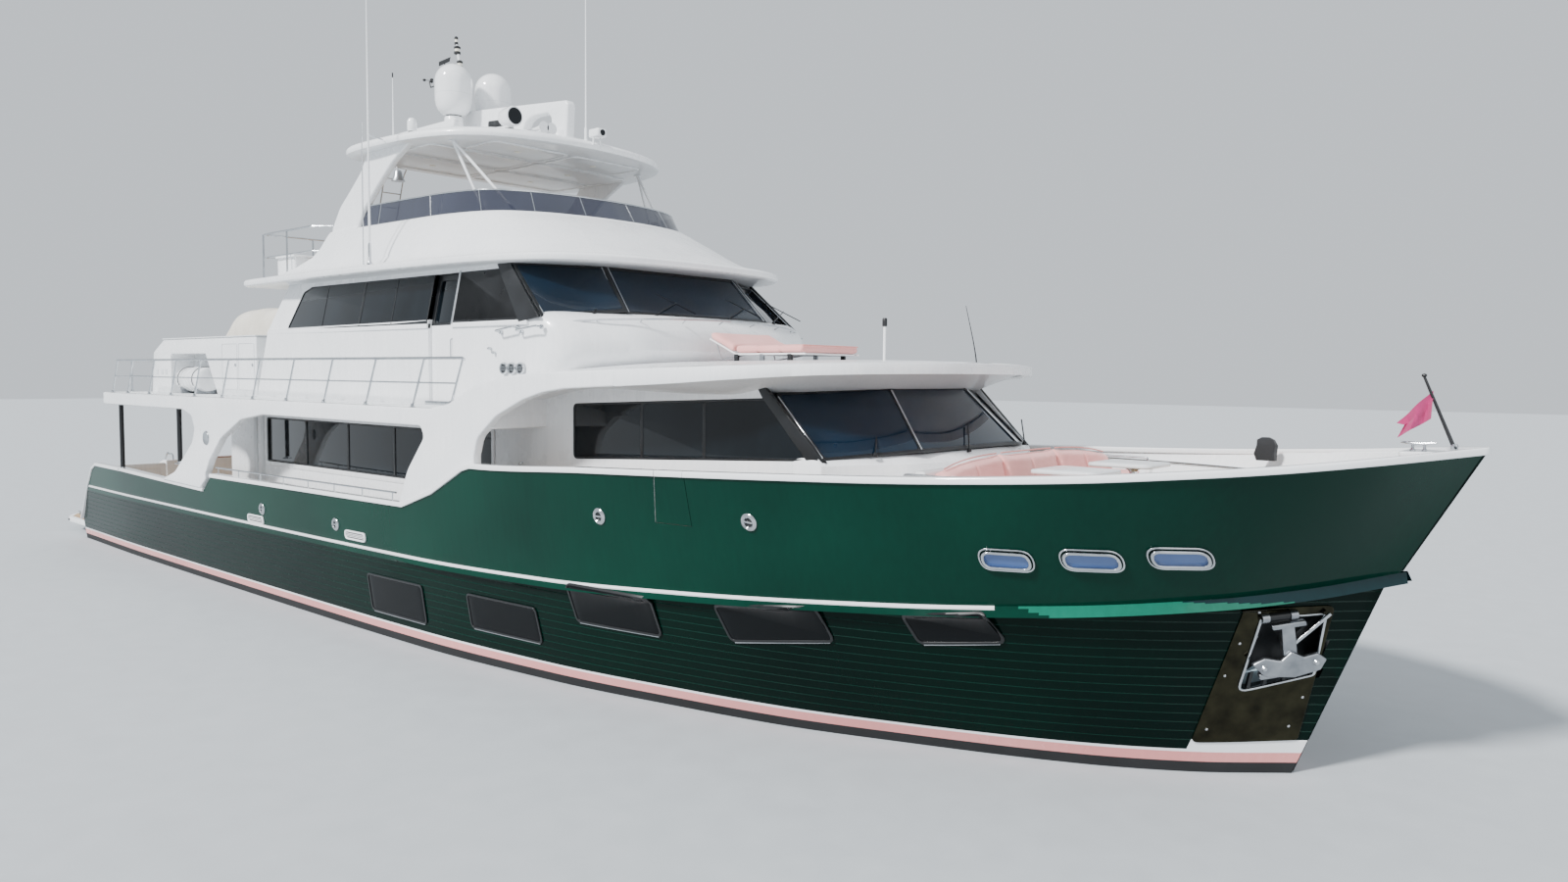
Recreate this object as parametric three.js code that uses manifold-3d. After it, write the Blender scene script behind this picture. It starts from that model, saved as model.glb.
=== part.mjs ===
// A raised-pilothouse motor yacht, 30 m long, afloat at her marks.
// Millimetres. +X forward, +Y to port, +Z up; the origin is on the waterline, amidships, on the centreline.
// Starboard pieces are shaped first, and port pieces are their mirror images.
import * as THREE from "three";
import { mergeVertices } from "three/addons/utils/BufferGeometryUtils.js";
import Module from "manifold-3d";

const wasm = await Module();
wasm.setup();

// Driving dimensions
const GAP = 0.3; // between pieces that touch
const SWING = 6; // between a moving piece and what it passes

const TRANSOM_X = -12400; // where the hull sides end at the platform
const PLATFORM_END_X = -14800;
const STERN_WELL_X = -10950; // forward of the stern stairs
const RAISED_DECK_X = 4400; // where the side decks step up to the foredeck
const STEM_X = 15200;

const PLATFORM_Z = 350;
const STERN_WELL_Z = 330;
const MAIN_DECK_Z = 1150;
const FOREDECK_Z = 2300;
const DECK_SKIN = 50;
const BOAT_DECK_Z = 3500;
const BOAT_DECK_THICK = 250;
const BOAT_DECK_HALF = 3550;
const BOAT_DECK_AFT_X = -10200;
const FLY_SOFFIT_Z = 5550;
const FLY_DECK_Z = 5680;
const COAMING_TOP_Z = 6450;
const HARDTOP_EDGE_Z = 7700;
const HARDTOP_CROWN_Z = 7960;

const BULWARK_WALL = 90;
const HOUSE_WALL = 60;
const HOUSE_HALF = 2600;
const HOUSE_AFT_X = -5500;
const PILOT_HALF = 2700;
const PILOT_AFT_X = -3000;
const GLASS = 16;
const FRONT_WALL = 75; // fore and aft, through the raked fronts

const material = (color, roughness, metalness = 0) =>
  new THREE.MeshStandardMaterial({ color, roughness, metalness });
const FINISH = {
  green: material(0x004a3a, 0.12),
  white: material(0xf2f4f5, 0.25),
  glass: material(0x1b2a33, 0.05),
  steel: material(0xc9ccd0, 0.18, 1),
  bronze: material(0xb08a4a, 0.3, 1),
  teak: material(0xa9855c, 0.7),
  pink: material(0xe8a9a4, 0.8),
  grey: material(0x8c9196, 0.5),
  canvas: material(0xd8d2c4, 0.9),
  black: material(0x15171a, 0.5),
};

const yacht = new THREE.Group();

function add(name, geometry, finish, place) {
  const mesh = new THREE.Mesh(geometry, FINISH[finish]);
  mesh.name = name;
  if (place) place(mesh);
  yacht.add(mesh);
  return mesh;
}

// The starboard piece as shaped, and its mirror image to port.
function addPair(name, geometry, finish) {
  add(name + "_starboard", geometry, finish);
  add(name + "_port", geometry, finish, (mesh) => mesh.scale.set(1, -1, 1));
}

// Solids, and joins and cuts between them
function solid(geometry) {
  const bare = geometry.clone();
  bare.deleteAttribute("normal");
  bare.deleteAttribute("uv");
  const merged = mergeVertices(bare, 1e-3);
  return new wasm.Manifold(
    new wasm.Mesh({
      numProp: 3,
      vertProperties: merged.attributes.position.array,
      triVerts: new Uint32Array(merged.index.array),
    }),
  );
}

function shape(manifold) {
  const mesh = manifold.getMesh();
  const geometry = new THREE.BufferGeometry();
  geometry.setAttribute("position", new THREE.BufferAttribute(mesh.vertProperties, 3));
  geometry.setIndex(new THREE.BufferAttribute(mesh.triVerts, 1));
  const flat = geometry.toNonIndexed();
  flat.computeVertexNormals();
  return flat;
}

const joined = (...geometries) =>
  shape(geometries.map(solid).reduce((whole, piece) => whole.add(piece)));
const cut = (geometry, ...tools) =>
  shape(tools.map(solid).reduce((whole, tool) => whole.subtract(tool), solid(geometry)));
const common = (geometry, other) => shape(solid(geometry).intersect(solid(other)));

// The mirror image across the centreline, its triangles wound the other way.
function mirror(geometry) {
  const image = geometry.index ? geometry.toNonIndexed() : geometry.clone();
  image.scale(1, -1, 1);
  const p = image.attributes.position;
  for (let i = 0; i < p.count; i += 3) {
    const [x, y, z] = [p.getX(i), p.getY(i), p.getZ(i)];
    p.setXYZ(i, p.getX(i + 1), p.getY(i + 1), p.getZ(i + 1));
    p.setXYZ(i + 1, x, y, z);
  }
  return image;
}

// Basic forms
function box(x0, x1, y0, y1, z0, z1) {
  const geometry = new THREE.BoxGeometry(x1 - x0, y1 - y0, z1 - z0);
  geometry.translate((x0 + x1) / 2, (y0 + y1) / 2, (z0 + z1) / 2);
  return geometry;
}

function extruded(points, depth) {
  const outline = new THREE.Shape(points.map(([a, b]) => new THREE.Vector2(a, b)));
  return new THREE.ExtrudeGeometry(outline, { depth, bevelEnabled: false, curveSegments: 8 });
}

// A plan outline of [x, y] points, between two heights.
function slab(points, z0, z1) {
  return extruded(points, z1 - z0).translate(0, 0, z0);
}

// A side-view outline of [x, z] points, between two breadths.
function plate(points, y0, y1) {
  return extruded(points, y1 - y0).rotateX(Math.PI / 2).translate(0, y1, 0);
}

// An end-view outline of [y, z] points, between two stations.
function bulkhead(points, x0, x1) {
  const geometry = extruded(points, x1 - x0);
  const turn = new THREE.Matrix4().makeBasis(
    new THREE.Vector3(0, 1, 0),
    new THREE.Vector3(0, 0, 1),
    new THREE.Vector3(1, 0, 0),
  );
  return geometry.applyMatrix4(turn).translate(x0, 0, 0);
}

// A round bar between two points, with its own radius at each end.
function bar(from, to, radius, endRadius = radius, sides = 6) {
  const a = new THREE.Vector3(...from);
  const b = new THREE.Vector3(...to);
  const run = b.clone().sub(a);
  const geometry = new THREE.CylinderGeometry(endRadius, radius, run.length(), sides);
  const up = new THREE.Vector3(0, 1, 0);
  geometry.applyQuaternion(new THREE.Quaternion().setFromUnitVectors(up, run.normalize()));
  const middle = a.add(b).multiplyScalar(0.5);
  return geometry.translate(middle.x, middle.y, middle.z);
}

// A turned form about the vertical: [radius, height] points from the axis back to the axis.
function turned(points, sides = 16) {
  const profile = points.map(([radius, height]) => new THREE.Vector2(radius, height));
  return new THREE.LatheGeometry(profile, sides).rotateX(Math.PI / 2);
}

// The end of a loft: a ring's triangles, wound with the ring or against it.
function ringCap(ring, base, withRing) {
  const { area, triangulateShape } = THREE.ShapeUtils;
  const without = (axis) => ring.map((p) => new THREE.Vector2(...p.filter((_, i) => i !== axis)));
  const outlines = [0, 1, 2].map(without);
  const outline = outlines.reduce((m, n) => (Math.abs(area(n)) > Math.abs(area(m)) ? n : m));
  const way = area(outline) > 0 === withRing;
  return triangulateShape(outline, []).flatMap(([i, j, k]) => {
    const likeRing = area([outline[i], outline[j], outline[k]]) > 0;
    return likeRing === way ? [base + i, base + j, base + k] : [base + i, base + k, base + j];
  });
}

// A solid through rings of like point count; each ring is a list of [x, y, z].
// Each four-sided patch is split along its shorter diagonal, so offset and mirrored copies match.
function loft(rings) {
  const count = rings[0].length;
  const points = rings.flat().map((p) => new THREE.Vector3(...p));
  const index = [];
  for (let r = 0; r + 1 < rings.length; r += 1) {
    for (let i = 0; i < count; i += 1) {
      const a = r * count + i;
      const b = r * count + ((i + 1) % count);
      const [c, d] = [a + count, b + count];
      const crossed = points[a].distanceTo(points[d]) < points[b].distanceTo(points[c]) - 1e-6;
      index.push(...(crossed ? [a, c, d, a, d, b] : [a, c, b, b, c, d]));
    }
  }
  const last = rings.length - 1;
  index.push(...ringCap(rings[0], 0, true), ...ringCap(rings[last], last * count, false));
  let volume = 0;
  for (let i = 0; i < index.length; i += 3) {
    const [a, b, c] = index.slice(i, i + 3).map((n) => points[n]);
    volume += a.dot(b.clone().cross(c));
  }
  if (volume < 0) index.reverse();
  const geometry = new THREE.BufferGeometry();
  geometry.setAttribute("position", new THREE.Float32BufferAttribute(rings.flat(2), 3));
  geometry.setIndex(index);
  return geometry;
}

// Smooth interpolation through [x, value] rows, with no overshoot.
function smooth(rows, x) {
  const last = rows.length - 1;
  if (x <= rows[0][0]) return rows[0][1];
  if (x >= rows[last][0]) return rows[last][1];
  const slope = (i) => (rows[i + 1][1] - rows[i][1]) / (rows[i + 1][0] - rows[i][0]);
  const tangent = (i) => {
    if (i === 0) return slope(0);
    if (i === last) return slope(last - 1);
    const before = slope(i - 1);
    const after = slope(i);
    return before * after <= 0 ? 0 : (2 * before * after) / (before + after);
  };
  const i = rows.findIndex((row) => row[0] > x) - 1;
  const span = rows[i + 1][0] - rows[i][0];
  const t = (x - rows[i][0]) / span;
  const s = 1 - t;
  return (
    rows[i][1] * (1 + 2 * t) * s * s +
    tangent(i) * span * t * s * s +
    rows[i + 1][1] * t * t * (3 - 2 * t) -
    tangent(i + 1) * span * t * t * s
  );
}

// Hull
// Each rail runs from the transom to the stem. Rows: [x, half-breadth, height].
const FLANGE_AFT_X = 2780; // where the knuckle flange dies away
const KNUCKLE = [
  [-12400, 3300, 1330],
  [-8000, 3430, 1340],
  [-2000, 3480, 1350],
  [2780, 3480, 1370],
  [5800, 3400, 1440],
  [8000, 3200, 1550],
  [10400, 2740, 1700],
  [12000, 2130, 1810],
  [13260, 1270, 1930],
  [13900, 680, 2030],
  [14570, 30, 2190],
];
const SHEER = [
  [-12400, 3380, 2750],
  [-9000, 3500, 2750],
  [-4000, 3590, 2750],
  [4400, 3600, 2750],
  [6700, 3560, 2840],
  [8300, 3480, 2895],
  [9700, 3340, 2945],
  [10800, 3160, 2985],
  [12400, 2700, 3070],
  [13300, 2220, 3140],
  [13900, 1790, 3195],
  [14500, 1190, 3265],
  [15200, 30, 3350],
];
const RAILS = {
  centre: [
    [-12400, 0, -620],
    [-8000, 0, -1120],
    [-4000, 0, -1380],
    [4000, 0, -1450],
    [9000, 0, -1300],
    [12000, 0, -1000],
    [12900, 0, -850],
  ],
  bottom: [
    [-12400, 1700, -470],
    [-8000, 1800, -900],
    [0, 1800, -1180],
    [4000, 1600, -1200],
    [8000, 1020, -1100],
    [11000, 420, -900],
    [13050, 30, -700],
  ],
  bilge: [
    [-12400, 2950, -180],
    [-6000, 3060, -430],
    [0, 3060, -560],
    [4000, 2820, -560],
    [8000, 2080, -520],
    [10500, 1290, -480],
    [12500, 430, -430],
    [13350, 30, -400],
  ],
  water: [
    [-12400, 3150, 0],
    [-8000, 3270, 0],
    [0, 3310, 0],
    [2600, 3280, 0],
    [5400, 3060, 0],
    [7500, 2690, 0],
    [8850, 2380, 0],
    [10000, 1990, 0],
    [11900, 1230, 0],
    [12840, 680, 0],
    [13620, 30, 0],
  ],
};
const STATIONS = 24;
const flangeFade = (x) => THREE.MathUtils.smoothstep(x, FLANGE_AFT_X - 900, FLANGE_AFT_X + 600);

// A point of a rail, a share of the way from the transom to its stem, drawn in by an inset.
function railPoint(rows, share, inset = 0) {
  const stem = rows.at(-1)[0] - 1.6 * inset;
  const x = TRANSOM_X + (stem - TRANSOM_X) * share;
  const across = smooth(rows.map((row) => [row[0], row[1]]), x + 1.6 * inset * share);
  const height = smooth(rows.map((row) => [row[0], row[2]]), x + 1.6 * inset * share);
  return [x, Math.max(across - inset, across > 0 ? 20 : 0), height];
}

// Half of a hull section, from the centreline to the sheer.
function halfSection(share, inset) {
  const knuckle = railPoint(KNUCKLE, share, inset);
  const fade = flangeFade(knuckle[0]);
  const lower = knuckle[0] - 170 * share ** 6 * fade;
  return [
    ...Object.values(RAILS).map((rows) => railPoint(rows, share, inset)),
    [lower, Math.max(knuckle[1] - 60 * fade, 20), knuckle[2] - 170 - 60 * fade * share ** 6],
    [knuckle[0] + 30 * fade * share, knuckle[1] + 60 * fade, knuckle[2] - 100],
    knuckle,
    railPoint(SHEER, share, inset),
  ];
}

function hullForm(inset = 0) {
  const rings = [];
  for (let i = 0; i <= STATIONS; i += 1) {
    const share = 1 - (1 - i / STATIONS) ** 1.25;
    const half = halfSection(share, inset);
    const middle = half.slice(1).map(([x, , z]) => [x, 0, z]).reverse();
    rings.push([...half.map(([x, y, z]) => [x, -y, z]), ...middle]);
  }
  const starboard = loft(rings);
  return joined(starboard, mirror(starboard));
}

// Green topsides' upper edge in side view: [x, z], aft to forward.
const STERN_WING = [
  [-12390, 480],
  [-12100, 760],
  [-11600, 1340],
  [-11200, 1720],
  [-10900, 1830],
];
const LOW_SHEER = [
  [-9000, 1830],
  [-4550, 1750],
  [-4150, 2040],
  [2600, 2080],
  [3400, 2330],
  [4200, 2700],
];
const BOW_SHEER = [4400, 6700, 8300, 9700, 10800, 12400, 13300, 13900, 14500, 15200].map((x) => [
  x,
  smooth(SHEER.map((row) => [row[0], row[2]]), x),
]);
const TOP_EDGE = [...STERN_WING, ...LOW_SHEER, ...BOW_SHEER];
const FAR = 5000; // beyond the half-breadth
const CAP_WIDE = 190;
const CAP_DEEP = 60;

const sheerHalf = (x, z) => {
  const low = smooth(KNUCKLE.map((row) => [row[0], row[1]]), Math.min(x, 14500));
  const high = smooth(SHEER.map((row) => [row[0], row[1]]), x);
  const lowZ = smooth(KNUCKLE.map((row) => [row[0], row[2]]), x);
  const highZ = smooth(SHEER.map((row) => [row[0], row[2]]), x);
  return low + ((high - low) * (z - lowZ)) / (highZ - lowZ);
};

const ENGINE_ROOM = [-7300, -2600, -1900, 1900, -650, 1200];
const HOUSE_WELL = [3000, 8900, -2350, 2350, MAIN_DECK_Z - DECK_SKIN, 4000];
const outerHull = hullForm();
const deckCut = plate(
  [
    [-13000, STERN_WELL_Z],
    [STERN_WELL_X, STERN_WELL_Z],
    [STERN_WELL_X, MAIN_DECK_Z - DECK_SKIN],
    [RAISED_DECK_X, MAIN_DECK_Z - DECK_SKIN],
    [RAISED_DECK_X, FOREDECK_Z - DECK_SKIN],
    [16000, FOREDECK_Z - DECK_SKIN],
    [16000, 6000],
    [-13000, 6000],
  ],
  -FAR,
  FAR,
);
const KEEL_Z = -1850;
const KEEL_HALF = 90;
const keel = plate(
  [
    [-7600, -1000],
    [-8100, KEEL_Z],
    [7600, KEEL_Z],
    [10600, KEEL_Z + 220],
    [12000, -1000],
  ],
  -KEEL_HALF,
  KEEL_HALF,
);
add("keel", cut(keel, outerHull, outerHull.clone().translate(0, 0, -GAP)), "green");
// The shaft line runs down aft from a stern tube to the propeller.
const SHAFT = { y: -1350, foreX: -5600, foreZ: -850, propX: -9900, propZ: -1330, radius: 48 };
const SHAFT_END_X = -7400;
const shaftSlope = Math.atan2(SHAFT.foreZ - SHAFT.propZ, SHAFT.foreX - SHAFT.propX);
const shaftPoint = (x) => [x, SHAFT.y, SHAFT.propZ + (x - SHAFT.propX) * Math.tan(shaftSlope)];
const onShaft = (x0, x1, radius) => bar(shaftPoint(x0), shaftPoint(x1), radius, radius, 12);
const sternTube = onShaft(-7700, -6800, 90);
const shaftHole = onShaft(-9600, SHAFT_END_X + 60, SHAFT.radius + 8);
const STRUT_X = -9300;
const strutZ = shaftPoint(STRUT_X)[2];
const strut = joined(
  onShaft(STRUT_X - 130, STRUT_X + 130, 95),
  plate(
    [
      [STRUT_X - 90, strutZ + 60],
      [STRUT_X + 90, strutZ + 60],
      [STRUT_X + 120, -700],
      [STRUT_X - 120, -700],
    ],
    SHAFT.y - 18,
    SHAFT.y + 18,
  ),
);
add(
  "hull",
  cut(
    joined(outerHull, sternTube, mirror(sternTube), strut, mirror(strut)),
    deckCut,
    box(...ENGINE_ROOM),
    box(...HOUSE_WELL),
    shaftHole,
    mirror(shaftHole),
  ),
  "green",
);

const bulwarkSide = plate(
  [
    [-12390, STERN_WELL_Z + GAP],
    [STERN_WELL_X - GAP, STERN_WELL_Z + GAP],
    [STERN_WELL_X - GAP, MAIN_DECK_Z - DECK_SKIN + GAP],
    [RAISED_DECK_X - GAP, MAIN_DECK_Z - DECK_SKIN + GAP],
    [RAISED_DECK_X - GAP, FOREDECK_Z - DECK_SKIN + GAP],
    [15400, FOREDECK_Z - DECK_SKIN + GAP],
    ...TOP_EDGE.toReversed(),
  ],
  -FAR,
  -GAP,
);

// A cap rail along the top edge between two of its stations.
function capRail(rows) {
  return loft(
    rows.map(([x, z]) => {
      const outer = -Math.max(sheerHalf(x, z) + 25, 30);
      const inner = Math.min(outer + CAP_WIDE, -GAP);
      return [
        [x, outer, z - 5],
        [x, outer, z + CAP_DEEP - 15],
        [x, outer + 30, z + CAP_DEEP],
        [x, inner, z + CAP_DEEP],
        [x, inner, z - 5],
      ];
    }),
  );
}
// The boarding gate hangs on its forward edge; its free edge is mitred, to swing inward. Plan: [x, y]
const GATE_SILL_Z = FOREDECK_Z + 40;
const GATE = { foreX: 8300, aftX: 7860, faceY: -3505, mitre: 0.8 };
const gatePlan = (clear, inner, outer) => {
  const free = (y) => GATE.aftX - GATE.mitre * (y - GATE.faceY) - 1.4 * clear;
  const hung = GATE.foreX + clear;
  return [
    [hung, outer],
    [hung, inner],
    [free(inner), inner],
    [free(outer), outer],
  ];
};
const gateHole = slab(gatePlan(SWING, -2900, -3990), GATE_SILL_Z - SWING, 4000);
const aftCap = [...STERN_WING, ...LOW_SHEER.slice(0, 2)];
const midCap = LOW_SHEER.slice(2);
const stem = BOW_SHEER.at(-1);
const bulwark = joined(
  cut(common(outerHull, bulwarkSide), hullForm(BULWARK_WALL)),
  capRail(aftCap),
  capRail([...midCap, ...BOW_SHEER.slice(0, -1), [stem[0] - 30, stem[1]]]),
);
addPair("bulwark", cut(bulwark, gateHole), "green");
addPair(
  "boarding_gate",
  common(bulwark, slab(gatePlan(0, -3000, -3900), GATE_SILL_Z, 4000)),
  "green",
);
// Anchors, stowed against the hull under the flange: side-view outline, [x, z]
const ANCHOR = [
  [13480, 1700],
  [13920, 1780],
  [13800, 1480],
  [13700, 1440],
  [13560, 760],
  [13480, 740],
  [13520, 1400],
  [13400, 1420],
];
addPair(
  "anchor",
  cut(common(plate(ANCHOR, -FAR, -100), hullForm(-110)), hullForm(-GAP)),
  "steel",
);

// Decks
const insideForm = hullForm(BULWARK_WALL + 4);
const mirrored = (points) => points.map(([x, y]) => [x, -y]).reverse();
const withMirror = (points) => [...points, ...mirrored(points)];
// A half-plan that ends on the centreline, and its mirror image.
const around = (points) => [...points, ...mirrored(points.slice(0, -1))];
const mainDeckSide = [
  [STERN_WELL_X, FAR],
  [RAISED_DECK_X - GAP, FAR],
  [RAISED_DECK_X - GAP, HOUSE_WELL[3] - GAP],
  [HOUSE_WELL[1] - GAP, HOUSE_WELL[3] - GAP],
];
add(
  "main_deck",
  common(slab(withMirror(mainDeckSide), MAIN_DECK_Z - DECK_SKIN + GAP, MAIN_DECK_Z), insideForm),
  "teak",
);
add(
  "foredeck",
  cut(
    common(
      box(RAISED_DECK_X + GAP, STEM_X, -FAR, FAR, FOREDECK_Z - DECK_SKIN + GAP, FOREDECK_Z),
      insideForm,
    ),
    box(4000, HOUSE_WELL[1] + GAP, HOUSE_WELL[2] - GAP, HOUSE_WELL[3] + GAP, 2000, 4000),
  ),
  "teak",
);

// Stern
const STAIR_INNER = 1900;
const STAIR_STEPS = 4;
const stairRun = (STERN_WELL_X - TRANSOM_X - 60) / STAIR_STEPS;
const stairRise = (MAIN_DECK_Z - PLATFORM_Z) / STAIR_STEPS;
const stairLine = [];
for (let i = 0; i < STAIR_STEPS; i += 1) {
  const x = TRANSOM_X + 60 + i * stairRun;
  const z = PLATFORM_Z + i * stairRise + stairRise;
  stairLine.push([x, z - stairRise], [x, z]);
}
const stairs = common(
  plate(
    [
      [STERN_WELL_X - 2 * GAP, STERN_WELL_Z + GAP],
      [TRANSOM_X + 60, STERN_WELL_Z + GAP],
      ...stairLine,
      [STERN_WELL_X - 2 * GAP, MAIN_DECK_Z],
    ],
    -FAR,
    -STAIR_INNER + 10,
  ),
  hullForm(CAP_WIDE),
);
const transomBlock = plate(
  [
    [STERN_WELL_X - 2 * GAP, STERN_WELL_Z + GAP],
    [-12150, STERN_WELL_Z + GAP],
    [-12150, 620],
    [-11400, 1800],
    [-11150, 1860],
    [STERN_WELL_X - 2 * GAP, 1860],
  ],
  -STAIR_INNER,
  STAIR_INNER,
);
add("transom", joined(transomBlock, stairs, mirror(stairs)), "white");
const platformCorner = 700;
const platformHalf = 3050;
add(
  "swim_platform",
  slab(
    withMirror([
      [TRANSOM_X - GAP, platformHalf],
      [PLATFORM_END_X + platformCorner, platformHalf],
      [PLATFORM_END_X + 200, platformHalf - 250],
      [PLATFORM_END_X, platformHalf - platformCorner],
    ].reverse()),
    PLATFORM_Z - 150,
    PLATFORM_Z,
  ),
  "teak",
);
const GATE_THICK = 35;
addPair(
  "stern_gate",
  common(
    box(
      STERN_WELL_X + 20,
      STERN_WELL_X + 20 + GATE_THICK,
      -FAR,
      -STAIR_INNER - SWING,
      MAIN_DECK_Z + 40,
      1820,
    ),
    hullForm(BULWARK_WALL + 140),
  ),
  "white",
);

// Running gear
// A four-bladed propeller on its shaft, about the shaft's own line.
function propeller() {
  const blade = new THREE.Shape([
    [60, -70],
    [190, -170],
    [350, -215],
    [470, -160],
    [520, -20],
    [490, 120],
    [380, 190],
    [220, 165],
    [60, 80],
  ].map(([r, w]) => new THREE.Vector2(w, r)));
  const flat = new THREE.ExtrudeGeometry(blade, { depth: 22, bevelEnabled: false });
  flat.translate(0, 0, -11).rotateY(Math.PI / 2 - 0.62);
  const blades = [0, 1, 2, 3].map((n) => flat.clone().rotateX((n * Math.PI) / 2));
  const hub = new THREE.CylinderGeometry(80, 110, 260, 12).rotateZ(Math.PI / 2);
  const length = (SHAFT_END_X - SHAFT.propX) / Math.cos(shaftSlope);
  const shaft = new THREE.CylinderGeometry(SHAFT.radius, SHAFT.radius, length, 10);
  shaft.rotateZ(Math.PI / 2).translate(length / 2, 0, 0);
  const whole = joined(hub, shaft, ...blades);
  return whole.rotateY(-shaftSlope).translate(SHAFT.propX, SHAFT.y, SHAFT.propZ);
}
addPair("propeller", propeller(), "bronze");
const RUDDER_STOCK_X = -11000;
addPair(
  "rudder",
  joined(
    plate(
      [
        [RUDDER_STOCK_X + 260, -760],
        [RUDDER_STOCK_X + 200, -1720],
        [RUDDER_STOCK_X - 420, -1720],
        [RUDDER_STOCK_X - 520, -760],
      ],
      SHAFT.y - 35,
      SHAFT.y + 35,
    ),
    bar([RUDDER_STOCK_X, SHAFT.y, -1000], [RUDDER_STOCK_X, SHAFT.y, -670], 50, 50, 10),
  ),
  "bronze",
);
const ENGINE = { length: 2600, width: 1150, height: 1250, y: -1250, x: -5600 };
addPair(
  "engine",
  box(
    ENGINE.x - ENGINE.length / 2,
    ENGINE.x + ENGINE.length / 2,
    ENGINE.y - ENGINE.width / 2,
    ENGINE.y + ENGINE.width / 2,
    ENGINE_ROOM[4] + GAP,
    ENGINE_ROOM[4] + GAP + ENGINE.height,
  ),
  "grey",
);

// Boat deck and the roof of the forward house
const BOAT_SOFFIT_Z = BOAT_DECK_Z - BOAT_DECK_THICK;
const FORE_SOFFIT = [
  [RAISED_DECK_X - 200, 3560],
  [5300, 3750],
  [7000, 3905],
  [8500, 3985],
  [10200, 4030],
];
const foreSoffit = (x) => smooth(FORE_SOFFIT, x);
const roundedEnd = (x, half, radius, steps = 4) => {
  const points = [];
  for (let i = 0; i <= steps; i += 1) {
    const turn = (Math.PI / 2) * (i / steps);
    points.push([x + radius * (1 - Math.sin(turn)), half - radius * (1 - Math.cos(turn))]);
  }
  return points;
};
// A bulkhead over the side decks closes the rise from the boat deck to the forward roof.
const RISER = { x0: 4500, x1: 4700, top: 3700 };
const boatDeckSide = [
  ...roundedEnd(BOAT_DECK_AFT_X, BOAT_DECK_HALF, 600).reverse(),
  [RISER.x0 - GAP, BOAT_DECK_HALF],
];
const boatDeck = slab(withMirror(boatDeckSide), BOAT_SOFFIT_Z, BOAT_DECK_Z);
// Chocks for a tender, within reach of the davit
const CHOCK = { length: 250, y0: 1900, y1: 2900, top: 3620 };
const chocks = [-8900, -7500].map((x) =>
  box(x, x + CHOCK.length, CHOCK.y0, CHOCK.y1, BOAT_DECK_Z - 10, CHOCK.top),
);
// Roof sections: [x, half-breadth, edge height, crown height]
const ROOF = [
  [4620, 3560, 3990, 4200],
  [6000, 3470, 4060, 4260],
  [7500, 3290, 4120, 4290],
  [8600, 2980, 4150, 4290],
  [9300, 2420, 4170, 4270],
  [9700, 1750, 4185, 4250],
  [9930, 900, 4190, 4220],
];
function roofSection([x, half, edge, crown]) {
  const soffit = foreSoffit(x);
  return [
    [x, -half + 60, soffit],
    [x, -half, soffit + 40],
    [x, -half + 30, edge - 20],
    [x, -half + 220, edge + 30],
    [x, 0, crown],
    [x, half - 220, edge + 30],
    [x, half - 30, edge - 20],
    [x, half, soffit + 40],
    [x, half - 60, soffit],
  ];
}
const foreRoof = loft(ROOF.map(roofSection));
const riser = box(
  RISER.x0,
  RISER.x1,
  -BOAT_DECK_HALF,
  BOAT_DECK_HALF,
  BOAT_SOFFIT_Z + 20,
  RISER.top,
);

// Side pillars between the cap rails and the boat deck: [x, z]
const PILLAR_IN = -3410;
const PILLAR_OUT = -3545;
const AFT_PILLAR = [
  [-6470, 1850],
  [-5800, 2090],
  [-5150, 2520],
  [-4880, 2760],
  [-4790, 2960],
  [-5150, BOAT_SOFFIT_Z + 10],
  [-1790, BOAT_SOFFIT_Z + 10],
  [-2760, 3140],
  [-3610, 2780],
  [-4150, 2340],
  [-4330, 2105],
  [-4330, 2040],
  [-4600, 1850],
];
const MID_PILLAR = [
  [2490, 2150],
  [2740, 2610],
  [3190, 3140],
  [3300, BOAT_SOFFIT_Z - GAP],
  [RISER.x0 + 20, BOAT_SOFFIT_Z - GAP],
  [RISER.x0 + 20, 3600],
  ...[4640, 5300, 6400].map((x) => [x, foreSoffit(x) + 30]),
  [6030, 3790],
  [5430, 3655],
  [4900, 3440],
  [4500, 3180],
  [4400, 2830],
  [4180, 2790],
  [3380, 2420],
  [2600, 2150],
];
const POST_X = -9150;
const aftPillars = [
  plate(AFT_PILLAR, PILLAR_OUT, PILLAR_IN),
  bar([POST_X, -3380, 1830 + CAP_DEEP + GAP], [POST_X, -3380, BOAT_SOFFIT_Z + 10], 45, 45, 8),
];
const midPillar = plate(MID_PILLAR, PILLAR_OUT, PILLAR_IN);
add("boat_deck", joined(boatDeck, ...chocks, ...aftPillars, ...aftPillars.map(mirror)), "white");
add("fore_roof", joined(foreRoof, riser, midPillar, mirror(midPillar)), "white");
// What stands under the roof stops short of it, and so does what stands on it.
const roofAbove = foreRoof.clone().translate(0, 0, -GAP);
const riserAbove = box(4000, RISER.x1 + GAP, -FAR, FAR, BOAT_SOFFIT_Z - GAP, RISER.top);
const roofBelow = [
  foreRoof.clone().translate(-GAP, 0, GAP),
  box(RISER.x0 - GAP, RISER.x1, -FAR, FAR, BOAT_SOFFIT_Z, RISER.top + GAP),
  box(ROOF[0][0] - GAP, 7000, -FAR, FAR, 3000, 3900),
];

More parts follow.
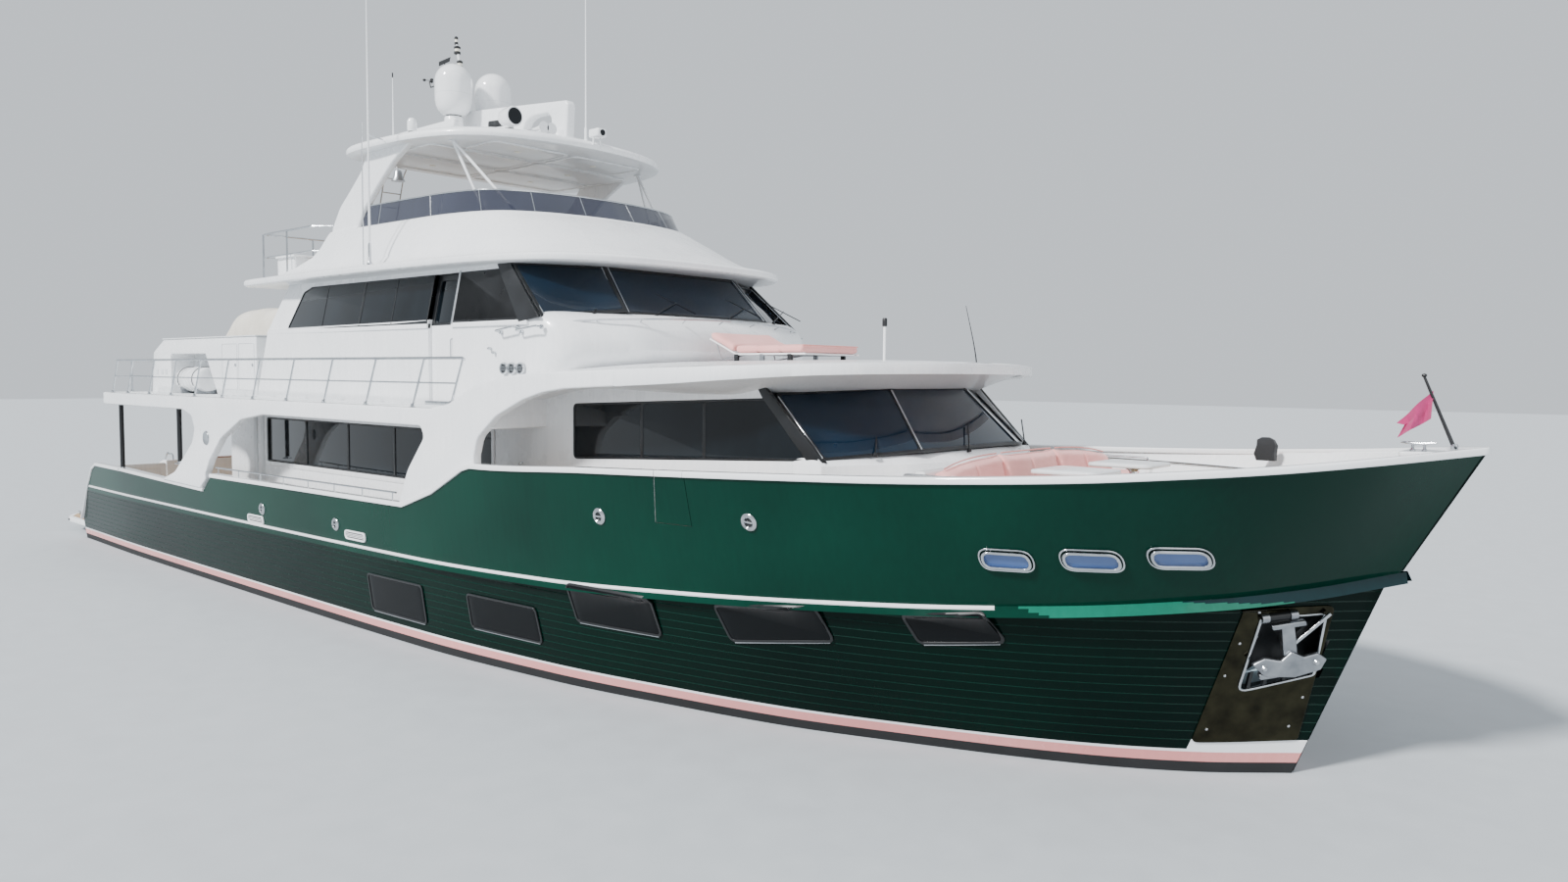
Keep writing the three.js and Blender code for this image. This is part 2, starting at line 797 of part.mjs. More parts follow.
// Main deckhouse
const SALOON_FORE_X = RAISED_DECK_X - 2 * GAP;
const SIDE_DOOR = { x0: 2650, x1: 3420, z0: MAIN_DECK_Z + 30, z1: 3180 };
const SALOON_WINDOW = { x0: -3900, x1: 1950, z0: 2300, z1: 3130 };
const rect = (x0, x1, z0, z1) => [
  [x0, z0],
  [x1, z0],
  [x1, z1],
  [x0, z1],
];
const through = (w, grow = 0) => plate(
  rect(w.x0 - grow, w.x1 + grow, w.z0 - grow, w.z1 + grow),
  -FAR,
  -1000,
);
const HOUSE_OUT = -HOUSE_HALF;
const HOUSE_IN = -HOUSE_HALF + HOUSE_WALL;
const saloonSide = cut(
  plate(rect(HOUSE_AFT_X, SALOON_FORE_X, MAIN_DECK_Z + GAP, BOAT_SOFFIT_Z - GAP), HOUSE_OUT, HOUSE_IN),
  through(SALOON_WINDOW),
  through(SIDE_DOOR),
);
const paneBehind = (points, inner) => plate(points, inner + GAP, inner + GAP + GLASS);
addPair(
  "saloon_window",
  paneBehind(
    rect(SALOON_WINDOW.x0 - 60, SALOON_WINDOW.x1 + 60, SALOON_WINDOW.z0 - 60, SALOON_WINDOW.z1 + 60),
    HOUSE_IN,
  ),
  "glass",
);
addPair(
  "saloon_side_door",
  plate(
    rect(SIDE_DOOR.x0 - 50, SIDE_DOOR.x1 + 50, MAIN_DECK_Z + 8, SIDE_DOOR.z1 + 30),
    HOUSE_IN + SWING,
    HOUSE_IN + SWING + 40,
  ),
  "glass",
);
// The aft bulkhead with its sliding pair of glass doors
const AFT_OPENING_HALF = 1150;
const AFT_OPENING_TOP = 3150;
const bulkheadHalf = HOUSE_HALF - HOUSE_WALL - GAP;
add(
  "saloon_aft_bulkhead",
  cut(
    box(
      HOUSE_AFT_X,
      HOUSE_AFT_X + HOUSE_WALL,
      -bulkheadHalf,
      bulkheadHalf,
      MAIN_DECK_Z + GAP,
      BOAT_SOFFIT_Z - GAP,
    ),
    box(
      HOUSE_AFT_X - 500,
      HOUSE_AFT_X + 500,
      -AFT_OPENING_HALF,
      AFT_OPENING_HALF,
      MAIN_DECK_Z - 100,
      AFT_OPENING_TOP,
    ),
  ),
  "white",
);
addPair(
  "saloon_aft_door",
  box(
    HOUSE_AFT_X - SWING - 40,
    HOUSE_AFT_X - SWING,
    -AFT_OPENING_HALF - 60,
    -3,
    MAIN_DECK_Z + 10,
    AFT_OPENING_TOP + 50,
  ),
  "glass",
);

// Raised forward deckhouse, its sides drawn in towards the windscreen
const FORE = { x0: RAISED_DECK_X + 10, x1: 9230, halfFore: 2330 };
const foreTurn = Math.atan2(HOUSE_HALF - FORE.halfFore, FORE.x1 - FORE.x0);
const foreSide = (geometry) =>
  geometry.translate(-FORE.x0, HOUSE_HALF, 0).rotateZ(foreTurn).translate(FORE.x0, -HOUSE_HALF, 0);
const foreTop = [FORE.x0, 5300, 7000, 8300].map((x) => [x, foreSoffit(x) + 20]);
const FORE_WINDOW = [
  [5220, 2860],
  [9250, 3040],
  [8700, 3760],
  [5220, 3600],
];
const foreSidePanel = foreSide(
  cut(
    plate(
      [
        [FORE.x0, FOREDECK_Z + GAP],
        [FORE.x1 + 160, FOREDECK_Z + GAP],
        [FORE.x1 + 100, 3020],
        ...foreTop.toReversed(),
      ],
      HOUSE_OUT,
      HOUSE_IN,
    ),
    plate(FORE_WINDOW, -FAR, -1000),
  ),
);
const foreSideWall = cut(foreSidePanel, roofAbove, riserAbove);
const sideJoint = plate(
  rect(SALOON_FORE_X - 60, FORE.x0 + 60, FOREDECK_Z + GAP, BOAT_SOFFIT_Z - GAP),
  HOUSE_OUT + 2,
  HOUSE_IN,
);
addPair("deckhouse_side", joined(saloonSide, sideJoint, foreSideWall), "white");
const foreSidePane = foreSide(
  paneBehind(
    [
      [5160, 2800],
      [9000, 2960],
      [9275, 3090],
      [8440, 3775],
      [8300, 3800],
      [5160, 3650],
    ],
    HOUSE_IN,
  ),
);
// Front: rings from the foredeck to the soffit, [x, half-breadth] at corner, mullion and centre.
const FRONT_RINGS = [
  { z: FOREDECK_Z + GAP, plan: [[9440, 2245], [10080, 1160], [10240, 0]] },
  { z: 3080, plan: [[9330, 2245], [9820, 1130], [9960, 0]] },
  { z: 3780, plan: [[8500, 2245], [9170, 850], [9290, 0]] },
  { z: 4080, plan: [[8160, 2245], [8860, 780], [8980, 0]] },
];
function frontShell(rings, outer, inner, widen = 0) {
  const row = (ring, inset) => {
    const [corner, mullion, centre] = ring.plan.map(([x, y]) => [x - inset, y]);
    corner[1] += widen;
    return [corner, mullion, centre, ...mirrored([corner, mullion])];
  };
  return loft(
    rings.map((ring) => {
      const out = row(ring, outer);
      const back = row(ring, inner).reverse();
      return [...out, ...back].map(([x, y]) => [x, y, ring.z]);
    }),
  );
}
const frontPane = (points) => bulkhead(points, 7000, 12000);
const mainPanes = [-1, 1].map((side) =>
  frontPane([
    [side * 1200, 3130],
    [side * 2200, 3090],
    [side * 2050, 3760],
    [side * 950, 3790],
  ]),
);
const mainMiddlePane = frontPane([
  [-1060, 3160],
  [1060, 3160],
  [800, 3830],
  [-800, 3830],
]);
add(
  "fore_front",
  cut(frontShell(FRONT_RINGS, 0, FRONT_WALL), ...mainPanes, mainMiddlePane, roofAbove),
  "white",
);
const windscreenRings = FRONT_RINGS.slice(1, 3);
add(
  "fore_glass",
  joined(
    frontShell(windscreenRings, FRONT_WALL + 8, FRONT_WALL + 8 + GLASS, 12),
    foreSidePane,
    mirror(foreSidePane),
  ),
  "glass",
);

// Boat deck fittings
const BAR_UNIT = { x0: -9200, x1: -4060, top: 4640, inner: -2150, outer: -2700 };
const NICHE = { x0: -8250, x1: -6100, z1: 4330 };
add(
  "deck_locker",
  cut(
    plate(
      [
        [BAR_UNIT.x0 - 120, BOAT_DECK_Z + GAP],
        [BAR_UNIT.x1, BOAT_DECK_Z + GAP],
        [BAR_UNIT.x1, BAR_UNIT.top],
        [BAR_UNIT.x0 + 600, BAR_UNIT.top],
        [BAR_UNIT.x0, 4380],
      ],
      BAR_UNIT.outer,
      BAR_UNIT.inner,
    ),
    plate(rect(NICHE.x0, NICHE.x1, 3000, NICHE.z1), -FAR, BAR_UNIT.inner - 60),
  ),
  "white",
);
const RAFT = { x0: -7950, x1: -6750, y: -2500, z: 3800, radius: 250 };
add(
  "life_raft",
  joined(
    bar([RAFT.x0, RAFT.y, RAFT.z], [RAFT.x1, RAFT.y, RAFT.z], RAFT.radius, RAFT.radius, 14),
    box(RAFT.x0 + 200, RAFT.x0 + 260, RAFT.y - 180, RAFT.y + 180, BOAT_DECK_Z + GAP, RAFT.z - 100),
    box(RAFT.x1 - 260, RAFT.x1 - 200, RAFT.y - 180, RAFT.y + 180, BOAT_DECK_Z + GAP, RAFT.z - 100),
  ),
  "white",
);
add(
  "canvas_cover",
  plate(
    [
      [-9300, BOAT_DECK_Z + GAP],
      [-5300, BOAT_DECK_Z + GAP],
      [-5300, 4900],
      [-5600, 5330],
      [-8050, 5360],
      [-8700, 4700],
      [-9300, 4600],
    ],
    -1750,
    150,
  ),
  "canvas",
);
const DAVIT = { x: -6600, y: 1350, base: 240, height: 1180, boomZ: 5000, length: 2900 };
add(
  "davit_pedestal",
  turned(
    [
      [0, 0],
      [DAVIT.base, 0],
      [DAVIT.base, 260],
      [190, 420],
      [190, DAVIT.height],
      [0, DAVIT.height],
    ],
    14,
  ).translate(DAVIT.x, DAVIT.y, BOAT_DECK_Z + GAP),
  "white",
);
const davitTop = BOAT_DECK_Z + DAVIT.height;
const davitTipX = DAVIT.x - DAVIT.length;
const davitCheek = (y0, y1) =>
  box(DAVIT.x - 160, DAVIT.x + 160, DAVIT.y + y0, DAVIT.y + y1, davitTop + 60, DAVIT.boomZ + 110);
const davitTable = turned([[0, 0], [200, 0], [200, 90], [0, 90]], 14);
add(
  "davit_head",
  joined(
    davitTable.translate(DAVIT.x, DAVIT.y, davitTop + SWING),
    davitCheek(-130, -95),
    davitCheek(95, 130),
  ),
  "white",
);
add(
  "davit_boom",
  joined(
    box(
      davitTipX,
      DAVIT.x + 180,
      DAVIT.y - 80,
      DAVIT.y + 80,
      DAVIT.boomZ - 75,
      DAVIT.boomZ + 75,
    ),
    bar(
      [davitTipX + 90, DAVIT.y, DAVIT.boomZ - 70],
      [davitTipX + 90, DAVIT.y, DAVIT.boomZ - 330],
      40,
    ),
  ),
  "white",
);

// Guardrails: [foot x, top x] of each stanchion; the tops lean forward.
const RAIL_TOP_Z = 4190;
const RAIL_MID_Z = 3850;
const RAIL_Y = -3450;
const LEAN = 360 / 690;
const stanchionTop = (x) => x + LEAN * (RAIL_TOP_Z - BOAT_DECK_Z);
const STANCHIONS = [-9500, -8170, -6840, -5510, -4360, -3030, -1700, -370, 950, 2280, 3640];
const railBar = (z, x0, x1, radius) => {
  const shift = LEAN * (z - BOAT_DECK_Z);
  return bar([x0 + shift, RAIL_Y, z], [x1 + shift, RAIL_Y, z], radius);
};
addPair(
  "boat_deck_rail",
  joined(
    ...STANCHIONS.map((x) =>
      bar([x, RAIL_Y, BOAT_DECK_Z + 9], [stanchionTop(x), RAIL_Y, RAIL_TOP_Z], 17),
    ),
    railBar(RAIL_TOP_Z, STANCHIONS[0] - 20, STANCHIONS.at(-1) + 20, 21),
    railBar(RAIL_MID_Z, STANCHIONS[0], STANCHIONS.at(-1), 13),
  ),
  "steel",
);
const AFT_RAIL_X = BOAT_DECK_AFT_X + 120;
const AFT_RAIL_HALF = 2850;
const aftStanchions = [-1, -0.5, 0, 0.5, 1].map((share) => share * AFT_RAIL_HALF);
add(
  "boat_deck_aft_rail",
  joined(
    ...aftStanchions.map((y) => bar([AFT_RAIL_X, y, BOAT_DECK_Z + GAP], [AFT_RAIL_X, y, RAIL_TOP_Z], 17)),
    bar([AFT_RAIL_X, -AFT_RAIL_HALF - 20, RAIL_TOP_Z], [AFT_RAIL_X, AFT_RAIL_HALF + 20, RAIL_TOP_Z], 21),
    bar([AFT_RAIL_X, -AFT_RAIL_HALF, RAIL_MID_Z], [AFT_RAIL_X, AFT_RAIL_HALF, RAIL_MID_Z], 13),
  ),
  "steel",
);

// Pilothouse
const PILOT_OUT = -PILOT_HALF;
const PILOT_IN = -PILOT_HALF + HOUSE_WALL;
const SILL_Z = 4700;
const TUMBLEHOME = 0.21; // inward lean of the window band
const leanIn = (geometry) => {
  const p = geometry.attributes.position;
  for (let i = 0; i < p.count; i += 1) {
    p.setY(i, p.getY(i) + TUMBLEHOME * Math.max(p.getZ(i) - SILL_Z, 0));
  }
  return geometry;
};
const PILOT_DOOR = { x0: 1880, x1: 2540, z0: BOAT_DECK_Z + 60, z1: 5440 };
const PILOT_WINDOW = [
  [-2800, 4730],
  [4330, 4730],
  [3610, 5480],
  [-1700, 5480],
  [-1990, 5400],
];
addPair(
  "pilothouse_side",
  cut(
    joined(
      plate(
        [
          [-4050, BOAT_DECK_Z + GAP],
          [4700, BOAT_DECK_Z + GAP],
          [4950, 4330],
          [4710, SILL_Z],
          [-3560, SILL_Z],
        ],
        PILOT_OUT,
        PILOT_IN,
      ),
      leanIn(
        plate(
          [
            [-3560, SILL_Z],
            [4710, SILL_Z],
            [4640, 4790],
            [3780, FLY_SOFFIT_Z - GAP],
            [-3050, FLY_SOFFIT_Z - GAP],
          ],
          PILOT_OUT,
          PILOT_IN,
        ),
      ),
    ),
    plate(PILOT_WINDOW, -FAR, -1000),
    through(PILOT_DOOR),
    ...roofBelow,
  ),
  "white",
);
const pilotPane = (points) => leanIn(paneBehind(points, PILOT_IN));
addPair(
  "pilothouse_window",
  pilotPane([
    [-2860, SILL_Z + 5],
    [PILOT_DOOR.x0 - 30, SILL_Z + 5],
    [PILOT_DOOR.x0 - 30, 5510],
    [-1760, 5510],
    [-2040, 5430],
  ]),
  "glass",
);
const pilotDoorIn = PILOT_IN + GAP + GLASS + SWING;
const pilotDoorLeaf = (z0, z1) =>
  plate(rect(PILOT_DOOR.x0 - 40, PILOT_DOOR.x1 + 40, z0, z1), pilotDoorIn, pilotDoorIn + 40);
addPair(
  "pilothouse_door",
  joined(pilotDoorLeaf(BOAT_DECK_Z + 8, SILL_Z), leanIn(pilotDoorLeaf(SILL_Z, 5500))),
  "glass",
);
const PILOT_RINGS = [
  { z: 3950, plan: [[4760, 2630], [5020, 1500], [5120, 0]] },
  { z: 4330, plan: [[4960, 2630], [5420, 1500], [5560, 0]] },
  { z: 4790, plan: [[4660, 2612], [5080, 1480], [5210, 0]] },
  { z: 5520, plan: [[3810, 2460], [4430, 1350], [4560, 0]] },
  { z: FLY_SOFFIT_Z - GAP, plan: [[3800, 2455], [4420, 1345], [4550, 0]] },
];
const pilotPanes = [-1, 1].map((side) =>
  frontPane([
    [side * 1600, 4840],
    [side * 2520, 4800],
    [side * 2410, 5480],
    [side * 1440, 5500],
  ]),
);
const pilotMiddlePane = frontPane([
  [-1440, 4860],
  [1440, 4860],
  [1290, 5510],
  [-1290, 5510],
]).translate(-4000, 0, 0);
add(
  "pilothouse_front",
  cut(
    frontShell(PILOT_RINGS, 0, FRONT_WALL),
    ...pilotPanes.map((pane) => pane.translate(-4000, 0, 0)),
    pilotMiddlePane,
    ...roofBelow,
  ),
  "white",
);
// One pane wraps round the front and both sides, forward of the doors.
const WRAP_AFT_X = PILOT_DOOR.x1 + 30;
const WRAP_SET_BACK = FRONT_WALL + 8;
function wrapRing(z) {
  const above = PILOT_RINGS.findIndex((ring) => ring.z > z);
  const [low, high] = [PILOT_RINGS[above - 1], PILOT_RINGS[above]];
  const share = (z - low.z) / (high.z - low.z);
  const [corner, mullion, centre] = low.plan.map(([x, y], i) => [
    x + (high.plan[i][0] - x) * share - WRAP_SET_BACK,
    y + (high.plan[i][1] - y) * share,
  ]);
  const side = -PILOT_IN - GAP - TUMBLEHOME * (z - SILL_Z);
  const half = (inset) => [
    [WRAP_AFT_X, side - inset],
    [corner[0] - 4 - inset, side - inset],
    [mullion[0] - inset, mullion[1]],
    [centre[0] - inset, 0],
  ];
  return [...around(half(0)), ...around(half(GLASS)).reverse()].map(([x, y]) => [x, y, z]);
}
add("pilothouse_windscreen", loft([4715, 4790, 5515].map(wrapRing)), "glass");
const SKY_DOOR_HALF = 650;
add(
  "pilothouse_aft_bulkhead",
  cut(
    bulkhead(
      withMirror([
        [-PILOT_IN - GAP, BOAT_DECK_Z + GAP],
        [-PILOT_IN - GAP, SILL_Z],
        [-PILOT_IN - TUMBLEHOME * (FLY_SOFFIT_Z - SILL_Z) - GAP, FLY_SOFFIT_Z - GAP],
      ].map(([y, z]) => [z, y])).map(([z, y]) => [y, z]),
      PILOT_AFT_X,
      PILOT_AFT_X + HOUSE_WALL,
    ),
    box(PILOT_AFT_X - 500, PILOT_AFT_X + 500, -SKY_DOOR_HALF, SKY_DOOR_HALF, 3000, 5450),
  ),
  "white",
);
add(
  "sky_lounge_door",
  box(
    PILOT_AFT_X + HOUSE_WALL + SWING,
    PILOT_AFT_X + HOUSE_WALL + SWING + 40,
    -SKY_DOOR_HALF - 50,
    SKY_DOOR_HALF + 50,
    BOAT_DECK_Z + 8,
    5500,
  ),
  "glass",
);

// Flybridge: half-plans as [x, half-breadth], aft to forward
const FLY_PLAN = [
  [-4300, 2900],
  [-1900, 2990],
  [0, 3020],
  [2700, 2940],
  [4000, 2790],
  [4750, 2500],
  [5200, 1950],
  [5400, 1200],
  [5450, 0],
];
const whip = (x, y, z, length) => bar([x, y, z], [x, y, z + length], 22, 9);
add(
  "fly_deck",
  joined(slab(around(FLY_PLAN), FLY_SOFFIT_Z, FLY_DECK_Z), whip(580, -2900, FLY_DECK_Z - 40, 4500)),
  "white",
);
// Coaming: base and top half-plans with like points
const COAMING = [
  { base: [-3950, 2600], top: [-2400, 2290] },
  { base: [-1500, 2660], top: [-900, 2310] },
  { base: [2000, 2660], top: [1700, 2280] },
  { base: [3500, 2440], top: [2700, 2120] },
  { base: [4500, 1900], top: [3120, 1450] },
  { base: [4850, 1000], top: [3260, 640] },
  { base: [4920, 0], top: [3290, 0] },
];
const tapered = (rows, inset, z0, z1) => {
  const pull = ([x, y]) => [x > 2000 ? x - inset : x, y > 0 ? y - inset : 0];
  const ring = (key, z) => around(rows.map((row) => pull(row[key]))).map(([x, y]) => [x, y, z]);
  return loft([ring("base", z0), ring("top", z1)]);
};
// Inside the coaming, with the dash left standing ahead of the helm
const COCKPIT = [
  [-5000, 2120],
  [1600, 2120],
  [1780, 1350],
  [2300, 1250],
];
add(
  "fly_coaming",
  cut(
    tapered(COAMING, 0, FLY_DECK_Z + GAP, COAMING_TOP_Z),
    slab(withMirror(COCKPIT), FLY_DECK_Z, COAMING_TOP_Z + 1),
  ),
  "white",
);
const SCREEN_TOP_Z = 6800;
const SCREEN = [
  { base: [-900, 2250], top: [-800, 2220] },
  { base: [1700, 2235], top: [1560, 2160] },
  { base: [2620, 2080], top: [2410, 2000] },
  { base: [3040, 1440], top: [2800, 1380] },
  { base: [3170, 620], top: [2930, 590] },
  { base: [3200, 0], top: [2960, 0] },
];
add(
  "fly_windscreen",
  cut(
    tapered(SCREEN, 0, COAMING_TOP_Z + GAP, SCREEN_TOP_Z),
    tapered(SCREEN, GLASS, COAMING_TOP_Z - 1, SCREEN_TOP_Z + 1),
    box(-2000, -620, -FAR, FAR, 6000, 7000),
    box(-2000, 1000, -2000, 2000, 6000, 7000),
  ),
  "glass",
);

// Arch legs, hardtop and its struts
const ARCH = [
  [-2390, COAMING_TOP_Z + GAP],
  [-1600, 6910],
  [-1050, 7260],
  [-620, 7680],
  [760, 7680],
  [200, 7420],
  [-350, 7040],
  [-760, 6720],
  [-960, COAMING_TOP_Z + GAP],
];
const ARCH_OUT = -2290;
const ARCH_IN = -2170;
const archLeg = plate(ARCH, ARCH_OUT, ARCH_IN);
const HARDTOP = [
  [-1500, 2050],
  [-1100, 2420],
  [300, 2520],
  [1500, 2400],
  [2250, 2050],
  [2700, 1400],
  [2900, 700],
  [2950, 0],
];
const hardtopRing = (scale, x0, z) =>
  around(HARDTOP.map(([x, y]) => [x0 + (x - x0) * scale, y * scale])).map(([x, y]) => [x, y, z]);
const hardtopShell = loft([
  hardtopRing(0.93, 600, 7650),
  hardtopRing(1, 600, HARDTOP_EDGE_Z),
  hardtopRing(0.985, 600, 7760),
  hardtopRing(0.8, 600, 7880),
  hardtopRing(0.45, 600, HARDTOP_CROWN_Z),
]);
const struts = [
  bar([1410, -1930, 7680], [2040, -1750, COAMING_TOP_Z + 14], 24),
  bar([1410, -1930, 7680], [2580, -1540, COAMING_TOP_Z + 18], 24),
];

// Hardtop gear: satellite domes on their pedestals, equipment mast, radar pedestal, whip antennas
const dome = (radius, height, stalk, foot) => {
  const arc = [];
  for (let i = 0; i < 4; i += 1) {
    const turn = (Math.PI / 2) * (i / 4);
    arc.push([radius * Math.cos(turn), height - radius + radius * Math.sin(turn)]);
  }
  const pedestal = [
    [0, -foot],
    [270, -foot],
    [170, -100],
    [150, stalk],
    [radius * 0.72, stalk],
  ];
  return turned([...pedestal, [radius, stalk + 170], ...arc, [0, height]], 14);
};
const DOME = { x: -940, y: 420, z: 8640, radius: 335, height: 950, stalk: 130, foot: 780 };
const domes = [-1, 1].map((side) =>
  dome(DOME.radius, DOME.height, DOME.stalk, DOME.foot).translate(DOME.x, side * DOME.y, DOME.z),
);
// The mast is a fin on the centreline with an arch under its forward end.
const MAST_HALF = 90;
const MAST_FIN = [
  [-1300, 7850],
  [-1330, 8500],
  [-1210, 8840],
  [1900, 8570],
  [1950, 8500],
  [1900, 7850],
  [1480, 7850],
  [1500, 8330],
  [1400, 8430],
  [1000, 8440],
  [800, 8390],
  [700, 8260],
  [670, 7850],
];
const equipmentMast = joined(
  plate(MAST_FIN, -MAST_HALF, MAST_HALF),
  bar([1690, 0, 8080], [1690, 0, 7840], 200, 200, 12),
  bar([-1140, 0, 8700], [-1500, 0, 10180], 28, 22, 6),
);
const RADAR = { x: -200, y: -1400, baseZ: 7780, topZ: 8000, armHalf: 900 };
const radarHeight = RADAR.topZ - RADAR.baseZ;
const radarPedestal = turned(
  [
    [0, 0],
    [190, 0],
    [180, 100],
    [130, radarHeight],
    [0, radarHeight],
  ],
  12,
).translate(RADAR.x, RADAR.y, RADAR.baseZ);
const hardtopWhips = [whip(2320, 0, 7760, 3600), whip(-1150, -1500, 7740, 1500)];
add(
  "hardtop",
  joined(
    hardtopShell,
    archLeg,
    mirror(archLeg),
    ...struts,
    ...struts.map(mirror),
    ...domes,
    equipmentMast,
    radarPedestal,
    ...hardtopWhips,
  ),
  "white",
);
add(
  "radar_scanner",
  joined(
    turned([[0, 0], [100, 0], [100, 70], [0, 70]], 12).translate(RADAR.x, RADAR.y, RADAR.topZ + SWING),
    box(
      RADAR.x - RADAR.armHalf,
      RADAR.x + RADAR.armHalf,
      RADAR.y - 70,
      RADAR.y + 70,
      RADAR.topZ + SWING + 50,
      RADAR.topZ + SWING + 190,
    ),
  ),
  "white",
);

// Foredeck: sofa base with tables, sofa cushions, sunpads
const TABLE = { x: 11900, y: 700, topZ: 2930, length: 800, width: 840 };
const tableLegs = [-TABLE.y, TABLE.y].map((y) =>
  bar([TABLE.x, y, FOREDECK_Z + GAP], [TABLE.x, y, TABLE.topZ - 30], 50, 50, 8),
);
const tableTops = [-TABLE.y, TABLE.y].map((y) =>
  box(
    TABLE.x - TABLE.length / 2,
    TABLE.x + TABLE.length / 2,
    y - TABLE.width / 2,
    y + TABLE.width / 2,
    TABLE.topZ - 50,
    TABLE.topZ,
  ),
);
add(
  "foredeck_lounge",
  joined(
    slab(
      withMirror([
        [10420, 2050],
        [11150, 2050],
        [11350, 1500],
        [11350, 500],
      ]),
      FOREDECK_Z + GAP,
      2660,
    ),
    ...tableLegs,
    ...tableTops,
    box(11300, 12000, -60, 60, FOREDECK_Z + GAP, 2380),
    box(11850, 11950, -760, 760, FOREDECK_Z + GAP, 2360),
  ),
  "white",
);
add(
  "foredeck_sofa",
  joined(
    slab(
      withMirror([
        [10420, 2000],
        [11130, 2000],
        [11320, 1470],
        [11320, 500],
      ]),
      2660 + 2,
      2820,
    ),
    slab(
      withMirror([
        [10420, 2000],
        [10640, 2000],
        [10640, 500],
      ]),
      2800,
      3150,
    ),
  ),
  "pink",
);
add(
  "sunpads",
  cut(box(6150, 8100, -1500, 1500, 4150, 4520), foreRoof.clone().translate(0, 0, GAP)),
  "pink",
);

export default yacht;
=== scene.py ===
# A raised-pilothouse motor yacht, 30 m long: the finish of every surface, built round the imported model.
# Metres. +X forward, +Y to port, +Z up; the origin is on the waterline, amidships, on the centreline.
# Shapes are made for the starboard side, and port ones are their mirror images.
import math

import bmesh
import bpy
import numpy as np
from mathutils import Matrix, Vector
from mathutils.bvhtree import BVHTree


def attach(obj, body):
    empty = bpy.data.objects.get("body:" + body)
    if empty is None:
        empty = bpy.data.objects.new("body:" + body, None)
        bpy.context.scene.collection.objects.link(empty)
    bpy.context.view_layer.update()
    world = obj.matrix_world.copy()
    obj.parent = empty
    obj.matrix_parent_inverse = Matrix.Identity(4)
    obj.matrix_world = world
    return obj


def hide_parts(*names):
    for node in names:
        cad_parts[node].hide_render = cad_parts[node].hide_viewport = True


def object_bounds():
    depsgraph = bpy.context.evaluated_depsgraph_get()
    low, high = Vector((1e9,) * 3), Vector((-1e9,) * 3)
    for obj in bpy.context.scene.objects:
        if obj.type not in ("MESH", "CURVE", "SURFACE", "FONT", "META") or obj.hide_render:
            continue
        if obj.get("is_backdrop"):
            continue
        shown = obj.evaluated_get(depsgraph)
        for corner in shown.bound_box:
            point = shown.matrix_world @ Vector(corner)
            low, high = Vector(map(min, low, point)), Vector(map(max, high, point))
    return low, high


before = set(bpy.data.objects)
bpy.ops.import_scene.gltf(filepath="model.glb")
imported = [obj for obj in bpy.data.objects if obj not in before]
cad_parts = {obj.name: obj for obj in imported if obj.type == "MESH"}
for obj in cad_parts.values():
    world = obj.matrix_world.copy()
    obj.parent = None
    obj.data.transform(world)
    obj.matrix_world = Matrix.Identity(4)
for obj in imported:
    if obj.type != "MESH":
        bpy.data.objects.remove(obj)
cad_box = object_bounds()
SIDES = (("starboard", False), ("port", True))
OUTWARD, FORWARD = (0, -1, 0), (1, 0, 0)

# Driving dimensions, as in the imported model
TRANSOM_X = -12.4
STERN_WELL_X = -10.95
RAISED_DECK_X = 4.4
PLATFORM_Z = 0.35
MAIN_DECK_Z = 1.15
FOREDECK_Z = 2.3
BOAT_DECK_Z = 3.5
BOAT_SOFFIT_Z = 3.25
BOAT_DECK_HALF = 3.55
BOAT_DECK_AFT_X = -10.2
FLY_DECK_Z = 5.68
COAMING_TOP_Z = 6.45
# Where things stand on a deck, just proud of its covering; and the line of the boat deck's rails
MAIN_DECK_TOP, FOREDECK_TOP, BOAT_DECK_TOP = 1.152, 2.302, 3.502
RAIL_Y, LADDER_X = -3.45, -14.74
WALL = 0.09


# Camera: its place, and in degrees how far it looks aft of the beam and down, and its roll
CAMERA_AT = (16.724, -11.562, 4.0)
CAMERA_TURN = (40.85, 3.5, 0.51)
CAMERA_LENS_MM, CAMERA_SENSOR_MM = 24.75, 36


def linked(thing):
    bpy.context.scene.collection.objects.link(thing)
    return thing


def photo_camera():
    azimuth, pitch, roll = (math.radians(a) for a in CAMERA_TURN)
    forward = Vector(
        (-math.sin(azimuth) * math.cos(pitch), math.cos(azimuth) * math.cos(pitch), -math.sin(pitch))
    )
    level = Vector((math.cos(azimuth), math.sin(azimuth), 0))
    above = level.cross(forward)
    right = level * math.cos(roll) + above * math.sin(roll)
    up = above * math.cos(roll) - level * math.sin(roll)
    camera = bpy.data.objects.new("camera", bpy.data.cameras.new("camera"))
    camera.data.sensor_width, camera.data.lens, camera.data.clip_end = CAMERA_SENSOR_MM, CAMERA_LENS_MM, 400
    turn = Matrix((right, up, -forward)).transposed().to_4x4()
    camera.matrix_world = Matrix.Translation(CAMERA_AT) @ turn
    bpy.context.scene.camera = linked(camera)


photo_camera()


# Number helpers
def srgb(code):
    """The linear colour of an sRGB hex code such as #F2F4F5."""
    parts = [int(code[i : i + 2], 16) / 255 for i in (1, 3, 5)]
    return tuple(c / 12.92 if c <= 0.04045 else ((c + 0.055) / 1.055) ** 2.4 for c in parts) + (1,)


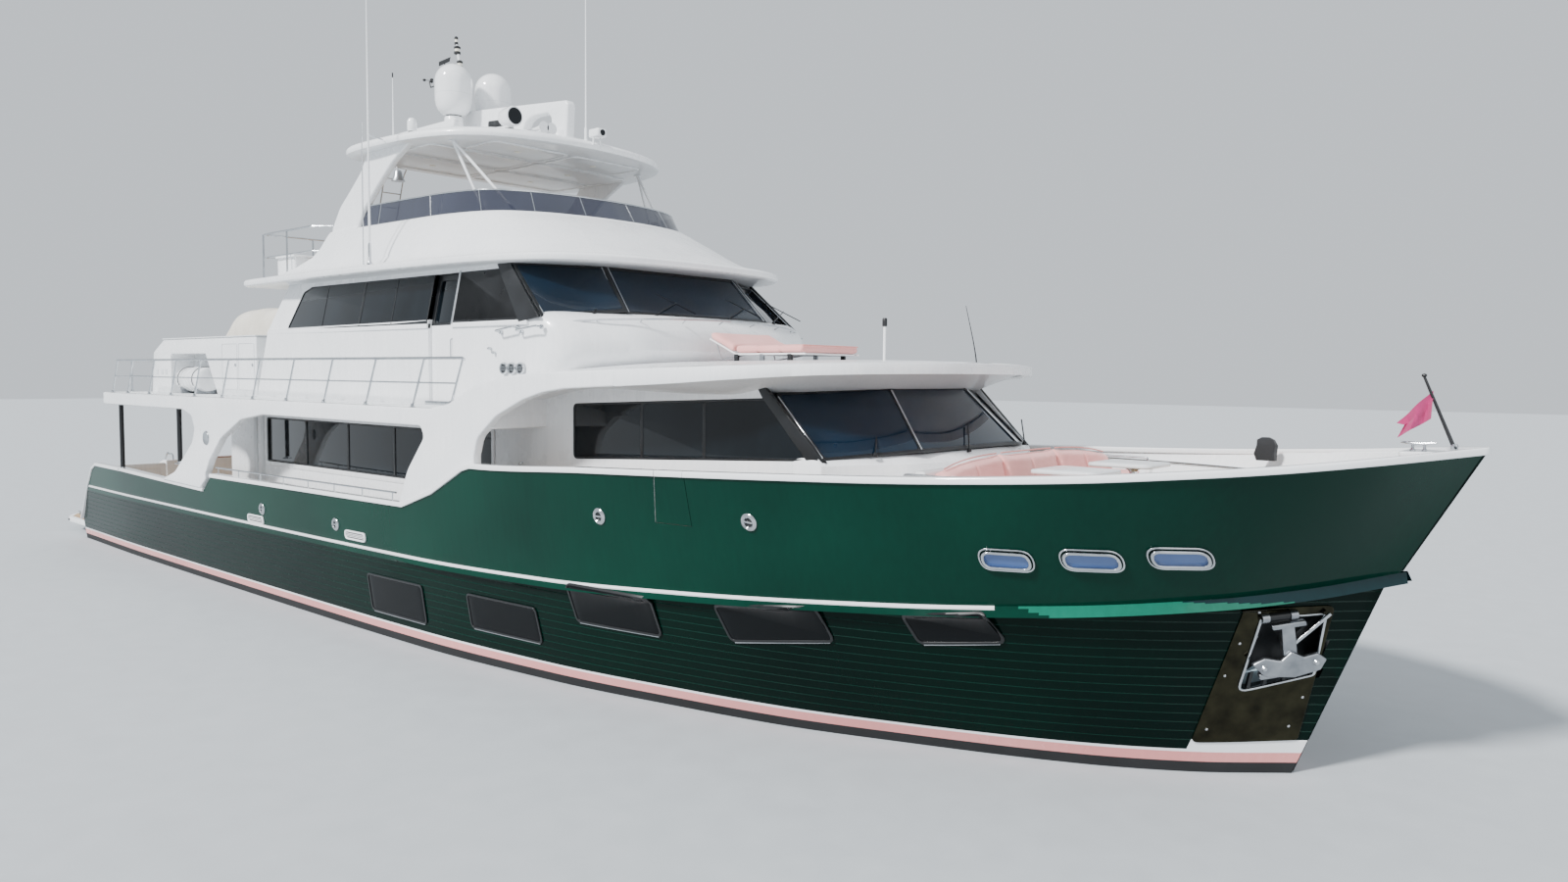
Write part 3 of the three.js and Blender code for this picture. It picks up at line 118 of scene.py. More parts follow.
def ease(rows, x):
    """Smooth interpolation through (x, value) rows, with no overshoot."""
    rows = np.asarray(rows, float)
    xs, ys = rows[:, 0], rows[:, 1]
    slope = np.diff(ys) / np.diff(xs)
    before, after = slope[:-1], slope[1:]
    total = np.where(before + after == 0, 1, before + after)
    inner = np.where(before * after <= 0, 0, 2 * before * after / total)
    tangent = np.concatenate([slope[:1], inner, slope[-1:]])
    x = np.clip(np.asarray(x, float), xs[0], xs[-1])
    i = np.clip(np.searchsorted(xs, x, side="right") - 1, 0, len(xs) - 2)
    span = xs[i + 1] - xs[i]
    t = (x - xs[i]) / span
    s = 1 - t
    return (
        ys[i] * (1 + 2 * t) * s * s
        + tangent[i] * span * t * s * s
        + ys[i + 1] * t * t * (3 - 2 * t)
        - tangent[i + 1] * span * t * t * s
    )


def curve_through(points, steps=6):
    """A smooth line through points: Catmull-Rom, with steps pieces to each stretch."""
    p = np.asarray(points, float)
    p = np.concatenate([2 * p[:1] - p[1:2], p, 2 * p[-1:] - p[-2:-1]])
    t = np.linspace(0, 1, steps, endpoint=False)[:, None]
    line = []
    for a, b, c, d in zip(p, p[1:], p[2:], p[3:]):
        line.append(
            0.5 * (2 * b + (c - a) * t + (2 * a - 5 * b + 4 * c - d) * t**2 + (3 * b - a - 3 * c + d) * t**3)
        )
    return np.concatenate([*line, p[-2:-1]])


def rounded(points, radius, steps=5, closed=True):
    """An outline with its corners rounded. radius is one number, or one for each corner."""
    p = np.asarray(points, float)
    radii = np.full(len(p), radius, float) if np.isscalar(radius) else np.asarray(radius, float)
    line = []
    for i, corner in enumerate(p):
        if not closed and i in (0, len(p) - 1) or radii[i] <= 0:
            line.append(corner)
            continue
        back, ahead = p[i - 1] - corner, p[(i + 1) % len(p)] - corner
        lengths = np.linalg.norm(back), np.linalg.norm(ahead)
        back, ahead = back / lengths[0], ahead / lengths[1]
        half = math.acos(np.clip(back @ ahead, -1, 1)) / 2
        reach = min(radii[i] / max(math.tan(half), 1e-3), 0.49 * min(lengths))
        for t in np.linspace(0, 1, steps + 1):
            line.append(corner + back * reach * (1 - t) ** 2 + ahead * reach * t**2)
    return np.array(line)


def rect(x0, x1, z0, z1):
    return [(x0, z0), (x1, z0), (x1, z1), (x0, z1)]


def full_turn(count):
    return np.linspace(0, 2 * math.pi, count, endpoint=False)


def circle(centre, radius, count=32):
    turn = full_turn(count)
    return np.stack([centre[0] + radius * np.cos(turn), centre[1] + radius * np.sin(turn)], 1)


# Shapes: each is (points, faces)
def welded(points, faces):
    """The shape with coincident points merged and collapsed faces dropped."""
    points = np.asarray(points, float)
    _, first, back = np.unique(np.round(points, 6), axis=0, return_index=True, return_inverse=True)
    back = back.ravel()
    kept = []
    for face in faces:
        ring = [back[i] for i in face]
        ring = [v for k, v in enumerate(ring) if v != ring[k - 1]]
        if len(set(ring)) > 2 and len(set(ring)) == len(ring):
            kept.append(tuple(ring))
    return points[first], kept


def sheet_faces(rows, columns, around=False, back=False):
    return [
        (r * columns + c, r * columns + (c + 1) % columns,
         (r + 1) % rows * columns + (c + 1) % columns, (r + 1) % rows * columns + c)
        for r in range(rows - (not back))
        for c in range(columns - (not around))
    ]


def sheet(points, around=False, back=False):
    """A surface through rows of points."""
    p = np.asarray(points, float)
    rows, columns = p.shape[:2]
    return welded(p.reshape(-1, 3), sheet_faces(rows, columns, around, back))


def loft(rings):
    """A closed solid through rings of like point count."""
    p = np.asarray(rings, float)
    rows, count = p.shape[:2]
    faces = sheet_faces(rows, count, around=True)
    faces += [tuple(range(count))[::-1], tuple(range((rows - 1) * count, rows * count))]
    return welded(p.reshape(-1, 3), faces)


def tube(path, radius, sides=10, closed=False):
    """A round bar along a path; radius is one number, or one for each point."""
    p = np.asarray(path, float)
    radii = np.full(len(p), radius, float) if np.isscalar(radius) else np.asarray(radius, float)
    ahead = np.roll(p, -1, 0) - p if closed else np.gradient(p, axis=0)
    if closed:
        ahead = ahead + p - np.roll(p, 1, 0)
    ahead /= np.linalg.norm(ahead, axis=1)[:, None]
    across = np.cross(ahead[0], (0, 0, 1) if abs(ahead[0][2]) < 0.9 else (1, 0, 0))
    turn = full_turn(sides)[:, None]
    rings = []
    for point, way, r in zip(p, ahead, radii):
        across = across - way * (across @ way)
        across /= np.linalg.norm(across)
        rings.append(point + r * (np.cos(turn) * across + np.sin(turn) * np.cross(way, across)))
    return sheet(rings, around=True, back=True) if closed else loft(rings)


def turned(profile, at=(0, 0, 0), sides=32, axis=(0, 0, 1)):
    """A turned form: (radius, height) points along an axis from a place."""
    turn = full_turn(sides)
    rings = [[(r * math.cos(a), r * math.sin(a), h) for a in turn] for r, h in profile]
    points, faces = loft(rings)
    return stood(points, axis, at), faces


def stood(points, axis, at):
    """Points drawn along +Z, stood up along an axis at a place."""
    spin = np.array(Vector((0, 0, 1)).rotation_difference(Vector(axis)).to_matrix())
    return points @ spin.T + np.asarray(at, float)


def helper(shape):
    """An object that carries a shape while modifiers work on it."""
    mesh = bpy.data.meshes.new("helper")
    mesh.from_pydata(np.asarray(shape[0], float).tolist(), [], shape[1])
    return bpy.data.objects.new("helper", mesh)


def taken(shape_object):
    """The evaluated mesh of a helper object as a shape; the helper is removed."""
    linked(shape_object)
    graph = bpy.context.evaluated_depsgraph_get()
    mesh = bpy.data.meshes.new_from_object(shape_object.evaluated_get(graph))
    points = np.array([v.co[:] for v in mesh.vertices])
    faces = [tuple(f.vertices) for f in mesh.polygons]
    bpy.data.objects.remove(shape_object)
    bpy.data.meshes.remove(mesh)
    return points, faces


def filled(outlines, depth, edge=0.0):
    """A flat plate in the XY plane: an outline with any holes in it, and rounded edges."""
    data = bpy.data.curves.new("outline", "CURVE")
    data.dimensions, data.fill_mode = "2D", "BOTH"
    data.extrude, data.bevel_depth, data.bevel_resolution, data.offset = depth / 2 - edge, edge, 3, -edge
    for outline in outlines:
        spline = data.splines.new("POLY")
        spline.points.add(len(outline) - 1)
        spline.points.foreach_set("co", np.array([(a, b, 0, 1) for a, b in outline]).ravel())
        spline.use_cyclic_u = True
    return welded(*taken(bpy.data.objects.new("outline", data)))


def side_plate(outlines, y0, y1, edge=0.01):
    """A plate from side-view (x, z) outlines, between two breadths."""
    points, faces = filled(outlines, abs(y1 - y0), edge)
    return np.stack([points[:, 0], (y0 + y1) / 2 - points[:, 2], points[:, 1]], 1), faces


def slab(outlines, z0, z1, edge=0.01):
    """A plate from plan (x, y) outlines, between two heights."""
    points, faces = filled(outlines, z1 - z0, edge)
    return points + (0, 0, (z0 + z1) / 2), faces


def end_plate(outlines, x0, x1, edge=0.01):
    """A plate from end-view (y, z) outlines, between two stations."""
    points, faces = filled(outlines, abs(x1 - x0), edge)
    return np.stack([(x0 + x1) / 2 + points[:, 2], points[:, 0], points[:, 1]], 1), faces


def block(x0, x1, y0, y1, z0, z1, edge=0.01, steps=3):
    """A box with rounded edges."""
    bm = bmesh.new()
    bmesh.ops.create_cube(bm, size=1)
    for v in bm.verts:
        v.co = [(a + b) / 2 + c * (b - a) for a, b, c in zip((x0, y0, z0), (x1, y1, z1), v.co)]
    bmesh.ops.bevel(bm, geom=bm.edges[:], offset=edge, segments=steps, profile=0.5, affect="EDGES")
    return emptied(bm)


def emptied(bm):
    """A working mesh as a shape; the mesh is freed."""
    bm.verts.index_update()
    shape = np.array([v.co[:] for v in bm.verts]), [tuple(v.index for v in f.verts) for f in bm.faces]
    bm.free()
    return shape


def mirrored(shape):
    points, faces = shape
    return points * (1, -1, 1), [face[::-1] for face in faces]


def moved(shape, offset):
    return shape[0] + np.asarray(offset, float), shape[1]


def sliced(shape, axis, places):
    """The shape with its faces cut at planes across an axis, so that it can bend."""
    bm = bmesh.new()
    fill(bm, shape)
    normal = [0, 0, 0]
    normal[axis] = 1
    for place in places:
        at = [0, 0, 0]
        at[axis] = place
        everything = bm.verts[:] + bm.edges[:] + bm.faces[:]
        bmesh.ops.bisect_plane(bm, geom=everything, dist=1e-5, plane_co=at, plane_no=normal)
    return emptied(bm)


def fill(bm, shape):
    verts = [bm.verts.new(p) for p in shape[0]]
    for face in shape[1]:
        try:
            bm.faces.new([verts[i] for i in face])
        except ValueError:  # the same face twice
            continue


# Finishes. Patterns are scaled from real sizes in millimetres.
def finish(name):
    """A new node material, and the function that adds a node to it with its settings and links."""
    material = bpy.data.materials.new(name)
    material.use_nodes = True
    tree = material.node_tree

    def add(kind, inputs=(), out=0, **settings):
        node = tree.nodes[kind] if kind == SHADER else tree.nodes.new("ShaderNode" + kind)
        for setting, value in settings.items():
            setattr(node, setting, value)
        for socket, value in dict(inputs).items():
            if isinstance(value, bpy.types.NodeSocket):
                tree.links.new(value, node.inputs[socket])
            else:
                node.inputs[socket].default_value = value
        return node.outputs[out]

    return material, add


SHADER = "Principled BSDF"


def yacht_paint(name, light, dark, roughness=0.1, coat=1.0, specular=0.5):
    """Sprayed and polished linear paint: deep gloss, faint runs, orange peel drawn coarse so as to show."""
    material, add = finish(name)
    place = add("TexCoord", out=3)
    drift = add("TexNoise", {"Vector": place, "Scale": 1000 / 2600, "Detail": 2.0})
    upright = add("Mapping", {"Vector": place, "Scale": (1, 1, 0.06)})
    runs = add("TexNoise", {"Vector": upright, "Scale": 1000 / 60, "Detail": 4.0})
    both = add("Math", {0: runs, 1: 0.25, 2: drift}, operation="MULTIPLY_ADD")
    tone = add("MapRange", {"Value": both, "From Min": 0.42, "From Max": 0.82})
    color = add("Mix", {"Factor": tone, 6: srgb(dark), 7: srgb(light)}, 2, data_type="RGBA")
    salt = add("TexNoise", {"Vector": place, "Scale": 1000 / 350, "Detail": 5.0})
    rough = add(
        "MapRange",
        {"Value": salt, "From Min": 0.35, "From Max": 0.75, "To Min": roughness, "To Max": roughness + 0.1}
    )
    peel = add("TexNoise", {"Vector": place, "Scale": 1000 / 9, "Detail": 1.0})
    bump = add("Bump", {"Height": peel, "Distance": 0.00004, "Strength": 0.12})
    look = {"Base Color": color, "Roughness": rough, "Normal": bump, "Specular IOR Level": specular}
    add(SHADER, look | {"Coat Weight": coat, "Coat Roughness": 0.04})
    return material


def gelcoat(name, light, dark, roughness=0.22):
    """Moulded gelcoat: a soft white shine, slight mottling, rain streaks down its sides."""
    material, add = finish(name)
    place = add("TexCoord", out=3)
    upright = add("Mapping", {"Vector": place, "Scale": (1, 1, 0.05)})
    streaks = add("TexNoise", {"Vector": upright, "Scale": 1000 / 45, "Detail": 5.0})
    mottle = add("TexNoise", {"Vector": place, "Scale": 1000 / 900, "Detail": 3.0})
    both = add("Math", {0: streaks, 1: mottle}, operation="MULTIPLY")
    tone = add("MapRange", {"Value": both, "From Min": 0.14, "From Max": 0.34})
    color = add("Mix", {"Factor": tone, 6: srgb(dark), 7: srgb(light)}, 2, data_type="RGBA")
    dulled = add("TexNoise", {"Vector": place, "Scale": 1000 / 240, "Detail": 4.0})
    rough = add(
        "MapRange",
        {"Value": dulled, "From Min": 0.3, "From Max": 0.7, "To Min": roughness, "To Max": roughness + 0.14}
    )
    add(SHADER, {"Base Color": color, "Roughness": rough, "Coat Weight": 0.35, "Coat Roughness": 0.08})
    return material


def window_glass(name, tint, sheen, opacity=1.0, shine=1.0):
    """Tinted, toughened float glass: nearly black, mirror-smooth, with faint wipe marks tinted towards the
    sheen colour, a painted sky reflection.
    """
    material, add = finish(name)
    place = add("TexCoord", out=3)
    low = add("Mapping", {"Vector": place, "Scale": (1, 1, 0.4)})
    wipes_and_painted_sheen = add("TexNoise", {"Vector": low, "Scale": 1000 / 700, "Detail": 3.0})
    tone = add("MapRange", {"Value": wipes_and_painted_sheen, "From Min": 0.35, "From Max": 0.8, "To Max": 0.22})
    color = add("Mix", {"Factor": tone, 6: srgb(tint), 7: srgb(sheen)}, 2, data_type="RGBA")
    film = add("TexNoise", {"Vector": place, "Scale": 1000 / 90, "Detail": 4.0})
    rough = add(
        "MapRange", {"Value": film, "From Min": 0.4, "From Max": 0.75, "To Min": 0.02, "To Max": 0.06}
    )
    look = {
        "Base Color": color, "Roughness": rough, "IOR": 1.52, "Coat Weight": shine, "Coat Roughness": 0.015
    }
    add(SHADER, look | {"Alpha": opacity, "Specular IOR Level": 0.5 * shine})
    return material


def metal(name, light, dark, roughness=0.12, scratch_mm=25, grain=(1, 1, 1)):
    """Polished or cast metal: sharp highlights broken by fine scratches and dulled patches."""
    material, add = finish(name)
    place = add("TexCoord", out=3)
    patches = add("TexNoise", {"Vector": place, "Scale": 1000 / 180, "Detail": 4.0})
    tone = add("MapRange", {"Value": patches, "From Min": 0.3, "From Max": 0.75})
    color = add("Mix", {"Factor": tone, 6: srgb(dark), 7: srgb(light)}, 2, data_type="RGBA")
    drawn = add("Mapping", {"Vector": place, "Scale": grain})
    scratches = add("TexNoise", {"Vector": drawn, "Scale": 1000 / scratch_mm, "Detail": 6.0})
    rough = add(
        "MapRange",
        {
            "Value": scratches, "From Min": 0.35, "From Max": 0.75, "To Min": roughness,
            "To Max": roughness + 0.16
        }
    )
    bump = add("Bump", {"Height": scratches, "Distance": 0.00002, "Strength": 0.15})
    add(SHADER, {"Base Color": color, "Roughness": rough, "Normal": bump, "Metallic": 1.0})
    return material


def laid_teak(name, plank_mm=52, seam_mm=5, length_mm=2200):
    """Teak planks, black caulking, staggered butts: silvered, dull, with grain drawn coarse so as to show."""
    material, add = finish(name)
    place = add("TexCoord", out=3)
    x, y = (add("SeparateXYZ", {0: place}, out) for out in (0, 1))
    across = add("Math", {0: y, 1: plank_mm / 1000}, operation="DIVIDE")
    plank = add("Math", {0: across}, operation="FLOOR")
    seam = add(
        "Math", {0: add("Math", {0: across}, operation="FRACT"), 1: seam_mm / plank_mm}, operation="LESS_THAN"
    )
    shift = add("Math", {0: plank, 1: 0.37}, operation="MULTIPLY")
    along = add("Math", {0: x, 1: 1000 / length_mm, 2: shift}, operation="MULTIPLY_ADD")
    butt = add(
        "Math", {0: add("Math", {0: along}, operation="FRACT"), 1: seam_mm / length_mm}, operation="LESS_THAN"
    )
    caulk = add("Math", {0: seam, 1: butt}, operation="MAXIMUM")
    board = add(
        "Math", {0: add("Math", {0: along}, operation="FLOOR"), 1: 7.3, 2: plank}, operation="MULTIPLY_ADD"
    )
    tone = add("TexWhiteNoise", {"W": board}, noise_dimensions="1D")
    drawn = add("Mapping", {"Vector": place, "Scale": (0.05, 1, 1)})
    grain = add("TexNoise", {"Vector": drawn, "Scale": 1000 / 9, "Detail": 5.0, "Roughness": 0.6})
    share = add("Math", {0: tone, 1: 0.6, 2: grain}, operation="MULTIPLY_ADD")
    share = add("MapRange", {"Value": share, "From Min": 0.3, "From Max": 1.2})
    wood = add("Mix", {"Factor": share, 6: srgb("#8E6B49"), 7: srgb("#C9A77C")}, 2, data_type="RGBA")
    weather = add("TexNoise", {"Vector": place, "Scale": 1000 / 800, "Detail": 3.0})
    silvered = add("MapRange", {"Value": weather, "From Min": 0.4, "From Max": 0.8, "To Max": 0.5})
    wood = add("Mix", {"Factor": silvered, 6: wood, 7: srgb("#B7AC9C")}, 2, data_type="RGBA")
    color = add("Mix", {"Factor": caulk, 6: wood, 7: srgb("#16171A")}, 2, data_type="RGBA")
    rough = add("MapRange", {"Value": caulk, "To Min": 0.72, "To Max": 0.45})
    sunk = add("Math", {0: caulk, 1: -2.0, 2: grain}, operation="MULTIPLY_ADD")
    bump = add("Bump", {"Height": sunk, "Distance": 0.0004, "Strength": 0.5})
    add(SHADER, {"Base Color": color, "Roughness": rough, "Normal": bump})
    return material


def woven(name, light, dark, thread_mm=3.0, sheen=0.25):
    """Woven acrylic canvas, slowly fading: threads are drawn coarser than real, so that they show."""
    material, add = finish(name)
    place = add("TexCoord", out=3)
    weave = 0.0
    for way in "XYZ":
        thread = {"Vector": place, "Scale": 1000 / thread_mm / 20, "Distortion": 0.6}
        band = add("TexWave", thread, bands_direction=way)
        weave = add("Math", {0: band, 1: weave}, operation="ADD")
    fade = add("TexNoise", {"Vector": place, "Scale": 1000 / 420, "Detail": 3.0})
    tone = add("Math", {0: weave, 1: 0.08, 2: fade}, operation="MULTIPLY_ADD")
    tone = add("MapRange", {"Value": tone, "From Min": 0.35, "From Max": 0.85})
    color = add("Mix", {"Factor": tone, 6: srgb(dark), 7: srgb(light)}, 2, data_type="RGBA")
    bump = add("Bump", {"Height": weave, "Distance": 0.0003, "Strength": 0.4})
    look = {
        "Base Color": color, "Normal": bump, "Roughness": 0.85, "Sheen Weight": sheen, "Sheen Roughness": 0.5
    }
    add(SHADER, look)
    return material


def moulded(name, light, dark, roughness=0.6, texture_mm=5.0, depth_mm=0.15):
    """Moulded plastic, rubber or matt paint: an even colour, a soft texture drawn coarse so as to show."""
    material, add = finish(name)
    place = add("TexCoord", out=3)
    worn = add("TexNoise", {"Vector": place, "Scale": 1000 / 400, "Detail": 4.0})
    tone = add("MapRange", {"Value": worn, "From Min": 0.3, "From Max": 0.7})
    color = add("Mix", {"Factor": tone, 6: srgb(dark), 7: srgb(light)}, 2, data_type="RGBA")
    rough = add(
        "MapRange",
        {
            "Value": worn, "From Min": 0.3, "From Max": 0.7, "To Min": roughness - 0.08,
            "To Max": roughness + 0.08
        }
    )
    texture = add("TexNoise", {"Vector": place, "Scale": 1000 / texture_mm, "Detail": 2.0})
    bump = add("Bump", {"Height": texture, "Distance": depth_mm / 1000, "Strength": 0.4})
    add(SHADER, {"Base Color": color, "Roughness": rough, "Normal": bump})
    return material


def deck_grip(name, light, dark, diamond_mm=12):
    """Gelcoat deck moulded with raised diamonds: pale, without shine; drawn at 12 mm, so that they show."""
    material, add = finish(name)
    place = add("TexCoord", out=3)
    ways = []
    for sign in (1, -1):
        slant = add("Mapping", {"Vector": place, "Scale": (1, sign, 0)})
        ways.append(
            add("TexWave", {"Vector": slant, "Scale": 1000 / diamond_mm / 4}, bands_direction="DIAGONAL")
        )
    grip = add("Math", {0: ways[0], 1: ways[1]}, operation="MULTIPLY")
    worn = add("TexNoise", {"Vector": place, "Scale": 1000 / 600, "Detail": 4.0})
    tone = add("MapRange", {"Value": worn, "From Min": 0.3, "From Max": 0.7})
    color = add("Mix", {"Factor": tone, 6: srgb(dark), 7: srgb(light)}, 2, data_type="RGBA")
    bump = add("Bump", {"Height": grip, "Distance": 0.0007, "Strength": 0.5})
    add(SHADER, {"Base Color": color, "Normal": bump, "Roughness": 0.55})
    return material


# Names say what the real thing is and how its surface was made; comments, what that gives the eye.
LOOKS = {
    # Linear paint, sprayed and polished: one dark green with a crisp shine, in copies painted darker below
    # the knuckle (painted shade), paler at seams and knuckle (painted highlights) and dark teal by the stem
    # (painted reflection)
    "green": yacht_paint("polished_green_linear_paint", "#003327", "#00271E", 0.06, 0.1, 0.08),
    # The same green painted darker below the knuckle, on cut faces and at the stern end: painted shade
    "deep_green": yacht_paint("polished_green_paint_painted_shade", "#001912", "#00110D", 0.08, 0.06, 0.06),
    # The groove faces, a little dulled and painted paler than the planks: a painted highlight along each seam
    "seam_green": yacht_paint("sprayed_green_seam_paint_painted_highlight", "#082E25", "#05231C", 0.2, 0.1, 0.1),
    # The same green painted light on the flange's middle: a painted highlight where it catches the sky
    "knuckle": yacht_paint("green_paint_painted_sky_highlight", "#156A56", "#0E5543", 0.12, 0.15, 0.15),
    # The same green painted dark teal at the flange's forward end: a painted reflection
    "teal": yacht_paint("green_paint_painted_teal_reflection", "#05282D", "#031E22", 0.1, 0.1, 0.1),
    # Antifouling, rolled on: a dead black without shine, below a salmon line
    "antifoul": moulded("rolled_black_antifouling", "#1B1C1E", "#0E0F10", 0.7),
    "stripe": yacht_paint("sprayed_salmon_paint", "#E89C98", "#D98B88", 0.2, 0.5),
    # Gelcoat out of a polished mould: softly glossy white, a greyer copy painted under decks for their shade,
    # gritty where one walks
    "white": gelcoat("moulded_white_gelcoat", "#F6F7F8", "#EEF0F2"),
    "cap": yacht_paint("polished_white_linear_paint", "#F6F7F8", "#ECEEF0", 0.08),
    # The greyer white: painted shade under decks and in hollows, and a grey on some trim
    "soffit": gelcoat("satin_grey_gelcoat_and_painted_shade", "#E2E4E6", "#D9DCDE", 0.35),
    "nonskid": deck_grip("moulded_gelcoat_grip", "#E9EBEC", "#D5D8D9"),
    # Float glass and acrylic: near-black panes with a cool sheen from the sky painted into their colour, in
    # matt black rubber
    "glass": window_glass("tinted_float_glass", "#080D11", "#2A343C", 1.0, 0.35),
    # The same glass painted bluer on the forward screens: a painted reflection of the sky
    "front_glass": window_glass("float_glass_painted_blue_sky_reflection", "#071522", "#1B3D57", 1.0, 0.4),
    "hull_glass": window_glass("black_tinted_float_glass", "#06080A", "#0E1418", 1.0, 0.15),
    "blue_glass": window_glass("blue_coated_float_glass", "#2F4E86", "#6E8FC0"),
    "smoked": window_glass("cast_smoked_acrylic", "#23273A", "#464E66", 0.74, 0.6),
    "gasket": moulded("extruded_black_rubber", "#141619", "#0C0D0F", 0.35, 10, 0.02),
    # Metals: bright polished tube, duller castings, a plate brushed lengthwise and painted dark for the dark
    # reflection in its polish, golden propellers
    "steel": metal("polished_stainless_steel", "#D4D7DA", "#B9BDC1", 0.08),
    "dull_steel": metal("cast_anchor_steel", "#B4B7BB", "#8B8F94", 0.28),
    "anchor_plate": metal("polished_steel_plate_painted_dark_reflection", "#3C3A2C", "#24231C", 0.08, 40, (0.2, 1, 1)),
    "bronze": metal("cast_bronze", "#B08A4A", "#7D6236", 0.3),
    # Teak: silvery laid decks with black seams, and red-brown wood deep under varnish
    "teak": laid_teak("laid_teak"),
    "varnish": yacht_paint("varnished_teak", "#9A5A2C", "#7C4520", 0.15),
    # Woven covers: flat, faded colours with a soft bloom at grazing angles and a weave that just shows
    "pink": woven("woven_salmon_acrylic", "#EBAEA8", "#DE9A95"),
    "piping": woven("woven_salmon_piping", "#D99089", "#CC827C", 2.0),
    "canvas": woven("woven_pale_canvas", "#DED9CD", "#CCC6B8"),
    "black_cloth": woven("woven_black_acrylic", "#1E1F22", "#131416", 3.0, 0.1),
    # Moulded plastics, rubber and enamel: even colours, softly broken highlights
    "black": moulded("moulded_black_plastic", "#1A1B1E", "#101113", 0.4),
    "rubber": moulded("moulded_black_rubber", "#242528", "#191A1C", 0.75, 3, 0.2),
    "grey": moulded("sprayed_grey_enamel", "#8C9196", "#74797E", 0.5),
    # Pale blue-grey for recessed faces: painted shade, as white looks in the sky's light
    "recess": moulded("pale_blue_grey_painted_shade", "#A9BCC4", "#8FA3AC", 0.4),
    "lamp": moulded("moulded_frosted_acrylic", "#F5F1E4", "#EAE5D5", 0.3),
    # Lenses: clear, saturated and glossy
    "red_lamp": window_glass("moulded_red_acrylic", "#B11218", "#D8383A"),
    "green_lamp": window_glass("moulded_green_acrylic", "#0B7F46", "#2FAF73"),
    "pennant": woven("woven_magenta_bunting", "#B5306E", "#9C245C", 2.0),
}


def face_outward(mesh):
    bm = bmesh.new()
    bm.from_mesh(mesh)
    bmesh.ops.recalc_face_normals(bm, faces=bm.faces[:])
    bm.to_mesh(mesh)
    bm.free()


class Piece:
    """One object, gathered from shapes that each have their own finish."""

    def __init__(self, name):
        self.name, self.points, self.faces, self.finishes, self.looks, self.count = name, [], [], [], [], 0

    def add(self, shape, look, both=False):
        """Adds a shape in one finish, or one for each face; both adds its mirror image too."""
        points, faces = shape
        looks = [look] * len(faces) if isinstance(look, str) else look
        for look in dict.fromkeys(looks):
            if look not in self.finishes:
                self.finishes.append(look)
        self.points.append(np.asarray(points, float))
        self.faces += [tuple(i + self.count for i in face) for face in faces]
        self.looks += [self.finishes.index(look) for look in looks]
        self.count += len(points)
        if both:
            self.add(mirrored(shape), looks)
        return self

    def bar(self, path, radius, sides=10, look="steel", both=False):
        """Adds a round bar."""
        return self.add(tube(path, radius, sides), look, both)

    def turn(self, profile, at, sides=32, axis=(0, 0, 1), look="steel", both=False):
        """Adds a turned form."""
        return self.add(turned(profile, at, sides, axis), look, both)

    def done(self, body, slot, *stands_for, crease=35, flip=False):
        """Makes the object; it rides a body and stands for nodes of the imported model."""
        mesh = bpy.data.meshes.new(self.name)
        points = np.concatenate(self.points)
        faces = self.faces
        if flip:
            points = points * (1, -1, 1)
            faces = [face[::-1] for face in faces]
        mesh.from_pydata(points.tolist(), [], faces)
        for look in self.finishes:
            mesh.materials.append(LOOKS[look])
        mesh.polygons.foreach_set("material_index", self.looks)
        face_outward(mesh)
        mesh.polygons.foreach_set("use_smooth", [True] * len(mesh.polygons))
        mesh.set_sharp_from_angle(angle=math.radians(crease))
        made = linked(bpy.data.objects.new(self.name, mesh))
        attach(made, body)
        if stands_for:
            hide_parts(*stands_for)
        return made


def boolean(target, tool, operation):
    """A closed shape joined with, cut by or kept inside another."""
    worked, other = helper(target), linked(helper(tool))
    for made in (worked, other):
        face_outward(made.data)
    modifier = worked.modifiers.new("boolean", "BOOLEAN")
    modifier.operation, modifier.object, modifier.solver = operation, other, "EXACT"
    shape = taken(worked)
    bpy.data.objects.remove(other)
    return shape


def less(shape, *tools):
    """A closed shape with others cut away, one after another."""
    for tool in tools:
        shape = boolean(shape, tool, "DIFFERENCE")
    return shape


# Hull: each rail runs from the transom to the stem. Rows: x, half-breadth, height
KNUCKLE = [
    (-12.4, 3.3, 1.33), (-8, 3.43, 1.34), (-2, 3.48, 1.35), (2.78, 3.48, 1.37), (5.8, 3.4, 1.44),
    (8, 3.2, 1.55), (10.4, 2.74, 1.7), (12, 2.13, 1.81), (13.26, 1.27, 1.93), (13.9, 0.68, 2.03),
    (14.57, 0.03, 2.19)
]
SHEER = [
    (-12.4, 3.38, 2.75), (-9, 3.5, 2.75), (-4, 3.59, 2.75), (4.4, 3.6, 2.75), (6.7, 3.56, 2.84),
    (8.3, 3.48, 2.895), (9.7, 3.34, 2.945), (10.8, 3.16, 2.985), (12.4, 2.7, 3.07), (13.3, 2.22, 3.14),
    (13.9, 1.79, 3.195), (14.5, 1.19, 3.265), (15.2, 0.03, 3.35)
]
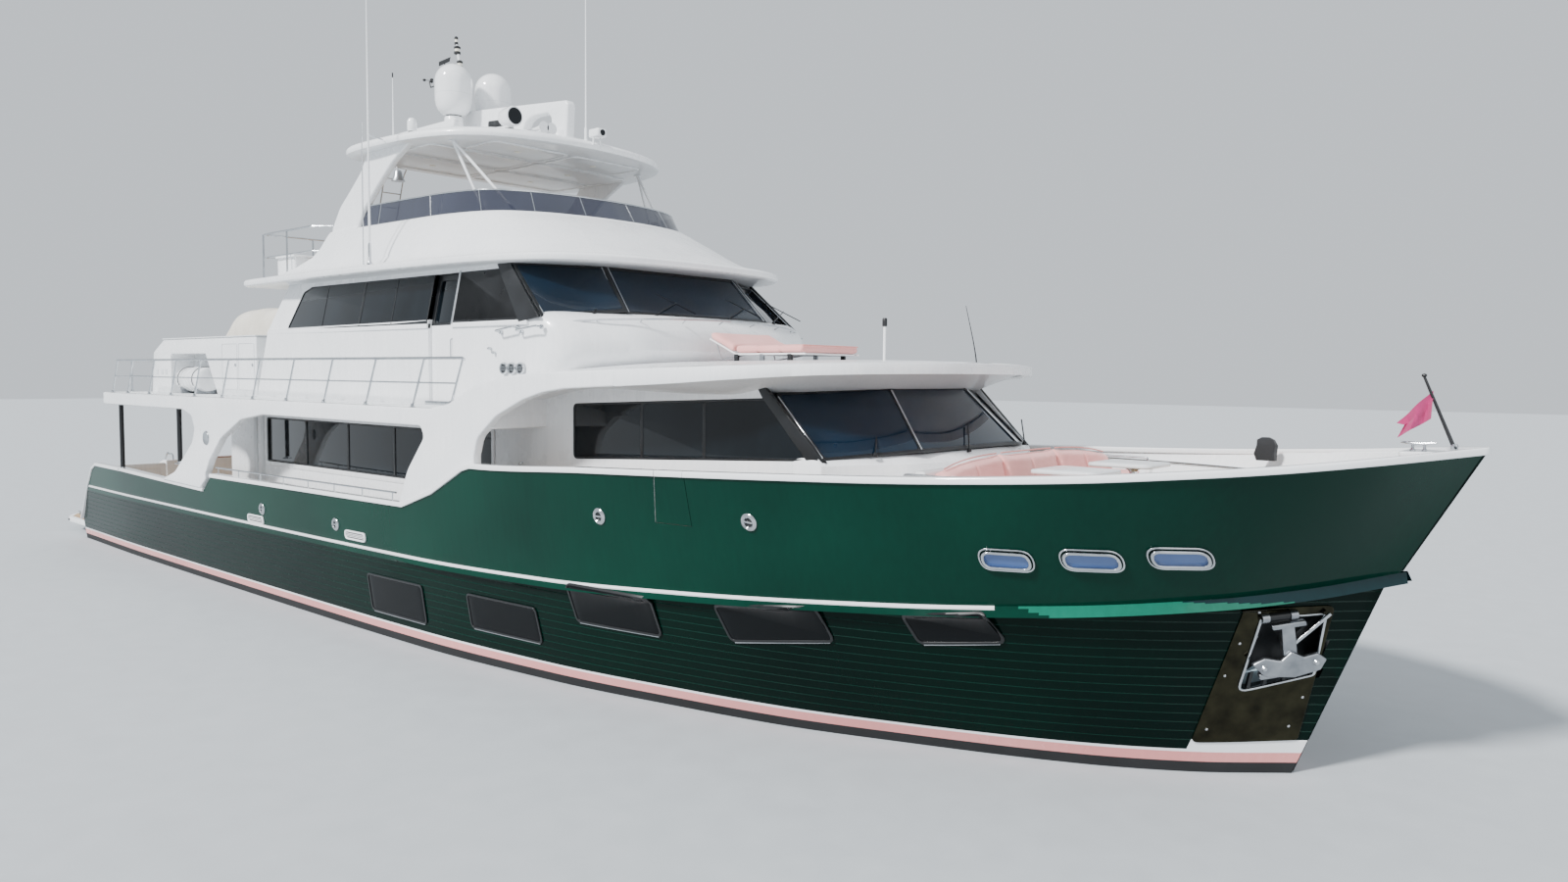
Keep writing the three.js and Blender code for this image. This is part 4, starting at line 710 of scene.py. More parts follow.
RAILS = [
    [
        (-12.4, 0, -0.62), (-8, 0, -1.12), (-4, 0, -1.38), (4, 0, -1.45), (9, 0, -1.3), (12, 0, -1.0),
        (12.9, 0, -0.85)
    ],
    [
        (-12.4, 1.7, -0.47), (-8, 1.8, -0.9), (0, 1.8, -1.18), (4, 1.6, -1.2), (8, 1.02, -1.1),
        (11, 0.42, -0.9), (13.05, 0.03, -0.7)
    ],
    [
        (-12.4, 2.95, -0.18), (-6, 3.06, -0.43), (0, 3.06, -0.56), (4, 2.82, -0.56), (8, 2.08, -0.52),
        (10.5, 1.29, -0.48), (12.5, 0.43, -0.43), (13.35, 0.03, -0.4)
    ],
    [
        (-12.4, 3.15, 0), (-8, 3.27, 0), (0, 3.31, 0), (2.6, 3.28, 0), (5.4, 3.06, 0), (7.5, 2.69, 0),
        (8.85, 2.38, 0), (10, 1.99, 0), (11.9, 1.23, 0), (12.84, 0.68, 0), (13.62, 0.03, 0)
    ]
]
TOP_EDGE = [
    (-12.39, 0.48), (-12.1, 0.76), (-11.6, 1.34), (-11.2, 1.72), (-10.9, 1.83), (-9, 1.83), (-4.55, 1.75),
    (-4.15, 2.04), (2.6, 2.08), (3.4, 2.33), (4.2, 2.7), (4.4, 2.75),
]
FLANGE_AFT_X = 2.78
FLANGE_DEEP = 0.1
BOOT = (0.12, 0.23, 0.26)
PLANK = 0.1
GROOVE, GROOVE_DEEP = 0.006, 0.005
FIRST_PLANK_Z, LAST_PLANK_Z = 0.37, 2.1
COLUMNS = 260
BOTTOM_ROWS = 22
FLANGE_ROWS = 9
FLANGE_LOOKS = [str(n) for n in range(FLANGE_ROWS)]
WHITE_STEM_X = 12.85


def top_edge(x):
    if x <= RAISED_DECK_X:
        return float(np.interp(x, *zip(*TOP_EDGE)))
    return float(ease([(a, c) for a, _, c in SHEER], x))


def rail(rows, share, inset=0.0):
    """Points of a rail at shares of the way from the transom to its stem."""
    stem = rows[-1][0] - 1.6 * inset
    x = TRANSOM_X + (stem - TRANSOM_X) * share
    at = x + 1.6 * inset * share
    across = ease([(a, b) for a, b, _ in rows], at)
    least = 0.0 if rows[0][1] == 0 else 0.012
    return np.stack([x, -np.maximum(across - inset, least), ease([(a, c) for a, _, c in rows], at)], -1)


def fade_in(x):
    t = np.clip((x - (FLANGE_AFT_X - 0.9)) / 1.5, 0, 1)
    return t * t * (3 - 2 * t)


def flange(share, inset=0.0):
    """The three lines of the knuckle: under the flange, its lip and its upper edge."""
    upper = rail(KNUCKLE, share, inset)
    fade = fade_in(upper[..., 0])
    under, lip = upper.copy(), upper.copy()
    under[..., 0] -= 0.17 * share**6 * fade
    under[..., 1] = np.minimum(upper[..., 1] + 0.03 * fade, -0.02)
    under[..., 2] -= 0.125
    lip[..., 0] += 0.03 * fade * share
    lip[..., 1] -= 0.06 * fade
    lip[..., 2] -= FLANGE_DEEP
    return under, lip, upper


def station(share, inset=0.0):
    """A hull section from the centreline to the sheer, as a smooth line of points."""
    under, lip, upper = flange(share, inset)
    low = [rail(rows, share, inset) for rows in RAILS]
    body = curve_through(np.stack(low + [under]), 6)[: 6 * (len(low) - 1) + 1]
    return np.concatenate([body, [under, lip, upper, rail(SHEER, share, inset)]])


def at_height(line, z):
    """The point of a section line at a height."""
    heights = np.maximum.accumulate(line[:, 2])
    return np.array([np.interp(z, heights, line[:, 0]), np.interp(z, heights, line[:, 1]), z])


def hull_shares():
    """Shares of the length: even and dense, closer at the bow, with one at each corner of the top edge."""
    even = 1 - (1 - np.linspace(0, 1, COLUMNS + 1)) ** 1.15
    corners = [(x - TRANSOM_X) / (SHEER[-1][0] - TRANSOM_X) for x, _ in TOP_EDGE[1:]]
    corners += [(x - TRANSOM_X) / (KNUCKLE[-1][0] - 0.25 - TRANSOM_X) for x in (-4.55, -4.15)]
    return np.unique(np.concatenate([even, corners]))


SHARES = hull_shares()
OUTER = [station(share) for share in SHARES]


def trimmed(line, z):
    """The height, kept below the top edge where the section meets it."""
    for _ in range(12):
        edge = float(top_edge(at_height(line, z)[0]))
        if edge >= z:
            return z
        z = edge
    return z


def edge_height(line):
    z = 2.0
    for _ in range(8):
        z = top_edge(at_height(line, min(z, line[-1, 2]))[0])
    return min(z, line[-1, 2])


def lower_hull():
    """The hull below the knuckle: bottom, boot stripe and planked topsides."""
    heights = [*BOOT]
    z = FIRST_PLANK_Z
    while z < LAST_PLANK_Z:
        heights += [z - GROOVE, z, z + GROOVE]
        z += PLANK
    columns = []
    for line in OUTER:
        under, lip, upper = line[-4], line[-3], line[-2]
        low = line[np.linspace(0, len(line) - 5, BOTTOM_ROWS).round().astype(int)]
        column = [np.array([p[0], p[1], min(p[2], trimmed(line, p[2]))]) for p in low]
        for n, level in enumerate(heights):
            groove = n >= len(BOOT) and (n - len(BOOT)) % 3 == 1  # the middle of three lines
            level = min(level, under[2])
            point = at_height(line, trimmed(line, level))
            if groove and level < under[2] - 0.02:
                point[1] += GROOVE_DEEP
            column.append(point)
        for end in (
            under, lip, *(lip + (upper - lip) * n / FLANGE_ROWS for n in range(1, FLANGE_ROWS)), upper
        ):
            column.append(
                end if trimmed(line, end[2]) >= end[2] - 1e-6 else at_height(line, trimmed(line, end[2]))
            )
        columns.append(column)
    rows = np.array(columns).transpose(1, 0, 2)
    bands = ["antifoul"] * (BOTTOM_ROWS - 1) + ["antifoul", "stripe", "cap"]
    # Planks take the darker green of painted shade; the groove faces take a paler green, a painted highlight
    # along each seam
    planks = ["seam_green" if n % 3 else "deep_green" for n in range(len(heights) - 3)]
    return rows, [*bands, *planks, "deep_green", "green", *FLANGE_LOOKS]


def within(corners, x, z):
    """True if a point is inside a convex outline that turns to the left."""
    ahead = corners[1:] + corners[:1]
    return all((b[0] - a[0]) * (z - a[1]) > (b[1] - a[1]) * (x - a[0]) for a, b in zip(corners, ahead))


# The hull plating ends a little outside the anchor pocket's mouth, under the plate.
POCKET_HOLE = [(13.21, 0.88), (13.87, 1.07), (14.0, 1.8), (13.46, 1.77)]


def lower_look(look, x, band):
    """The finish of a band at a station: white over a thinner stripe by the stem; on the flange, light green
    as a painted sky highlight, then dark teal by the stem as a painted reflection.
    """
    if look in FLANGE_LOOKS:
        # Aft of start the flange is plain green, then painted light green (sky highlight), then past end dark
        # teal (painted reflection)
        start, end = 12.0 - 0.04 * int(look), 13.8 - 0.1 * int(look)
        return "green" if x < start else "knuckle" if x < end else "teal"
    if x > WHITE_STEM_X and band in (2, 3):
        return "cap"
    return look


def hull_piece():
    rows, bands = lower_hull()
    piece = Piece("hull_lower")
    for r, look in enumerate(bands):
        if np.allclose(rows[r], rows[r + 1]):
            continue
        points, faces = sheet(rows[r : r + 2])
        kept, looks = [], []
        for face in faces:
            middle = points[list(face)].mean(0)
            if not within(POCKET_HOLE, middle[0], middle[2]):
                kept.append(face)
                looks.append(lower_look(look, middle[0], r - BOTTOM_ROWS))
        if kept:
            piece.add((points, kept), looks, both=True)
    stern = rows[:, 0]
    ends = np.concatenate([stern, (stern * (1, -1, 1))[::-1]])
    # The flat stern end, in the darker green of painted shade
    piece.add(welded(ends, [tuple(range(len(ends)))]), "deep_green")
    return piece


hull_piece().done("yacht", "gelcoat_green", "hull", "keel", crease=60)


def plain_bottom():
    """Keel, stern tubes and shaft struts."""
    piece = Piece("keel_and_struts")
    keel = [(-7.6, -0.9), (-8.1, -1.85), (7.6, -1.85), (10.6, -1.63), (12.0, -0.9)]
    piece.add(side_plate([rounded(keel, (0, 0.1, 0.3, 0.3, 0))], -0.09, 0.09, 0.02), "antifoul")
    slope = 0.48 / 4.3
    for x0, x1, r in ((-7.7, -6.3, 0.09), (-9.43, -9.17, 0.095)):
        line = [(x, -1.35, -1.33 + (x + 9.9) * slope) for x in np.linspace(x0, x1, 5)]
        piece.bar(line, [r * 0.85, r, r, r, r * 0.85], 20, "bronze", both=True)
    z = -1.33 + 0.6 * slope
    strut = [(-9.39, z + 0.06), (-9.21, z + 0.06), (-9.18, -0.62), (-9.42, -0.62)]
    piece.add(side_plate([strut], -1.368, -1.332, 0.012), "bronze", both=True)
    piece.done("yacht", "gelcoat_green")


plain_bottom()


def topsides_ring(line, inner):
    """A closed ring through the topsides above the knuckle: outer skin, top and inner face."""
    edge = edge_height(line)
    foot = min(line[-2][2], edge)
    outer = [at_height(line, z) for z in np.linspace(foot, edge, 9)]
    x = outer[-1][0]
    deck = PLATFORM_Z - 0.02
    if x > STERN_WELL_X:
        deck = (FOREDECK_Z if x > RAISED_DECK_X else MAIN_DECK_Z) - 0.05
    return outer + [at_height(inner, z) for z in np.linspace(edge, min(deck, edge), 7)]


def topsides():
    return loft([topsides_ring(line, station(share, WALL)) for share, line in zip(SHARES[:-1], OUTER[:-1])])


def hull_skin_tree():
    """The outer topsides and lower hull as one surface, to set fittings on it."""
    points, faces = sheet(
        np.array([[at_height(line, z) for z in np.linspace(-0.3, line[-1, 2], 40)] for line in OUTER])
    )
    return BVHTree.FromPolygons([tuple(p) for p in points], faces)


SKIN = hull_skin_tree()


def on_hull(x, z, proud=0.0):
    """The place on the starboard side at x and z, and the way out from it."""
    hit, normal, _, _ = SKIN.ray_cast(Vector((x, -8, z)), Vector((0, 1, 0)))
    if normal.y > 0:
        normal = -normal
    return np.array(hit + normal * proud), np.array(normal)


GATE = {"fore": 8.3, "aft": 7.86, "face": -3.505, "mitre": 0.8, "sill": 2.34}


def gate_prism(clear, inner, outer):
    free = [GATE["aft"] - GATE["mitre"] * (y - GATE["face"]) - 1.4 * clear for y in (inner, outer)]
    hung = GATE["fore"] + clear
    plan = [(hung, outer), (hung, inner), (free[0], inner), (free[1], outer)]
    return loft([[(x, y, z) for x, y in plan] for z in (GATE["sill"] - clear, 4.0)])


def sheer_half(x, z):
    """The topsides' half-breadth at x and height z."""
    low = ease([(a, b) for a, b, _ in KNUCKLE], min(x, 14.5))
    high = ease([(a, b) for a, b, _ in SHEER], x)
    low_z = ease([(a, c) for a, _, c in KNUCKLE], x)
    high_z = ease([(a, c) for a, _, c in SHEER], x)
    return float(low + (high - low) * (z - low_z) / (high_z - low_z))


def cap_rail(rows):
    """A rounded white moulding along the top edge."""
    profile = rounded(
        [(-0.028, -0.012), (-0.028, 0.058), (0.165, 0.058), (0.165, -0.012)], (0.012, 0.03, 0.03, 0.012), 4
    )
    rings = []
    for x, z in rows:
        outer = max(sheer_half(x, z), 0.012)
        rings.append([(x, -max(outer - a, 0.0005), z + b) for a, b in profile])
    return loft(rings)


def cap_rows(points, step=0.12):
    xs = np.array([x for x, _ in points])
    dense = np.unique(np.concatenate([np.arange(xs[0], xs[-1], step), xs]))
    return [(x, float(top_edge(x))) for x in dense]


def bulwarks():
    """Topsides with cap rails, the boarding gates cut out of them, and the gates themselves."""
    skin = topsides()
    aft = cap_rail(cap_rows(TOP_EDGE[:7]))
    fore = cap_rail(cap_rows(TOP_EDGE[7:] + [(15.19, 3.35)]))
    hole, leaf = gate_prism(0.006, -2.9, -3.99), gate_prism(0, -3.0, -3.9)
    cut, kept = less(skin, hole), boolean(skin, leaf, "INTERSECT")
    cap_cut, cap_kept = less(fore, hole), boolean(fore, leaf, "INTERSECT")
    looks = topside_looks(cut), topside_looks(kept)
    for side, flip in SIDES:
        piece = Piece("topsides_" + side)
        piece.add(cut, looks[0]).add(aft, "cap").add(cap_cut, "cap")
        piece.done("yacht", "gelcoat_green", "bulwark_" + side, crease=40, flip=flip)
        gate = Piece("boarding_gate_leaf_" + side)
        gate.add(kept, looks[1]).add(cap_kept, "cap")
        gate.done("boarding_gate_" + side, "gelcoat_green", "boarding_gate_" + side, crease=40, flip=flip)


def topside_looks(shape):
    """Green outside, white within, and the darker green of painted shade where a cut runs through."""
    points, faces = shape
    depths, facings, places = [], [], []
    for face in faces:
        ring = points[list(face)]
        middle = ring.mean(0)
        normal = np.cross(ring - middle, np.roll(ring, -1, 0) - middle).sum(0)
        x = min(max(middle[0], -12.3), 15.0)
        hit, out = on_hull(x, min(middle[2], top_edge(x) - 0.01))
        depths.append((middle - hit) @ out)
        facings.append(normal @ out / max(np.linalg.norm(normal), 1e-12))
        places.append(x)
    outward = np.sign(sum(f for f, d in zip(facings, depths) if d > -0.003))
    looks = []
    for x, depth, facing in zip(places, depths, facings):
        outside = facing * outward > 0 if x > 14.75 else depth > -0.03
        # Faces across the skin, as in a cut, take the darker green: painted shade
        looks.append("deep_green" if abs(facing) < 0.5 and x > -12 else "green" if outside else "white")
    return looks


bulwarks()


def moulding(path, profile, heights=None):
    """A solid along a level path: profile points are (inward, up); heights stretch the up part."""
    p = np.asarray(path, float)
    ahead = np.roll(p, -1, 0) - np.roll(p, 1, 0)
    ahead[0], ahead[-1] = p[1] - p[0], p[-1] - p[-2]
    inward = np.stack([-ahead[:, 1], ahead[:, 0]], 1)
    inward /= np.linalg.norm(inward, axis=1)[:, None]
    tall = np.ones(len(p)) if heights is None else np.asarray(heights, float)
    rings = [
        [(x + n[0] * a, y + n[1] * a, z + b * h) for a, b in profile]
        for (x, y, z), n, h in zip(p, inward, tall)
    ]
    return loft(rings)


def whole_plan(half, steps=10, corner=0.0):
    """A closed plan from a starboard half, aft to forward, given as (x, half-breadth)."""
    half = [(x, -y) for x, y in half]
    line = rounded(half, corner, steps, closed=False) if corner else curve_through(half, steps)
    other = line[::-1] * (1, -1)
    if abs(line[-1][1]) < 1e-6:
        other = other[1:]
    return np.concatenate([line, other])


def inset(plan, distance):
    """A closed plan drawn in along its normals."""
    ahead = np.roll(plan, -1, 0) - np.roll(plan, 1, 0)
    normal = np.stack([-ahead[:, 1], ahead[:, 0]], 1)
    normal /= np.maximum(np.linalg.norm(normal, axis=1), 1e-9)[:, None]
    return plan + normal * distance


def shrunk(plan, share):
    """A plan drawn in towards its middle."""
    middle = (plan.max(0) + plan.min(0)) / 2
    return middle + (plan - middle) * share


def levels(rings):
    """A closed solid through (plan, height) rings of like point count."""
    return loft([np.column_stack([plan, np.full(len(plan), z)]) for plan, z in rings])


def split_at(shape, height, below, above):
    """A finish for each face, by the height of its middle."""
    points, faces = shape
    return [below if points[list(face)].mean(0)[2] < height else above for face in faces]


# Side mouldings: boat-deck edge, pillars and the forward brow are one flush surface
EDGE_TOP = [
    (-9.6, 3.5), (3.35, 3.5), (3.8, 3.57), (4.27, 3.77), (4.66, 3.88), (5.05, 3.95), (5.76, 4.01),
    (6.47, 4.03), (7.0, 4.05)
]
BROW_HALF = [
    (3.4, BOAT_DECK_HALF), (4.62, BOAT_DECK_HALF), (6.0, 3.47), (7.0, 3.35), (7.8, 3.2), (8.5, 2.98),
    (9.05, 2.63), (9.45, 2.14), (9.72, 1.5), (9.9, 0.78), (9.95, 0)
]
BROW_TOP = [
    (3.4, 3.5), (4.6, 3.86), (5.05, 3.95), (6.0, 4.02), (7.0, 4.05), (8.6, 4.1), (9.3, 4.13), (9.95, 4.16)
]
BROW_LIP = [
    (3.4, 3.3), (5.6, 3.76), (6.17, 3.81), (7.0, 3.85), (7.6, 3.88), (8.6, 3.95), (9.3, 4.0), (9.95, 4.03)
]
BROW_CROWN = [
    (3.3, 0), (3.9, 0.06), (4.6, 0.15), (5.4, 0.185), (7.0, 0.16), (8.6, 0.115), (9.5, 0.06), (9.95, 0.02)
]
AFT_ARCH = [
    (-9.6, 3.25), (-5.35, 3.25), (-4.93, 3.14), (-4.79, 2.9), (-4.92, 2.64), (-5.8, 2.03), (-6.47, 1.84)
]
AFT_FOOT = [(-4.6, 1.8), (-4.34, 1.99), (-4.34, 2.1)]
MID_ARCH = [
    (-4.15, 2.34), (-3.61, 2.78), (-2.76, 3.14), (-1.9, 3.25), (3.1, 3.25), (3.19, 3.1), (2.74, 2.61),
    (2.49, 2.1)
]
MID_FOOT = [(2.65, 2.12), (3.38, 2.37), (4.18, 2.75), (4.4, 2.79)]
FORE_ARCH = [(4.4, 2.9), (4.48, 3.14), (4.9, 3.44), (5.43, 3.66), (5.8, 3.76), (6.17, 3.81), (7.0, 3.85)]
PORT_LIGHT = (-4.25, 2.75)


def side_moulding():
    arcs = [
        rounded(AFT_ARCH, (0, 0.12, 0.1, 0.1, 0.3, 0.6, 0), 5, closed=False),
        AFT_FOOT,
        rounded(MID_ARCH, (0.6, 0.6, 0.6, 0.3, 0.1, 0.1, 0.8, 0), 5, closed=False),
        MID_FOOT,
        rounded(FORE_ARCH, (0.1, 0.3, 0.5, 0.5, 0.3, 0.3, 0), 5, closed=False),
        rounded(EDGE_TOP[::-1], (0, 0.3, 0.3, 0.3, 0.3, 0.4, 0.4, 0.4, 0), 5, closed=False),
    ]
    outline = np.concatenate([np.asarray(arc, float) for arc in arcs])
    hole = circle(PORT_LIGHT, 0.1)[::-1]
    points, faces = side_plate([outline, hole], -BOAT_DECK_HALF, -3.42, 0.022)
    points, faces = sliced((points, faces), 0, np.arange(3.6, 7.0, 0.15))
    points[:, 1] += np.where(points[:, 0] > 3.4, BOAT_DECK_HALF - ease(BROW_HALF, points[:, 0]), 0)
    return points, faces


def brow():
    """The forward edge of the roof, with a drip lip, round the front."""
    half = np.array([(x, -y) for x, y in BROW_HALF])
    line = curve_through(half, 12)
    line = line[line[:, 0] > 6.97]
    line[-1] = (9.95, 0)
    path = np.concatenate([line, line[::-1][1:] * (1, -1)])
    lip = ease(BROW_LIP, path[:, 0])
    path = np.column_stack([path, lip])
    profile = rounded([(0.0, 0.0), (0.0, 1.0), (0.13, 1.12), (0.13, 0.1)], (0.012, 0.05, 0.01, 0.01), 5)
    return moulding(path, profile, ease(BROW_TOP, path[:, 0]) - lip)


def roof():
    """The crowned forward roof within its edges, and its soffit."""
    rows_top, rows_low = [], []
    rim = curve_through(np.array([(x, -y) for x, y in BROW_HALF]), 12)
    for x in np.concatenate([np.linspace(3.35, 9.0, 40), np.linspace(9.1, 9.88, 14)]):
        half = float(ease(BROW_HALF, x)) - 0.11
        edge = float(ease(BROW_TOP, x)) - 0.012
        crown = float(ease(BROW_CROWN, x))
        across = np.linspace(-1, 1, 41)
        rows_top.append([(x, s * half, edge + crown * (1 - abs(s) ** 2.2)) for s in across])
        low = float(ease(BROW_LIP, x)) + 0.05
        fall = 0.2 * min(max((x - 5.5) / 2.5, 0), 1)
        gaps = [np.linalg.norm(rim - (x, -abs(s * half)), axis=1).min() for s in across]
        rows_low.append(
            [(x, s * half, low - fall * min(max(gap - 0.13, 0) / 0.6, 1)) for s, gap in zip(across, gaps)]
        )
    # The roof's underside, in the greyer white: painted shade
    soffit = [row for row in rows_low if row[0][0] > 4.3]
    return Piece("fore_roof_top").add(sheet(rows_top), "white").add(sheet(soffit), "soffit")


def upper_decks():
    plate = side_moulding()
    for side, flip in SIDES:
        piece = Piece("side_moulding_" + side)
        piece.add(plate, "white")
        at = (PORT_LIGHT[0], -BOAT_DECK_HALF, PORT_LIGHT[1])
        ring = [(0.1, -0.012), (0.13, -0.012), (0.136, 0.0), (0.122, 0.016), (0.1, 0.01)]
        piece.turn(ring, at, 40, OUTWARD)
        # The port light's dish, in pale blue-grey: painted shade
        piece.turn([(0.103, -0.03), (0.103, -0.01), (0.07, -0.002), (0.0, 0.0)], at, 40, OUTWARD, "recess")
        piece.done("yacht", "gelcoat_white", flip=flip)
    deck = rounded(
        [(BOAT_DECK_AFT_X, -3.545), (4.55, -3.545), (4.55, 3.545), (BOAT_DECK_AFT_X, 3.545)],
        (0.65, 0, 0, 0.65), 14
    )
    piece = Piece("boat_deck_slab")
    body = slab([deck], BOAT_SOFFIT_Z, BOAT_DECK_Z, 0.03)
    # The slab's underside, in the greyer white: painted shade
    piece.add(body, split_at(body, 3.251, "soffit", "white"))
    piece.add(slab([inset(deck, 0.2)], BOAT_DECK_Z, BOAT_DECK_Z + 0.004, 0.001), "nonskid")
    for x, foot in ((-9.15, 1.85), (-5.97, 2.16)):
        piece.turn([(0.1, 0), (0.1, 0.012), (0.05, 0.03), (0.045, 0.05)], (x, -3.38, foot), 24, both=True)
        piece.bar([(x, -3.38, foot), (x, -3.38, 3.26)], 0.045, 20, "gasket", both=True)
    for x in (-8.9, -7.5):
        piece.add(block(x, x + 0.25, 1.9, 2.9, 3.49, 3.6, 0.02), "white")
        piece.add(block(x + 0.02, x + 0.23, 1.94, 2.86, 3.595, 3.619, 0.01), "rubber")
    piece.done("yacht", "gelcoat_white", "boat_deck")
    piece = roof().add(brow(), "white").add(end_plate([rect(-3.5, 3.5, 3.27, 3.72)], 4.5, 4.68), "white")
    piece.done("yacht", "gelcoat_white", "fore_roof")


upper_decks()


# Deckhouses
def pane(outline, y0, y1, frame_wide, proud):
    """A window in a side wall: glass plate, and a rounded gasket round it."""
    ring = side_plate([outline, inset(outline, frame_wide)[::-1]], y0 - proud, y1, 0.005)
    return side_plate([outline], y0, y1, 0.003), ring


DECKHOUSE_HALF, FORE_HOUSE_X = 2.6, 4.41
FORE_TURN = math.atan2(DECKHOUSE_HALF - 2.33, 9.23 - FORE_HOUSE_X)


def fore_turned(shape):
    """Turned in plan with the raised deckhouse's side."""
    points, faces = shape
    x, y = points[:, 0] - FORE_HOUSE_X, points[:, 1] + DECKHOUSE_HALF
    c, s = math.cos(FORE_TURN), math.sin(FORE_TURN)
    return np.stack([FORE_HOUSE_X + x * c - y * s, x * s + y * c - DECKHOUSE_HALF, points[:, 2]], 1), faces


SALOON_WINDOW = rounded(rect(-3.9, 1.95, 2.3, 3.13), 0.06)
FORE_WINDOW = rounded([(5.22, 2.86), (9.14, 3.04), (8.49, 3.735), (5.22, 3.6)], (0.08, 0.04, 0.04, 0.08))
SIDE_DOOR = rounded(rect(2.65, 3.42, 1.18, 3.18), 0.08)


def deckhouse():
    saloon = side_plate(
        [rect(-5.5, 4.42, 1.15, 3.252), SALOON_WINDOW[::-1], SIDE_DOOR[::-1]], -2.6, -2.54, 0.006
    )
    fore_edge = [(x, float(ease(BROW_LIP, x)) + 0.06) for x in np.linspace(8.38, 4.41, 12)]
    fore_wall = [(4.41, 2.3), (9.36, 2.3), (9.34, 3.03), (8.46, 3.88), *fore_edge]
    fore = fore_turned(side_plate([fore_wall, FORE_WINDOW[::-1]], -2.6, -2.54, 0.004))
    for side, flip in SIDES:
        piece = Piece("deckhouse_wall_" + side)
        piece.add(saloon, "white").add(fore, "white")
        trim = side_plate(
            [rounded(rect(-3.98, 2.03, 2.22, 3.21), 0.09), SALOON_WINDOW[::-1]], -2.612, -2.595, 0.006
        )
        piece.add(trim, "white")
        for x0, x1 in ((-4.42, -4.3), (-4.12, -4.0)):
            piece.add(block(x0, x1, -2.625, -2.59, 1.2, 3.24, 0.01), "soffit")
        trim = side_plate(
            [rounded(rect(2.58, 3.49, 1.16, 3.23), 0.1), SIDE_DOOR[::-1]], -2.615, -2.595, 0.006
        )
        piece.add(trim, "white")
        piece.add(block(2.6, 3.47, -2.63, -2.5, 1.15, 1.185, 0.008), "steel")
        piece.done("yacht", "gelcoat_white", "deckhouse_side_" + side, flip=flip)
        piece = Piece("saloon_glazing_" + side)
        sheet_glass, ring = pane(SALOON_WINDOW, -2.575, -2.56, 0.03, 0.018)
        piece.add(sheet_glass, "glass").add(ring, "gasket")
        for x in (-2.35, -0.83, 0.68):
            piece.add(block(x - 0.03, x + 0.03, -2.588, -2.56, 2.31, 3.12, 0.006), "gasket")
        piece.done("yacht", "tinted_glass", "saloon_window_" + side, flip=flip)
        piece = Piece("saloon_door_leaf_" + side)
        leaf = rounded(rect(2.6, 3.47, 1.165, 3.2), 0.05)
        light = rounded(rect(2.74, 3.33, 1.5, 3.06), 0.06)
        piece.add(side_plate([leaf, light[::-1]], -2.534, -2.494, 0.006), "gasket")
        piece.add(side_plate([light], -2.52, -2.508, 0.002), "glass")
        piece.bar([(3.4, -2.537, 2.0), (3.4, -2.537, 2.35)], 0.012)
        piece.done("saloon_side_door_" + side, "tinted_glass", "saloon_side_door_" + side, flip=flip)
    aft_bulkhead()
    fore_front()


def aft_bulkhead():
    opening = rounded(rect(-1.15, 1.15, 1.12, 3.15), (0, 0, 0.08, 0.08))[::-1][:-2]
    foot = [(-2.54, 1.15), (-1.15, 1.15), *opening, (1.15, 1.15), (2.54, 1.15)]
    piece = Piece("saloon_aft_wall")
    piece.add(end_plate([[*foot, (2.54, 3.252), (-2.54, 3.252)]], -5.5, -5.44, 0.006), "white")
    for y in (-1.87, 1.87):
        port = rounded(rect(y - 0.42, y + 0.42, 2.2, 3.0), 0.1)
        piece.add(end_plate([port], -5.502, -5.49, 0.002), "glass")
        piece.add(end_plate([inset(port, -0.05), port[::-1]], -5.504, -5.49, 0.003), "gasket")
    piece.add(block(-5.6, -5.42, -1.2, 1.2, 1.15, 1.158, 0.003), "steel")
    piece.done("yacht", "gelcoat_white", "saloon_aft_bulkhead")
    for side, flip in SIDES:
        piece = Piece("saloon_aft_leaf_" + side)
        frame_line = rounded(rect(-1.21, -0.003, 1.16, 3.2), 0.02)
        light = rounded(rect(-1.12, -0.08, 1.28, 3.1), 0.03)
        piece.add(end_plate([frame_line, light[::-1]], -5.546, -5.506, 0.006), "gasket")
        piece.add(end_plate([light], -5.532, -5.52, 0.002), "glass")
        piece.bar([(-5.56, -0.12, 1.9), (-5.56, -0.12, 2.3)], 0.012)
        piece.done("saloon_aft_door_" + side, "tinted_glass", "saloon_aft_door_" + side, flip=flip)


def facet(corners, piece, margin):
    """A flat pane on four corners (low aft, low fore, high fore, high aft), in a dark frame."""
    low_a, low_b, high_b, high_a = (np.asarray(c, float) for c in corners)
    across = (low_b - low_a + high_b - high_a) / 2
    up = (high_a + high_b - low_a - low_b) / 2
    out = np.cross(across, up)
    out /= np.linalg.norm(out)
    u = across / np.linalg.norm(across)
    v = np.cross(out, u)
    outline = np.array([((c - low_a) @ u, (c - low_a) @ v) for c in (low_a, low_b, high_b, high_a)])
    inner = rounded(inset(outline, margin), 0.05, 4)

    def placed(shape, lift):
        p, f = shape
        return low_a + p[:, :1] * u + p[:, 1:2] * v + (p[:, 2:] + lift) * out, f

    piece.add(placed(filled([outline, inner[::-1]], 0.02, 0.003), -0.01), "gasket")
    piece.add(placed(filled([inner], 0.012, 0.002), -0.014), "front_glass")
    return u, out


def strip(a, b, width, proud, out, piece):
    """A bright half-round strip along a mullion."""
    a, b, out = (np.asarray(p, float) for p in (a, b, out))
    along = (b - a) / np.linalg.norm(b - a)
    side = np.cross(along, out)
    turn = np.linspace(0, math.pi, 7)
    ring = [side * math.cos(t) * width / 2 + out * math.sin(t) * proud for t in turn]
    piece.add(loft([[a + r for r in ring], [b + r for r in ring]]), "steel")


